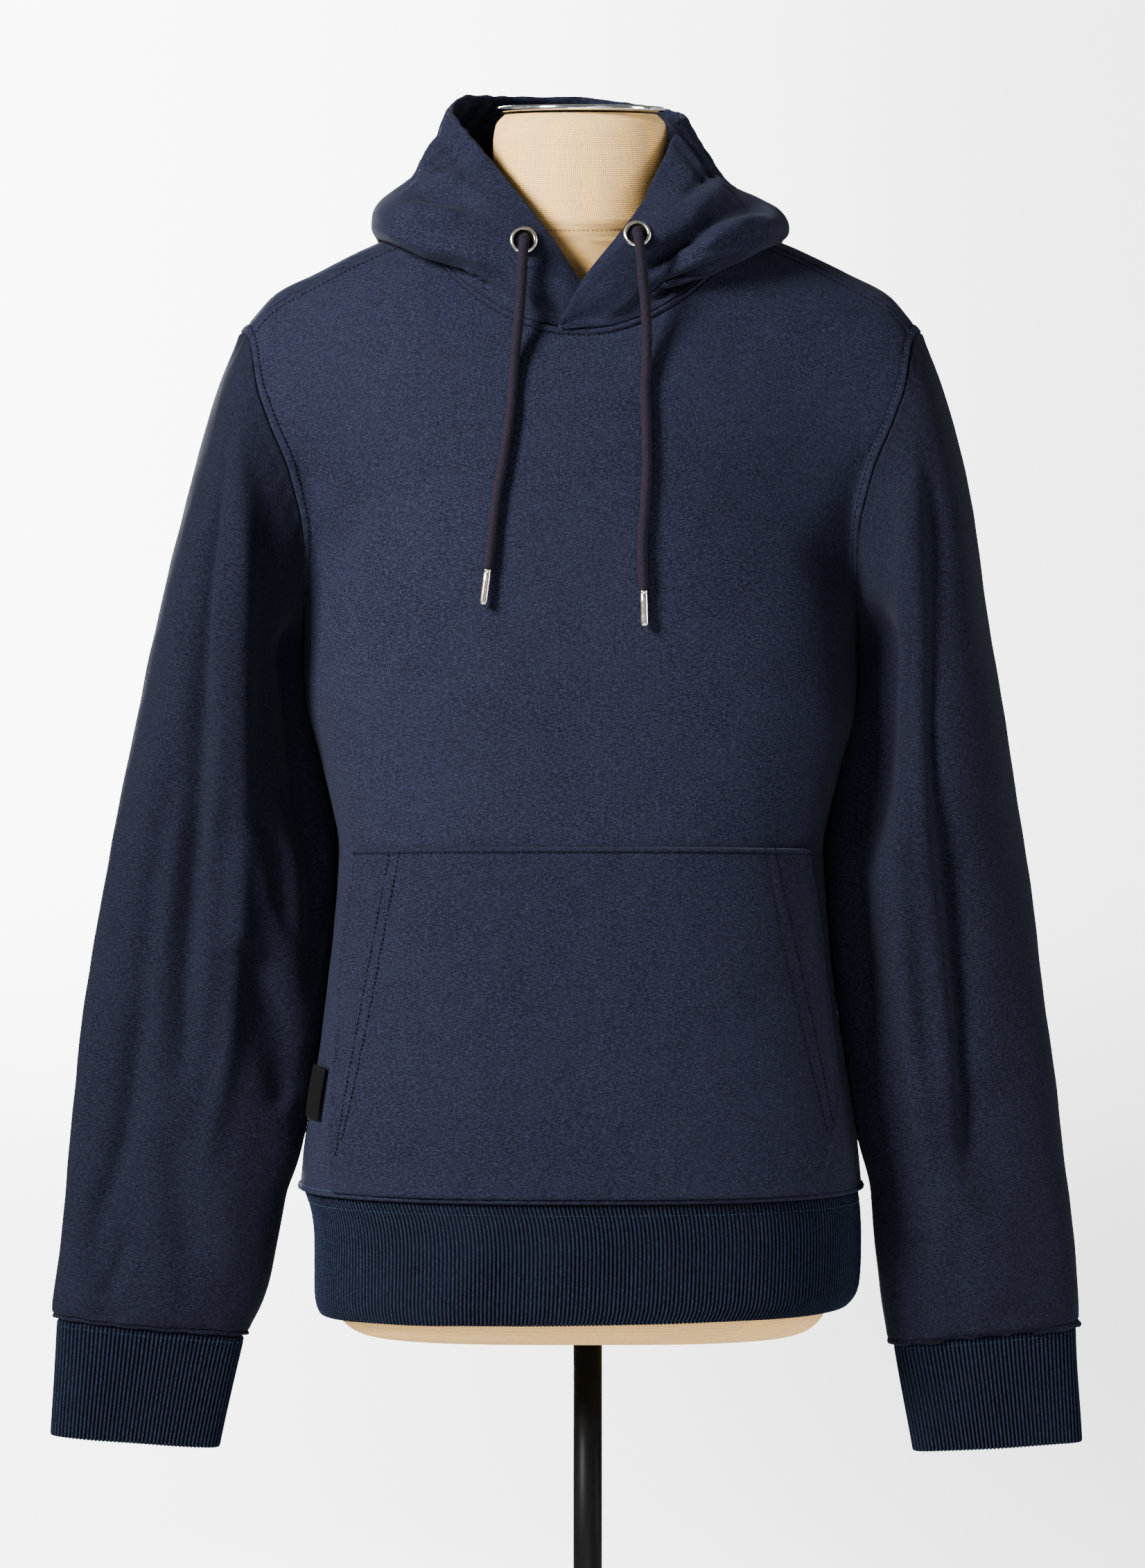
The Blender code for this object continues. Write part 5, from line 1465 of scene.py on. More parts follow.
@dataclass
class Pocket:
    """The kangaroo pocket, sewn on the front panel."""

    finishes: Finishes
    panels: BodyPanels
    wall: float = 2.0 * MM
    ease: float = 2.2 * MM
    mouth_rise: float = 4.0
    mouth_band: float = 3.4 * MM
    fullness: float = 1.5 * MM
    side_draw: Roll = Roll(-0.5 * MM, 0.9 * MM)
    side_roll: Roll = Roll(1.6 * MM, 1.7 * MM, 2.3 * MM)
    crease: Fold = Fold(((0.5, 998.0), (1.5, 900.0), (2.5, 782.0)), 3.0, -0.45, ends=0.1)
    edges: tuple[tuple[float, ...], ...] = (
        (774.5, 160, 154.5), (792, 160.8, 158), (810, 161.2, 162), (833, 160, 164.5),
        (880, 155.5, 160), (932, 151.5, 154), (997, 144, 144))
    hems: tuple[tuple[tuple[float, float], ...], ...] = (
        ((-123, 991.5), (-130, 950), (-141, 890), (-152, 830), (-158.5, 790)),
        ((-116.5, 993), (-124, 950), (-135, 890), (-147.5, 830), (-154.5, 800)),
        ((117.5, 998), (124, 960), (134, 910), (148, 850), (159, 806)),
        ((124, 998), (132, 958), (142, 910), (155, 850), (162.5, 812)))

    def surface(self, x: Array, height: Array) -> tuple[Array, Array]:
        """Find the front panel.

        Args:
            x: places across.
            height: their heights.

        Returns:
            Its points there and its directions.
        """
        step = 1.5 * MM

        def at(x: Array, height: Array) -> Array:
            """Points of the panel before its folds."""
            return vec(x, -BODY.depth_at(x, height, Face.FRONT) - BODY.off_seam, height)

        here = at(x, height)
        normals = unit(np.cross(at(x + step, height) - at(x - step, height),
                                at(x, height + step) - at(x, height - step)))
        return here + normals * self.panels.drape(here, normals, Face.FRONT)[..., None], normals

    def build(self) -> list[bpy.types.Object]:
        """Build the pocket with its hems and stitches."""
        up = places(60, fine_start=6, fine_end=12, band=0.05)[:, None]
        across = places(84, fine_start=10, fine_end=10, band=0.04)[None, :]
        height = self.edges[0][0] + (self.edges[-1][0] - self.edges[0][0]) * up
        half = table(BODY.rows, height, 1)
        power = BODY.squareness / 2
        right, left = (np.arcsin((table(self.edges, height, k) / half) ** power) for k in (1, 2))
        turn = -right + (right + left) * across
        x = half * np.sign(turn) * np.abs(np.sin(turn)) ** (1 / power)
        rise = self.mouth_rise * smooth((up - 0.5) * 2) * (1 - (2 * across - 1) ** 2)
        base, normals = self.surface(x * MM, (height + rise) * MM)
        side, top, low = edge_run(base, 1), run_from(base, 0, True), run_from(base, 0)
        # The pocket stands off the panel, its turned edges lie rounder, and its middle hangs fuller.
        lift = self.ease + self.wall * smooth(np.minimum(side, top) / (2.5 * MM) + 0.45)
        lift += self.fullness * smooth(side / (60 * MM)) * smooth(top / (50 * MM)) * smooth(low / (60 * MM))
        lift += seam_band(top, self.mouth_band, rise=1.5 * MM, groove=0.9 * MM)
        lift += self.side_draw.lift(side) + self.side_roll.lift(side) * smooth(low / (18 * MM))
        spots = from_front(base)
        for hem in self.hems:
            lift += Fold(hem, 2.6, -0.75, ends=0.04).lift(spots)
        for first, second in (self.hems[:2], self.hems[2:]):
            middle = tuple(map(tuple, (np.array(first) + second) / 2))
            lift += Fold(middle, 6.0, 0.45, ends=0.05).lift(spots)
        lift += self.crease.lift(spots)
        lift += pucker(run_from(base, 1), top, pitch=10 * MM, size=0.2 * MM, reach=9 * MM, seed=31)
        outer = base + normals * lift[..., None]
        facing = grid_normals(outer, False)
        inner = outer - facing * np.minimum(self.wall, 0.8 * lift)[..., None]
        parts = shell(outer, inner, False, False, metric_uv(base, False, (0.0, 0.22)))
        made = parts.make("pocket_cloth", [self.finishes.pocket_jersey_painted_shade], "jersey", ["pocket"])
        thread, rows = MeshParts(), StitchRow()
        seam = GridLine(level_rows(top, self.mouth_band + 0.1 * MM, False),
                        np.arange(outer.shape[1], dtype=float))
        rows.sew(thread, seam.on(outer), seam.on(facing))
        flat, directions, blur = spots.reshape(-1, 2), facing.reshape(-1, 3), (0.25, 0.5, 0.25)
        for hem in self.hems:
            line = spline(np.array(hem) * MM, np.linspace(0, 1, 90))
            nearest = np.array([int(np.argmin(((flat - spot) ** 2).sum(axis=1))) for spot in line])
            off = line - flat[nearest]
            seam = outer.reshape(-1, 3)[nearest] + vec(off[:, 0], 0, off[:, 1])
            seam = np.stack([np.convolve(np.pad(seam[:, k], 1, mode="edge"), blur, "valid")
                             for k in range(3)], -1)
            rows.sew(thread, seam + directions[nearest] * 0.4 * MM, directions[nearest])
        return [made, thread.make("pocket_topstitches", [self.finishes.dark_thread], "jersey")]


@dataclass
class RibbedTube:
    """A tube of ribbing with real ribs, from its seam down to its folded edge.

    Attributes:
        finishes: the materials.
        name: the CAD node that it stands for.
        girth: the way around, which sets how many ribs there are.
        section: gives the middle of the ribs for shares around (0 to 1) and down (0 to 1).
        shares: rows, as shares of the way down.
        steps: places across one rib with the height of each, 1 on the crown and -1 in the furrow.
        flip: whether the points run the other way round.
        depth: height of the band.
        row_depth: distance of the faint second row of stitches from the seam.
    """

    finishes: Finishes
    name: str
    girth: float
    section: Callable[[Array, float], Array]
    shares: Array
    steps: tuple[tuple[float, float], ...]
    flip: bool
    depth: float
    row_depth: float
    rise: float = 0.8 * MM
    wall: float = 2.2 * MM
    turned: float = 1.6 * MM
    turn_depth: float = 1.1 * MM
    unevenness: float = 0.7 * MM
    crown_drop: float = 0.22 * MM

    def loop(self, down: float, at: Array) -> Array:
        """Points at even shares of the way around."""
        dense = self.section(np.linspace(0, 1, 1441), down)
        run = line_run(dense)
        return on_line(dense, run, at * run[-1])

    def build(self) -> list[bpy.types.Object]:
        """Build the ribs and the faint second row of stitches."""
        ribs = 4 * round(self.girth / RIB_PITCH / 4)
        at = ((np.arange(ribs)[:, None] + np.array([step[0] for step in self.steps])) / ribs).ravel()
        relief = np.tile([step[1] for step in self.steps], ribs)
        middle = np.stack([self.loop(down, at) for down in self.shares])
        outward = unit((middle - middle.mean(axis=1, keepdims=True)) * np.array([1, 1, 0]))
        across = unit(np.roll(middle, -2, axis=1) - np.roll(middle, 2, axis=1))
        outward = unit(outward - across * (outward * across).sum(-1, keepdims=True))
        far = (self.shares * self.depth)[:, None]
        lift = relief * self.rise * smooth(far / (3.5 * MM) + 0.25) * (0.9 + 0.2 * swell(middle, 0.05, 41))
        lift += self.unevenness * swell(middle, 0.07, 42) * smooth(far / (12 * MM))
        lift -= 0.4 * MM * (1 - smooth(far / (3.0 * MM))) + 1.6 * MM * (1 - smooth(far / (1.1 * MM)))
        lift += Roll(-0.3 * MM, 0.9 * MM, self.row_depth).lift(far)
        # The folded edge turns in, and the crowns of its ribs reach a little lower.
        turn_in = np.clip((far - self.depth) / self.turned + 1, 0, 1)
        lift -= self.turn_depth * (1 - np.sqrt(np.maximum(1 - turn_in ** 2, 0)))
        outer = middle + outward * lift[..., None]
        outer[0, :, 2] += 1.0 * MM
        outer[..., 2] -= (relief + 1) * self.crown_drop * smooth((far - self.depth + 5 * MM) / (5 * MM))
        uv = metric_uv(middle, True)
        uv[..., 0] = np.append(at, 1.0) * ribs * RIB_PITCH
        parts = shell(outer, middle - outward * self.wall, True, self.flip, uv)
        made = parts.make(f"{self.name}_ribs", [self.finishes.ribbing], "ribbing", [self.name])
        thread, columns = MeshParts(), np.arange(outer.shape[1] + 1, dtype=float)
        level = np.interp(self.row_depth, far[:, 0], np.arange(len(far)))
        row = GridLine(np.full(len(columns), level), columns)
        up = row.on(wrapped(outward))
        StitchRow(length=1.5 * MM, gap=1.1 * MM, width=0.4 * MM).sew(
            thread, row.on(wrapped(outer)) + up * 0.25 * MM, up)
        return [made, thread.make(f"{self.name}_coverstitch", [self.finishes.light_thread], "ribbing")]


@dataclass
class Waistband:
    """The ribbed band around the hips."""

    finishes: Finishes
    tilt: float = 2.6
    rows: tuple[tuple[float, ...], ...] = (
        (0, 770.2, -181.5, 181.5, 118.5, 114.5), (0.20, 754.5, -175.5, 182.5, 117.6, 113.6),
        (0.38, 740, -174, 183, 117, 113), (0.62, 721.5, -174.5, 183, 116.2, 112.2),
        (0.84, 704, -175, 182, 115.4, 111.4), (0.93, 697, -174, 179.5, 113.6, 109.8),
        (1, 691.5, -171.5, 174.5, 111.5, 108))

    def section(self, around: Array, down: float) -> Array:
        """Follow the band's middle line.

        Args:
            around: shares of the way around, from +X over the back.
            down: share of the way down.

        Returns:
            The points.
        """
        height, low_x, high_x, front, back = (table(self.rows, np.array(down), k) for k in range(1, 6))
        c, s = np.cos(2 * math.pi * around), np.sin(2 * math.pi * around)
        power = 2 / BODY.squareness
        x = (low_x + high_x) / 2 + (high_x - low_x) / 2 * signed_power(c, power)
        y = np.where(s <= 0, front, back) * signed_power(s, power)
        tilt = self.tilt * smooth(down) * x / 180
        return vec(x, y, height + tilt + 0 * x) * MM

    def build(self) -> list[bpy.types.Object]:
        """Build the band."""
        shares = np.array([0, .015, .03, .05, .075, .10, .15, .22, .30, .39, .48, .57, .66, .75, .83, .89,
                           .93, .955, .972, .984, .993, 1.0])
        steps = ((0.0, 1.0), (0.27, 0.45), (0.5, -1.0), (0.73, 0.45))
        return RibbedTube(self.finishes, "waistband", 940 * MM, self.section, shares, steps, True,
                          78.7 * MM, 7.3 * MM).build()


SLEEVE_ROWS = {
    Side.RIGHT: (
        (281, 1128, 187.5, 1112, 78, 4), (297, 1055, 183, 1035, 66, 2),
        (309, 993, 167.5, 975, 50, -2), (320, 932, 169.5, 915, 41, -6),
        (329, 868, 179, 850, 35, -10), (336, 800, 190.5, 782, 32, -12),
        (343, 728, 204, 712, 30, -13), (347, 694, 216, 682, 27, -13),
        (344.5, 685.6, 220.5, 674.1, 20.3, -13)),
    Side.LEFT: (
        (270, 1126, 187.5, 1112, 80, 2), (284, 1045, 178, 1030, 68, 0),
        (293, 985, 163.5, 968, 55, -2), (302, 915, 170.5, 900, 46, -4),
        (309, 860, 179.5, 845, 41, -5), (316, 805, 189, 790, 37, -5),
        (323, 755, 192.5, 742, 34, -5), (327.5, 690, 201, 678, 28, -5),
        (326, 680.3, 205, 669.1, 20.3, -5)),
}
CUFF_ROWS = {
    Side.RIGHT: ((343.5, 685.3, 221.5, 673.8, 19.5, -13.0), (348.0, 608.5, 238.0, 600.5, 16.0, -13.0)),
    Side.LEFT: ((325.0, 680.0, 206.0, 668.8, 19.5, -5.0), (329.0, 603.0, 219.5, 597.0, 16.0, -5.0)),
}


def tube_section(row: Array, around: Array, squareness: float) -> Array:
    """Points of a sleeve's or cuff's section.

    Args:
        row: outer edge, inner edge, half depth and middle, in millimetres, for each point or for all.
        around: degrees, 0 at the outer edge and 90 in front.
        squareness: exponent of the section.

    Returns:
        The points, for the wearer's left.
    """
    row = np.asarray(row) * MM
    outer = vec(row[..., 0], 0, row[..., 1])
    inner = vec(row[..., 2], 0, row[..., 3])
    angle = np.radians(around)
    c, s = np.cos(angle), np.sin(angle)
    power = 2 / squareness
    out = (outer - inner) / 2 * signed_power(c, power)[..., None]
    y = row[..., 5] - row[..., 4] * signed_power(s, power)
    return (outer + inner) / 2 + out + vec(0, y, 0)


@dataclass
class Sleeve:
    """A long sleeve with its ribbed cuff."""

    finishes: Finishes
    side: Side
    wall: float = 2.0 * MM
    cap: float = 0.24
    roll: float = 3.6 * MM
    length: float = 640.0
    clearance: float = 0.4 * MM
    rest_turn: float = 206.0
    squareness: float = 2.15
    waves: tuple[float, float] = (0.7 * MM, 0.3 * MM)
    head_roll: Roll = Roll(0.9 * MM, 5 * MM)
    head_draw: Roll = Roll(-0.9 * MM, 0.9 * MM)
    give: float = 34 * MM
    allowance_depth: float = 4.0 * MM
    allowance_half: tuple[float, float] = (1.3 * MM, 2.4 * MM)
    base_folds: dict[Side, tuple[Fold, ...]] = field(default_factory=lambda: {
        Side.RIGHT: (
            Fold(((84, 20), (95, 150), (92, 400)), 24, 8, ends=0.10),
            Fold(((157, 20), (158, 200), (157, 380)), 23, -12.5, ends=0.25),
            Fold(((105, 320), (150, 422.4)), 22, -7, ends=0.1),
            Fold(((62, 358.4), (70, 608)), 24, -3.5, ends=0.1),
            Fold(((250, 102.4), (262, 384)), 26, 5, ends=0.1),
            Fold(((215, 352), (250, 448)), 22, -5, ends=0.1)),
        Side.LEFT: (
            Fold(((82, 20), (92, 150), (88, 460)), 24, 8, ends=0.10),
            Fold(((144, 20), (144, 200), (138, 430)), 31, -15, ends=0.25),
            Fold(((112, 396.8), (78, 576)), 24, 4, ends=0.1),
            Fold(((246, 102.4), (258, 396.8)), 26, 5, ends=0.1),
            Fold(((222, 332.8), (256, 422.4)), 22, -5, ends=0.1)),
    })
    fine_folds: dict[Side, tuple[Fold, ...]] = field(default_factory=lambda: {
        Side.RIGHT: (
            Fold(((-214, 1306), (-233, 1259), (-243, 1205), (-247, 1141), (-247, 1073), (-251, 1005),
                  (-256, 936), (-259, 868), (-264, 820)), 15, -13.5, -0.45, 0.2),
            Fold(((-207, 1300), (-220, 1259), (-222, 1205), (-222, 1141), (-222, 1073), (-222, 1005),
                  (-224, 936), (-231, 868), (-244, 800), (-252, 760)), 13, 6, 0, 0.25),
            Fold(((-262, 1080), (-276, 1000), (-286, 930), (-291, 868), (-302, 799), (-320, 740),
                  (-316, 700)), 13, -4.5, 0, 0.15),
            Fold(((-207, 1014), (-201, 988), (-197, 958), (-182, 921)), 10, -5, 0.3),
            Fold(((-216, 1014), (-211, 984), (-206, 950)), 11, 3.2),
            Fold(((-226, 1040), (-238, 980), (-248, 900)), 24, -3.4),
            Fold(((-270, 820), (-262, 760), (-250, 705)), 20, -3.6),
            Fold(((-238, 800), (-232, 750), (-228, 700)), 16, 1.6),
            Fold(((-300, 740), (-306, 715), (-318, 694)), 10, -3)),
        Side.LEFT: (
            Fold(((214, 1306), (224, 1259), (229, 1205), (231, 1141), (231, 1073), (235, 1005), (243, 936),
                  (249, 868), (253, 799), (256, 760)), 15, -12.5, 0.45, 0.2),
            Fold(((198, 1290), (206, 1259), (212, 1205), (213, 1141), (211, 1073), (210, 1005), (212, 936),
                  (218, 868), (226, 799), (232, 760)), 12, 5, 0, 0.25),
            Fold(((214, 1090), (208, 1040), (204, 1000)), 15, -3.6),
            Fold(((222, 960), (226, 900), (232, 850)), 18, -2.2, 0.3),
            Fold(((205, 950), (204, 900), (206, 850)), 16, 1.8),
            Fold(((262, 860), (270, 800), (262, 730)), 22, -3.2),
            Fold(((232, 780), (240, 740), (236, 700)), 16, 1.5)),
    })
    back_folds: tuple[Fold, ...] = (
        Fold(((205, 1180), (222, 1100), (226, 1010)), 24, -3),
        Fold(((240, 1160), (252, 1060), (258, 960)), 28, 2.4),
        Fold(((190, 1000), (222, 962), (252, 940)), 18, -3),
        Fold(((182, 940), (214, 905), (240, 896)), 16, -2.4),
        Fold(((262, 880), (266, 800), (258, 720)), 22, -1.8))

    def point(self, along: Array, around: Array) -> Array:
        """Follow the sleeve's outside, for the wearer's left.

        Args:
            along: 0 at the armhole and 1 at the cuff's seam.
            around: degrees, 0 at the outer edge and 90 in front.

        Returns:
            The points.
        """
        along, around = np.broadcast_arrays(along, around)
        rows = np.array(SLEEVE_ROWS[self.side])
        tube, end, below = (tube_section(spline(rows, t), around, self.squareness) for t in (
            (along - self.cap) / (1 - self.cap), np.zeros(around.shape), np.full(around.shape, 0.02)))
        start = BODY.armhole(around)
        reach = np.linalg.norm(end - start, axis=-1, keepdims=True)
        angle = np.radians(around)
        out = 0.24 + 0.16 * np.cos(angle) + 0.30 * np.sin(angle) ** 2
        leave = unit(vec(out, -0.28 * np.sin(angle), -0.80)) * reach
        arrive = unit(below - end) * reach
        head = hermite(start, leave, end, arrive, np.clip(along / self.cap, 0, 1)[..., None])
        return np.where(along[..., None] >= self.cap, tube, head)

    def build(self) -> list[bpy.types.Object]:
        """Build the sleeve, its stitches and its cuff."""
        name, mirror = self.side.value, self.side.mirror
        along = places(128, fine_start=8, fine_end=14, band=0.018)[:, None]
        around = np.linspace(0, 360, 148, endpoint=False)[None, :]
        base = self.point(along, around)
        base[0] += np.array([0.3 * MM, 0, 0])
        normals = grid_normals(base, True)
        spots = np.stack(np.broadcast_arrays(around * MM, along * self.length * MM), -1)
        seen, facing = base * mirror, normals * mirror
        lift = sum(fold.lift(spots) for fold in self.base_folds[self.side])
        lift = lift + folded(seen, facing, self.fine_folds[self.side])
        lift += folded(base, normals, self.back_folds, Face.BACK)
        lift += self.waves[0] * swell(seen, 0.10, 51) + self.waves[1] * swell(seen, 0.036, 52)
        lift *= smooth(along / 0.12) * smooth((1 - along) / 0.05)
        head, tail = run_from(base, 0), run_from(base, 0, True)
        girth = run_from(wrapped(base), 1)[:, :-1]
        lift += self.head_roll.lift(head) + self.head_draw.lift(head)
        lift += smooth(head / (3 * MM)) * pucker(girth, head, pitch=14 * MM, size=0.5 * MM,
                                                 reach=16 * MM, seed=53)
        lift += seam_band(tail, self.roll, rise=1.4 * MM, groove=1.0 * MM)
        lift += pucker(girth, tail, pitch=19 * MM, size=0.3 * MM, reach=16 * MM, seed=54)
        outer = seen + facing * lift[..., None]
        outer[..., 0] += self.side.sign * self.rest_on_body(outer * mirror, around)
        flip = self.side is Side.RIGHT
        facing = grid_normals(outer, True, flip)
        uv = metric_uv(seen, True, (2.0 if flip else 3.0, 0.0))
        parts = shell(outer, outer - facing * self.wall, True, flip, uv)
        made = parts.make(f"sleeve_{name}_cloth", [self.finishes.sleeve_jersey_painted_shade], "jersey", [f"sleeve_{name}"])
        thread, columns = MeshParts(), np.arange(outer.shape[1] + 1, dtype=float)
        row = GridLine(level_rows(wrapped(tail), self.roll + 0.2 * MM, False), columns)
        StitchRow().sew(thread, row.on(wrapped(outer)), row.on(wrapped(facing)))
        sewn = thread.make(f"sleeve_{name}_topstitches", [self.finishes.dark_thread], "jersey")
        return [made, sewn, self.allowance()] + self.cuff()

    def allowance(self) -> bpy.types.Object:
        """Build the overlocked seam allowance that lies inside the armhole's seam."""
        around = np.linspace(0, 360, 150, endpoint=False)
        line = BODY.armhole(around)
        inward = unit((line.mean(axis=0) - line) * np.array([0, 1, 1]))
        turn = np.linspace(0, 2 * math.pi, 10, endpoint=False)[:, None]
        ring = inward[:, None] * np.cos(turn) * self.allowance_half[0] \
            + np.array([1.0, 0, 0]) * np.sin(turn) * self.allowance_half[1]
        uneven = 1 + 0.12 * np.sin(around * 1.9)[:, None, None]
        seam = line + inward * self.allowance_depth
        grid = ((seam[:, None] + ring * uneven) * self.side.mirror).transpose(1, 0, 2)
        grid = np.concatenate([grid, grid[:1]])
        faces, at = grid_faces(len(grid), len(around), True)
        parts = MeshParts()
        parts.add(grid, faces if self.side is Side.RIGHT else faces[:, ::-1],
                  np.stack([at[..., 1] * 3.5 * MM, at[..., 0] * MM], axis=-1))
        return parts.make(f"armhole_allowance_{self.side.value}", [self.finishes.jersey], "jersey")

    def rest_on_body(self, points: Array, around: Array) -> Array:
        """Lay the inner side against the body, for the wearer's left.

        Args:
            points: the sleeve's points.
            around: their places around it, in degrees.

        Returns:
            How far each point moves along X.
        """
        y, height = points[..., 1], points[..., 2]
        body = BODY.half(height) * BODY.oval(np.abs(y) / BODY.deep(height, Face.FRONT))
        gap = points[..., 0] - body - self.clearance
        # The part that faces the body rests on it between the underarm and the cuff.
        inner = bell(np.maximum(np.abs(around - self.rest_turn) - 18, 0), 27)
        if self.side is Side.RIGHT:     # the label stands between them, so only the part behind it rests
            beside_label = np.exp(-((height - 836 * MM) / (32 * MM)) ** 4)
            inner = inner * (1 - beside_label * (1 - smooth((y + 22 * MM) / (9 * MM))))
        inner = inner * smooth((height - 765 * MM) / (40 * MM)) * smooth((1150 * MM - height) / (80 * MM))
        # Right under the armhole the seam draws the sleeve in.
        under = bell(around - 184, 22) * smooth((1166 * MM - height) / (16 * MM)) \
            * smooth((height - 1000 * MM) / (80 * MM))
        share = 1 - (1 - inner) * (1 - under)
        return -np.clip(gap + 1.6 * MM * under, 0, self.give) * share

    def cuff(self) -> list[bpy.types.Object]:
        """Build the ribbed cuff."""
        rows = np.array(CUFF_ROWS[self.side])

        def section(around: Array, down: float) -> Array:
            """Follow the cuff's middle line.

            Args:
                around: shares of the way around.
                down: share of the way down.

            Returns:
                The points.
            """
            row = rows[0] + (rows[1] - rows[0]) * down
            row[4] *= 1 - 0.03 * math.sin(math.pi * min(down, 1.0))
            return tube_section(row, 360 * around, 2.3) * self.side.mirror

        shares = np.array([0, .015, .03, .05, .08, .11, .16, .22, .30, .38, .46, .54, .62, .70, .78, .85,
                           .90, .94, .96, .975, .986, .994, 1.0])
        steps = ((0.0, 1.0), (0.2, 0.7), (0.38, -0.45), (0.5, -1.0), (0.62, -0.45), (0.8, 0.7))
        return RibbedTube(self.finishes, f"cuff_{self.side.value}", 250 * MM, section, shares, steps,
                          self.side is Side.RIGHT, 75 * MM, 4.4 * MM).build()


HOOD_START = (
    (-12, 79, 1334.6, 79.2, 1335, 79.4, 1335.4, 79.4, 1336),
    (-8.9, 79.2, 1337.4, 79.6, 1338, 79.8, 1338.6, 79.8, 1339.6),
    (0, 80, 1345, 81, 1351, 80.5, 1357, 79, 1363))
HOOD_BACK = ((180.0, 110.0, 1335.0, 146.0, 1292.0, 162.0, 1388.0, 100.0, 1488.0),)
HOOD_ROWS = {
    Side.RIGHT: HOOD_START + (
        (26, 85, 1354, 89.5, 1373, 87, 1394, 75, 1410),
        (50, 103, 1371, 112.5, 1391, 101, 1414, 72, 1438),
        (72, 120, 1386, 138, 1400, 106, 1431, 77, 1459),
        (95, 130, 1391, 141, 1405, 103, 1441, 86, 1475),
        (130.0, 130.0, 1370.0, 156.0, 1366.0, 133.0, 1426.0, 92.0, 1488.0)) + HOOD_BACK,
    Side.LEFT: HOOD_START + (
        (26, 84.5, 1352, 90, 1371, 86.5, 1395, 75, 1405),
        (50, 102, 1364, 119, 1384, 98, 1408, 63.5, 1433),
        (72, 120, 1384, 136, 1396, 94, 1427, 63, 1456),
        (95, 130, 1391, 139.5, 1401, 88, 1437, 66.5, 1470),
        (130.0, 130.0, 1370.0, 154.0, 1366.0, 122.0, 1424.0, 82.0, 1477.0)) + HOOD_BACK,
}


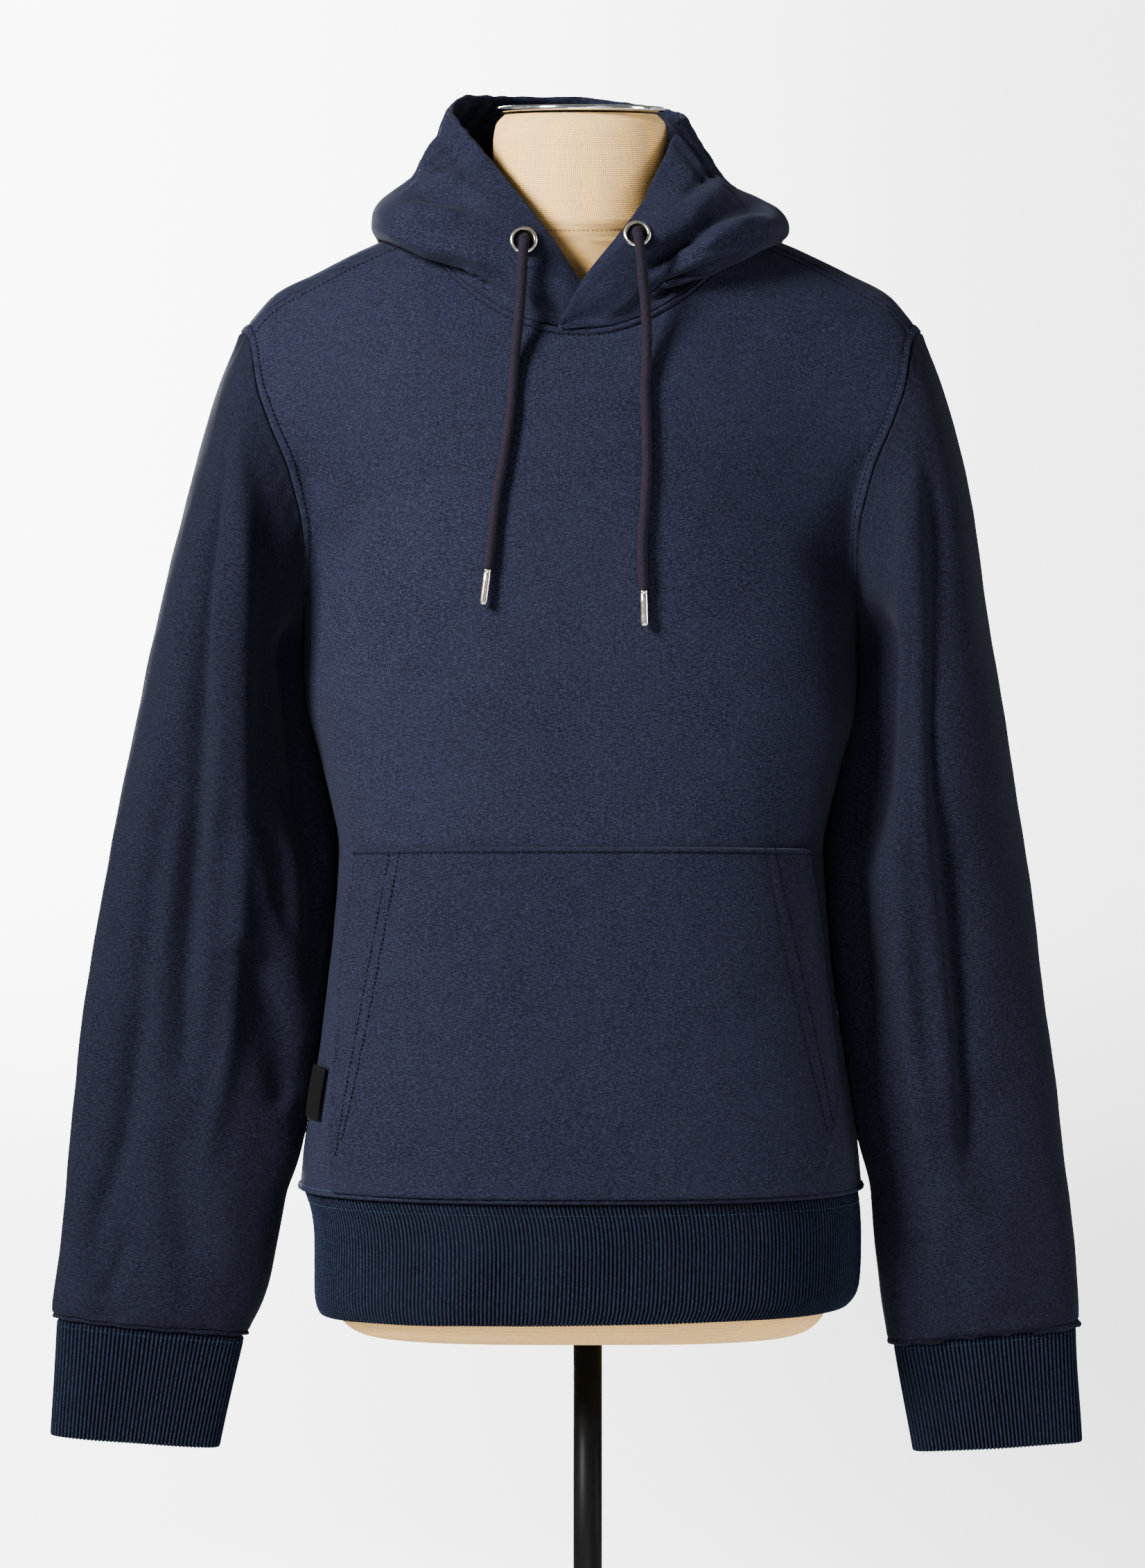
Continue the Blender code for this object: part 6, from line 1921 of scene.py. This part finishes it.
@dataclass
class HoodPanel:
    """One half of the hood, from the neck seam over its fallen lobe to the opening's turned edge."""

    finishes: Finishes
    side: Side
    wall: float = 2.2 * MM
    rim_wall: float = 3.4 * MM
    step: float = 5.6 * MM
    ease: float = 3.4 * MM
    lobe_turn: float = 6 * MM
    stand: float = 8 * MM
    waves: tuple[float, float] = (0.7 * MM, 0.35 * MM)
    gather: float = 2.2 * MM
    seam_draw: Roll = Roll(-0.9 * MM, 1.6 * MM)
    seam_roll: Roll = Roll(0.5 * MM, 4 * MM, 5 * MM)
    foot_roll: Roll = Roll(0.9 * MM, 2.5 * MM, 2.5 * MM)
    rim_roll: Roll = Roll(0.5 * MM, 5 * MM)
    folds: dict[Side, tuple[Fold, ...]] = field(default_factory=lambda: {
        Side.RIGHT: (
            Fold(((-118, 1424), (-99, 1421), (-80, 1419), (-60, 1413)), 10, -7.5, 0, 0.4),
            Fold(((-122, 1411), (-97, 1411), (-74, 1405)), 11, 4.6),
            Fold(((-106, 1435), (-90, 1432), (-76, 1428)), 9, 4),
            Fold(((-107, 1430), (-99, 1444), (-91, 1459)), 9, 2.6),
            Fold(((-84, 1446), (-76, 1432), (-70, 1418)), 8, 1.6),
            Fold(((-96, 1464), (-84, 1449), (-73, 1430)), 7, -2.2),
            Fold(((-136, 1402), (-117, 1395), (-92, 1386), (-68, 1379), (-52, 1371)), 10, 3),
            Fold(((-104, 1387), (-78, 1376), (-52, 1363), (-26, 1349)), 13, -3.4, 0, 0.4),
            Fold(((-48, 1369), (-34, 1357), (-16, 1342)), 7, 2.4),
            Fold(((-34, 1366), (-22, 1353), (-10, 1342)), 5, -2.4)),
        Side.LEFT: (
            Fold(((44, 1371), (60, 1385), (78, 1401), (92, 1410), (110, 1414), (128, 1411)),
                 8, -6.5, 0.0, 0.2),
            Fold(((40, 1366), (54, 1380), (70, 1392), (92, 1403)), 14, -9),
            Fold(((66, 1404), (82, 1416), (101, 1424)), 11, 3),
            Fold(((58, 1379), (92, 1396), (116, 1404), (140, 1397)), 8, 6),
            Fold(((104, 1398), (114, 1403), (128, 1407)), 4, -2.6),
            Fold(((50, 1362), (70, 1374), (92, 1382), (112, 1386)), 6, 2.8),
            Fold(((40, 1350), (62, 1362), (88, 1375), (110, 1383)), 11, -8),
            Fold(((90, 1440), (79, 1431), (66, 1418)), 7, -3.4),
            Fold(((96, 1432), (84, 1424), (72, 1412)), 9, 2.2),
            Fold(((38, 1362), (28, 1350), (14, 1341)), 6, 2.2),
            Fold(((58, 1400), (50, 1386), (44, 1372)), 7, 1.8)),
    })
    back_folds: tuple[Fold, ...] = (
        Fold(((20, 1450), (46, 1400), (84, 1352)), 24, -4),
        Fold(((10, 1420), (14, 1370), (40, 1322)), 26, 3),
        Fold(((70, 1444), (92, 1404), (112, 1380)), 16, 3),
        Fold(((96, 1442), (110, 1410), (124, 1392)), 12, -3.2),
        Fold(((4, 1330), (40, 1316), (84, 1332)), 18, -3))

    def profile(self, seam_r: float, seam_z: float, angle: float, s: Array) -> tuple[Array, Array]:
        """Distance from the neck's axis and height over one section.

        Args:
            seam_r: distance of the neck seam from the axis.
            seam_z: height of the neck seam.
            angle: angle about the neck, 0 in front.
            s: places from the seam, 0, to the rim, 1.

        Returns:
            Distances and heights.
        """
        low, lobe, top, rim = (np.array([table(HOOD_ROWS[self.side], np.array(angle), k + place)
                                         for place in (0, 1)]) * MM for k in (1, 3, 5, 7))
        rise = min(self.stand, 0.22 * (rim[1] - seam_z))
        seam = np.array([seam_r, seam_z])
        under, above = (lobe + (end - lobe) * min(self.lobe_turn / np.linalg.norm(end - lobe), 0.4)
                        for end in (low, top))
        # Up from the neck seam, out under the fallen lobe, round it, and up to the rim.
        route = np.array([seam, seam + np.array([0.25 * rise, rise]), low, under, above, top, rim])
        run = line_run(route)
        at = np.interp(s * 6, np.arange(7), run)
        return table(np.column_stack([run, route[:, 0]]), at), table(np.column_stack([run, route[:, 1]]), at)

    def surface(self, t: Array, s: Array) -> Array:
        """Grid of the panel's outside, for the wearer's left.

        Args:
            t: places around the neck, 0 in front and 2 behind.
            s: places from the neck seam to the rim.

        Returns:
            Rows from the seam up.
        """
        share, over = BODY.neckline(np.abs(t))
        seam = BODY.upper(share, over)
        seam[:, 0] *= np.sign(t) + (t == 0)
        away = np.hypot(seam[:, 0], seam[:, 1] - BODY.neck_y)
        angle = np.degrees(np.arctan2(seam[:, 0], BODY.neck_y - seam[:, 1]))
        columns = []
        for j in range(len(t)):
            radius, height = self.profile(away[j], seam[j, 2], angle[j], s)
            radius = radius + self.side.sign * self.step / 2 * (1 - smooth((angle[j] - 10) / 16))
            turn = math.radians(angle[j])
            columns.append(vec(radius * math.sin(turn), BODY.neck_y - radius * math.cos(turn), height))
        grid = np.stack(columns, axis=1)
        grid[0, :, 2] += 0.4 * MM
        return self.clear_body(grid, angle, s)

    def clear_body(self, grid: Array, angle: Array, s: Array) -> Array:
        """Keep the fallen cloth off the shoulders and the back.

        Args:
            grid: the panel's outside.
            angle: each column's angle about the neck.
            s: each row's place from the neck seam to the rim.

        Returns:
            The grid, moved.
        """
        body = BODY.upper(np.linspace(-1, 1, 81)[None, :], np.linspace(12, 178, 160)[:, None])
        flat, directions = body.reshape(-1, 3), grid_normals(body, False).reshape(-1, 3)
        margin = self.ease * smooth(s / 0.25)[:, None] * smooth((angle - 20) / 25)[None, :]
        tree = KDTree(len(flat))
        for k, point in enumerate(flat):
            tree.insert(point, k)
        tree.balance()
        for i, j in zip(*np.nonzero((margin > 0) & (s[:, None] < 0.75))):
            _, k, _ = tree.find(grid[i, j])
            lift = margin[i, j] - (grid[i, j] - flat[k]) @ directions[k]
            if lift > 0:
                grid[i, j] += directions[k] * lift
        return grid

    def build(self) -> list[bpy.types.Object]:
        """Build the panel."""
        start = -0.08 if self.side is Side.LEFT else -0.09
        t = np.unique(np.concatenate([np.linspace(start, 0.12, 16), np.linspace(0.12, 1.96, 92),
                                      np.linspace(1.96, 2.0, 5)]))
        s = places(72, fine_start=7, fine_end=8, band=0.03)
        base = self.surface(t, s)
        base[:, -1, 0] = 0.15 * MM
        normals = grid_normals(base, False)
        normals[:, -1, 0] = 0
        normals[:, -1] = unit(normals[:, -1])
        seen, facing = base * self.side.mirror, normals * self.side.mirror
        low, top = run_from(base, 0), run_from(base, 0, True)
        front_edge, back_seam = run_from(base, 1), run_from(base, 1, True)
        lift = folded(seen, facing, self.folds[self.side]) + folded(base, normals, self.back_folds, Face.BACK)
        lift += self.waves[0] * swell(seen, 0.06, 61) + self.waves[1] * swell(seen, 0.025, 62)
        gather = self.gather * bell(t - 1.25, 0.5) * smooth((s - 0.72) / 0.2)[:, None]
        lift += gather * np.sin(front_edge / (3.1 * MM) + 1.2 * np.sin(front_edge / (9 * MM)))
        lift *= smooth(low / (9 * MM)) * smooth(top / (7 * MM) + 0.2) * smooth(back_seam / (8 * MM))
        lift *= smooth(front_edge / (10 * MM))
        lift += self.seam_draw.lift(back_seam) * smooth(top / (8 * MM)) + self.seam_roll.lift(back_seam)
        lift += self.foot_roll.lift(low) + self.rim_roll.lift(top)
        outer = seen + facing * lift[..., None]
        flip, name = self.side is Side.RIGHT, self.side.value
        wall = self.wall + Roll(self.rim_wall - self.wall, 14 * MM).lift(top)
        inner = outer - grid_normals(outer, False, flip) * wall[..., None]
        parts = shell(outer, inner, False, flip, metric_uv(base, False, (4.0, 0.0)), 0.5)
        made = parts.make(f"hood_{name}_cloth", [self.finishes.hood_jersey_painted_shade], "jersey", [f"hood_{name}"])
        return [made]


# ---- trims ---------------------------------------------------------------------------------------
CORD_ROUTES = {
    Side.RIGHT: (
        (-36.8, -96.6, 1390.3), (-36.5, -99, 1390.9), (-36.4, -101.7, 1390.9), (-36.5, -104.1, 1389.8),
        (-36.7, -105.8, 1387.7), (-37, -106.4, 1385.1), (-37.4, -106.3, 1378.5), (-38.2, -105.4, 1363),
        (-39.6, -104.1, 1345), (-41.5, -103.3, 1326), (-43, -103.6, 1310), (-44, -105.7, 1296),
        (-45.4, -109.2, 1280), (-49.6, -114, 1251), (-54.4, -116.7, 1224), (-57.6, -119.4, 1196),
        (-59.8, -120.8, 1179.5)),
    Side.LEFT: (
        (36.1, -94.6, 1394.5), (36.1, -96.9, 1395.3), (36.2, -99.8, 1395.6), (36.4, -102.5, 1394.6),
        (36.8, -104.4, 1392.5), (37.2, -105.2, 1389.6), (38.2, -105.4, 1382), (39.6, -104.8, 1366),
        (41.4, -103.9, 1347), (42.2, -103.3, 1328), (42, -103.8, 1311), (41.2, -105.8, 1297),
        (41.8, -111.5, 1270), (42.2, -115.4, 1246), (41, -118.5, 1222), (39.2, -121.3, 1195),
        (40, -122.8, 1166)),
}
EYELET_SEATS = {
    Side.RIGHT: ((-36.98, -95.16, 1389.97), (0.083, -0.967, 0.242)),
    Side.LEFT: ((36.09, -93.24, 1393.94), (0.024, -0.934, 0.356)),
}


@dataclass
class DrawstringEnd:
    """One free end of the braided drawstring, with its metal tip and its eyelet."""

    finishes: Finishes
    side: Side
    radius: float = 3.4 * MM
    carriers: int = 6
    braid_pitch: float = 5.2 * MM
    relief: float = 0.50 * MM
    tip_length: float = 23
    tip_radius: float = 2.6

    def route(self) -> Array:
        """Points of the cord's middle in the torso's frame."""
        return np.array(CORD_ROUTES[self.side]) * MM

    def braid(self) -> MeshParts:
        """Build the braided tube along the route."""
        coarse = spline(self.route(), np.linspace(0, 1, 1200))
        run = line_run(coarse)
        at = np.linspace(0, run[-1], int(run[-1] / (0.55 * MM)))
        middle = on_line(coarse, run, at)
        ahead = unit(np.gradient(middle, axis=0))
        frames = [unit(np.cross(ahead[0], [1.0, 0, 0]))]
        for step in ahead[1:]:
            frames.append(unit(frames[-1] - step * (frames[-1] @ step)))
        a = np.array(frames)
        b = np.cross(ahead, a)
        angle = np.linspace(0, 2 * math.pi, 30, endpoint=False)
        twist, turns = 2 * math.pi * at[:, None] / self.braid_pitch, self.carriers * angle
        wave = np.abs(np.sin(turns + twist) * np.sin(turns - twist)) ** 0.6
        taper = 0.86 + 0.14 * smooth(np.minimum(at, run[-1] - at)[:, None] / (1.6 * MM))
        radius = (self.radius - 0.10 * MM + self.relief * (wave - 0.5)) * taper
        ring = a[:, None] * np.cos(angle)[:, None] + b[:, None] * np.sin(angle)[:, None]
        grid = middle[:, None] + ring * radius[..., None]
        faces, at_uv = grid_faces(len(at), len(angle), True)
        around = at_uv[..., 1] / len(angle) * 2 * math.pi * self.radius
        parts = MeshParts()
        parts.add(grid, faces, np.stack([around, at[at_uv[..., 0]]], -1))
        cap_faces, cap_uv = grid_faces(2, len(angle), True)
        for k, step in ((0, -1), (-1, 1)):
            cap = np.stack([grid[k], np.broadcast_to(middle[k], grid[k].shape)])
            parts.add(cap[::step], cap_faces, cap_uv * 0.5 * MM)
        return parts

    def build(self) -> list[bpy.types.Object]:
        """Build the cord, its tip and its eyelet."""
        name = self.side.value
        cord = self.braid().make(f"cord_{name}_braid", [self.finishes.cord], "cord", [f"cord_{name}"])
        route = self.route()
        down = unit(route[-1] - route[-2])
        r, length = self.tip_radius, self.tip_length
        tip = turned_parts((
            (0, 0), (r * 0.80, 0), (r * 0.96, 0.15), (r, 0.5), (r, 1.6), (r * 0.90, 1.9), (r * 0.90, 2.4),
            (r * 0.99, 2.8), (r, 8), (r * 0.985, 15), (r, length - 2.4), (r * 0.97, length - 1.5),
            (r * 0.86, length - 0.7), (r * 0.66, length - 0.15), (r * 0.4, length), (0, length)),
            40, route[-1] + down * 0.3 * MM, down).make(
                f"tip_{name}_metal", [self.finishes.nickel], "nickel", [f"cord_tip_{name}"])
        seat, outward = (np.array(row) for row in EYELET_SEATS[self.side])
        seat = seat * MM + unit(outward) * 0.9 * MM
        ring = turned_parts((
            (6.1, -0.9), (8.9, -0.9), (9.05, -0.2), (8.95, 0.4), (8.6, 0.95), (8, 1.35), (7.4, 1.45),
            (6.9, 1.3), (6.45, 0.9), (6.15, 0.3), (6.1, -0.9)), 56, seat, outward)
        # A near-black disc in the label's finish sits inside the ring: painted shade standing in for the
        # eyelet's hole.
        turned_parts(((0, -0.75), (6.15, -0.75), (6.15, -0.60), (0, -0.60)), 40, seat, outward, ring, 1)
        eyelet = ring.make(f"eyelet_{name}_ring", [self.finishes.nickel, self.finishes.label], "nickel",
                           [f"eyelet_{name}"])
        return [cord, tip, eyelet]


@dataclass
class SideLabel:
    """A small bare woven label at the wearer's right side seam."""

    finishes: Finishes
    low: float = 819 * MM
    high: float = 853 * MM
    turns: tuple[float, float] = (84.0, 69.0)
    stand_off: float = 2.2 * MM
    belly: float = 0.5 * MM
    hem_roll: Roll = Roll(0.35 * MM, 1.0 * MM, 1.2 * MM)

    def build(self) -> list[bpy.types.Object]:
        """Build the label with its folded border."""
        height = np.linspace(self.low, self.high, 40)[:, None]
        turn = -np.linspace(self.turns[0], self.turns[1], 30)[None, :]
        base = BODY.trunk(turn, height, Face.FRONT)
        normals = grid_normals(base, False)
        border = np.minimum(edge_run(base, 1), edge_run(base, 0))
        lift = self.stand_off + self.hem_roll.lift(border)
        lift += self.belly * np.sin(math.pi * (height - self.low) / (self.high - self.low))
        outer = base + normals * lift[..., None]
        parts = shell(outer, outer - normals * 0.8 * MM, False, False, metric_uv(base, False, (0.0, 6.0)))
        made = parts.make("side_label_cloth", [self.finishes.label], "label", ["side_label"])
        return [made]


# ---- the dress form and its stand ----------------------------------------------------------------
@dataclass
class DressForm:
    """The smooth linen torso with its neck, without arms or legs."""

    finishes: Finishes
    axis_y: float = -8 * MM
    bottom: float = 675.5 * MM
    neck: tuple[tuple[float, float], ...] = (
        (1290, 62), (1340, 66), (1365, 63), (1390, 59.5), (1425, 57.8), (1455, 57.3),
        (1467, 55.5), (1473.5, 50))
    seam_z: float = 1397 * MM
    ease: float = 9 * MM
    shoulder_ease: float = 2.8 * MM
    hips: tuple[float, float] = (163 * MM, 106 * MM)
    plate_half: float = 172 * MM
    neck_blend: float = 14.0
    round_start: float = 700 * MM
    round_depth: float = 24 * MM

    def radius(self, height: Array, bearing: Array) -> Array:
        """Measure the form from its axis, inside the garment.

        Args:
            height: heights to measure at.
            bearing: directions in degrees, 0 in front.

        Returns:
            A radius for each.
        """
        height, bearing = np.broadcast_arrays(height, bearing)
        turn = np.radians(bearing)
        low, high = np.zeros(turn.shape), np.full(turn.shape, 0.3)
        for _ in range(22):
            r = (low + high) / 2
            x, y = r * np.sin(turn), self.axis_y - r * np.cos(turn)
            front = y < 0
            level = np.maximum(height, BODY.waist_z)
            half = np.minimum(BODY.half(level) - self.ease, self.hips[0])
            deep = np.where(front, BODY.deep(level, Face.FRONT), BODY.deep(level, Face.BACK))
            deep = np.minimum(deep - self.ease, self.hips[1])
            hips = (np.abs(x) / half) ** BODY.squareness + (np.abs(y) / deep) ** BODY.squareness < 1
            # The form stays under the garment's shoulders, and lower still beside the neck.
            lifted = height + 3.2 * MM + 8 * MM * (1 - smooth((np.abs(x) / MM - 96) / 28))
            plate = np.maximum(1 - np.minimum(np.abs(x) / self.plate_half, 1) ** 8, 0)
            ease = np.where(lifted < BODY.ridge(x) - 30 * MM, self.ease, self.shoulder_ease)
            depth = np.where(front, BODY.depth_at(x, lifted, Face.FRONT), BODY.depth_at(x, lifted, Face.BACK))
            chest = np.abs(y) < np.maximum(depth - ease, 0) * plate ** 0.5
            inside = np.where(height <= BODY.underarm_z, hips, chest)
            low, high = np.where(inside, r, low), np.where(inside, high, r)
        neck = np.where(height > self.neck[0][0] * MM, table(self.neck, height / MM) * MM, 0.0)
        return np.where(neck > 0, (low ** self.neck_blend + neck ** self.neck_blend) ** (1 / self.neck_blend),
                        low)

    def ring(self, radius: Array, bearing: Array, height: Array) -> Array:
        """Points around the form's axis at a radius."""
        turn = np.radians(bearing)
        return vec(radius * np.sin(turn), self.axis_y - radius * np.cos(turn), height)

    def build(self) -> list[bpy.types.Object]:
        """Build the torso, its neck seam and the thread in it."""
        bottom = self.bottom / MM
        levels = np.concatenate([
            bottom + np.array([0, .3, 1, 2, 3.5, 5.5, 8, 11, 15, 20]), np.linspace(704, 1150, 36),
            np.linspace(1162, 1300, 14), np.linspace(1306, 1455, 54), np.linspace(1457, 1473.5, 12),
            self.seam_z / MM + np.array([-2.6, -1.7, -1.0, -0.5, 0, 0.5, 1.0, 1.7, 2.6])])
        levels = np.sort(levels) * MM
        bearing = np.linspace(0, 360, 128, endpoint=False)
        height = levels[:, None]
        edge = np.clip((self.round_start - height) / (self.round_start - self.bottom), 0, 1)
        radius = self.radius(height, bearing) - self.round_depth * (1 - np.sqrt(1 - edge ** 2))
        radius = radius + Roll(-0.8 * MM, 0.8 * MM, self.seam_z).lift(height)
        grid = self.ring(radius, bearing, height)
        faces, at = grid_faces(len(levels), len(bearing), True)
        parts = MeshParts()
        parts.add(grid, faces, metric_uv(grid, True)[at[..., 0], at[..., 1]])
        cap_faces, cap_at = grid_faces(3, len(bearing), True)
        for k, shares in ((0, (0, .5, 1)), (-1, (1, .5, 0))):
            centre = np.array([0, self.axis_y, levels[k]])
            cap = np.stack([centre + (grid[k] - centre) * share for share in shares])
            parts.add(cap, cap_faces, cap[cap_at[..., 0], cap_at[..., 1] % len(bearing)][..., :2])
        torso = parts.make("form_linen", [self.finishes.linen], "linen", ["form_torso"])
        around = np.linspace(0, 360, 240, endpoint=False)
        height = np.full(240, self.seam_z)
        line = self.ring(self.radius(height, around) - 0.2 * MM, around, height)
        outward = self.ring(1.0, around, 0.0) - np.array([0, self.axis_y, 0])
        thread = MeshParts()
        StitchRow(length=1.7 * MM, gap=1.3 * MM, width=0.5 * MM).sew(thread, line, outward, closed=True)
        return [torso, thread.make("form_neck_stitches", [self.finishes.linen_thread], "linen")]


@dataclass
class Stand:
    """The chromed neck disc, the pole and the round base."""

    finishes: Finishes
    seat: float = 1473.8
    disc_radius: float = 55
    pole_radius: float = 9.5
    base_radius: float = 190
    pole_top: float = 675.2
    disc_y: float = -8 * MM

    def build(self) -> list[bpy.types.Object]:
        """Build the three pieces."""
        enamel, origin, up = self.finishes.enamel, np.zeros(3), np.array([0.0, 0.0, 1.0])
        r, s = self.disc_radius, self.seat
        disc = turned_parts((
            (0, s), (20, s), (20, s + 1.2), (r - 1.4, s + 1.2), (r - 0.5, s + 1.5), (r - 0.1, s + 2.1),
            (r, s + 2.9), (r - 0.1, s + 3.8), (r - 0.5, s + 4.4), (r - 1.4, s + 4.8), (r * 0.6, s + 4.8),
            (6, s + 4.8), (0, s + 4.8)), 128, (0, self.disc_y, 0), up)
        r, s = self.pole_radius, self.pole_top
        pole = turned_parts(((0, 10.3), (r, 10.3), (r, 60), (r, 300), (r, 520), (r, s), (0, s)),
                            64, origin, up)
        r = self.base_radius
        base = turned_parts((
            (0, 0), (r - 1, 0), (r, 1), (r, 7.5), (r - 0.7, 9.2), (r - 2.5, 10), (120, 10), (34, 10),
            (28, 10.8), (25, 13), (24, 17), (22, 36), (21, 39.5), (18, 42), (9.9, 42), (9.9, 10.1),
            (0, 10.1)), 128, origin, up)
        return [disc.make("disc_metal", [self.finishes.chrome], "nickel", ["neck_disc"]),
                pole.make("pole_enamel", [enamel], "enamel", ["pole"], 0.0),
                base.make("base_enamel", [enamel], "enamel", ["base"], 0.0)]


# ---- the room ------------------------------------------------------------------------------------
@dataclass(frozen=True)
class SoftBox:
    """A soft box that hangs in the room.

    Attributes:
        name: its name.
        place: where it hangs.
        aim: what it points at.
        size: its width and height.
        power: its power in watts.
        colour: its colour.
        spread: how wide its beam opens, in degrees.
    """

    name: str
    place: tuple[float, float, float]
    aim: tuple[float, float, float]
    size: tuple[float, float]
    power: float
    colour: Colour = (1.0, 1.0, 1.0)
    spread: float = 180.0

    def hang(self) -> None:
        """Hang it, out of the camera's sight."""
        data = bpy.data.lights.new(self.name, "AREA")
        data.shape, data.size, data.size_y = "RECTANGLE", self.size[0], self.size[1]
        data.energy, data.color, data.spread = self.power, self.colour, math.radians(self.spread)
        made = show(self.name, data)
        made.location, made.visible_camera = self.place, False
        made.rotation_euler = (Vector(self.aim) - Vector(self.place)).to_track_quat("-Z", "Y").to_euler()


@dataclass
class Studio:
    """Camera, soft lights, pale floor and backdrop."""

    eye: tuple[float, float, float] = (-10.0 * MM, -5.2, 1.281)
    tilt: float = 87.3
    focal: float = 182.0
    sensor: float = 36.0
    # Strength of the backdrop's painted glow on its left and on its right.
    painted_backdrop_glow: tuple[float, float] = (9.4, 3.7)
    air: tuple[float, float] = (3.2, 0.23)
    bend: float = 1.2
    lights: tuple[SoftBox, ...] = (
        SoftBox("key", (-2.95, -2.60, 3.1), (-0.05, 0, 1.25), (1.2, 1.4), 190.0, (1.0, 0.985, 0.965), 70.0),
        SoftBox("side", (-4.2, 0.6, 1.9), (0, 0, 1.1), (1.6, 2.4), 5.0),
        SoftBox("fill", (1.6, -4.2, 1.9), (0.05, 0, 1.1), (2.0, 2.4), 12.0, (0.95, 0.975, 1.0)),
        SoftBox("rim", (3.9, -0.3, 1.8), (0.2, 0, 1.05), (1.2, 2.4), 170.0),
        SoftBox("back", (-0.9, 4.4, 1.6), (0.0, 0.1, 1.1), (1.6, 2.0), 100.0, spread=70.0),
        SoftBox("low", (0.0, -2.4, 0.25), (0.0, 0.0, 0.68), (1.6, 0.5), 42.0, (1.0, 0.97, 0.93)))

    def clear(self) -> None:
        """Take away what a new file starts with."""
        for name in ("Cube", "Light", "Camera"):
            if name in bpy.data.objects:
                bpy.data.objects.remove(bpy.data.objects[name], do_unlink=True)

    def camera(self) -> None:
        """Set the camera."""
        data = bpy.data.cameras.new("camera")
        data.sensor_fit, data.sensor_height, data.lens = "VERTICAL", self.sensor, self.focal
        data.clip_end = 60.0
        made = show("camera", data)
        made.location = self.eye
        made.rotation_euler = (math.radians(self.tilt), 0, 0)
        bpy.context.scene.camera = made

    def paper(self) -> bpy.types.Material:
        """Build the backdrop's finish: a painted glow that only the camera sees, brighter on the left and on
        the wall than on the floor, and clear from behind.
        """
        surface = Surface("paper")
        nodes = surface.nodes
        place = nodes.place()
        mottled = nodes.mix(nodes.spread(nodes.noise(place, 1.2), 0.3, 0.7), (0.84, 0.845, 0.85, 1),
                            (0.86, 0.86, 0.86, 1))
        across, _, up = nodes.split(place)
        # Painted light: the glow falls from left to right and is dimmer on the floor.
        painted_backdrop_glow = nodes.times(nodes.spread(across, -0.95, 0.95, *self.painted_backdrop_glow),
                           nodes.spread(up, 0.0, 0.6, 0.6, 1.0))
        glow = nodes.times(painted_backdrop_glow, nodes.add("LightPath").outputs["Is Camera Ray"])
        finish = surface.finish(mottled, 0.9, specular_ior_level=0.1, emission_strength=glow,
                                emission_color=(1.0, 0.995, 0.985, 1.0))
        behind = nodes.add("NewGeometry").outputs["Backfacing"]
        clear = nodes.add("BsdfTransparent").outputs["BSDF"]
        open_back = nodes.add("MixShader", {0: behind, 1: surface.shader.outputs["BSDF"], 2: clear})
        nodes.feed(finish.node_tree.nodes["Material Output"].inputs["Surface"], open_back.outputs["Shader"])
        return finish

    def sweep(self) -> None:
        """Build the floor that rises into the backdrop."""
        r = self.bend
        bend = [(6.0 + r * math.sin(a), r - r * math.cos(a)) for a in np.linspace(0, math.pi / 2, 13)]
        rows = np.array([(-14.0, 0.0), (-3.0, 0.0), (0.0, 0.0)] + bend + [(7.2, 3.0), (7.2, 8.0)])
        grid = vec(np.linspace(-14, 14, 9), rows[:, :1], rows[:, 1:])
        faces, _ = grid_faces(*grid.shape[:2], False)
        mesh = bpy.data.meshes.new("sweep")
        mesh.from_pydata(grid.reshape(-1, 3).tolist(), [], faces.tolist())
        mesh.shade_smooth()
        if mesh.polygons[0].normal.z < 0:
            mesh.flip_normals()
        mesh.materials.append(self.paper())
        made = show("sweep", mesh)

    def build(self) -> None:
        """Build the room."""
        self.sweep()
        world = bpy.data.worlds.new("room")
        world.use_nodes = True
        nodes = Nodes(world.node_tree)
        shade = world.node_tree.nodes["Background"]
        shade.inputs["Color"].default_value = (0.95, 0.965, 1.0, 1.0)
        seen = nodes.add("LightPath").outputs["Is Camera Ray"]
        nodes.feed(shade.inputs["Strength"], nodes.math("MULTIPLY_ADD", seen, *self.air))
        bpy.context.scene.world = world
        for light in self.lights:
            light.hang()


def main() -> None:
    """Build every piece in order, and report it."""
    logging.basicConfig(level=logging.INFO, format="%(message)s")
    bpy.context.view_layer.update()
    studio = Studio()
    studio.clear()
    studio.camera()
    finishes = Finishes()
    panels = BodyPanels(finishes)
    assemblies = [DrawstringEnd(finishes, side) for side in Side]
    assemblies += [panels, Pocket(finishes, panels), Waistband(finishes)]
    assemblies += [Sleeve(finishes, side) for side in Side] + [HoodPanel(finishes, side) for side in Side]
    assemblies += [SideLabel(finishes), DressForm(finishes), Stand(finishes)]
    total = 0
    for assembly in assemblies:
        for piece in assembly.build():
            count = sum(len(face.vertices) - 2 for face in piece.data.polygons)
            total += count
            LOG.info("%s: %d triangles", piece.name, count)
    LOG.info("in all: %d triangles", total)
    studio.build()


if __name__ == "__main__":
    main()
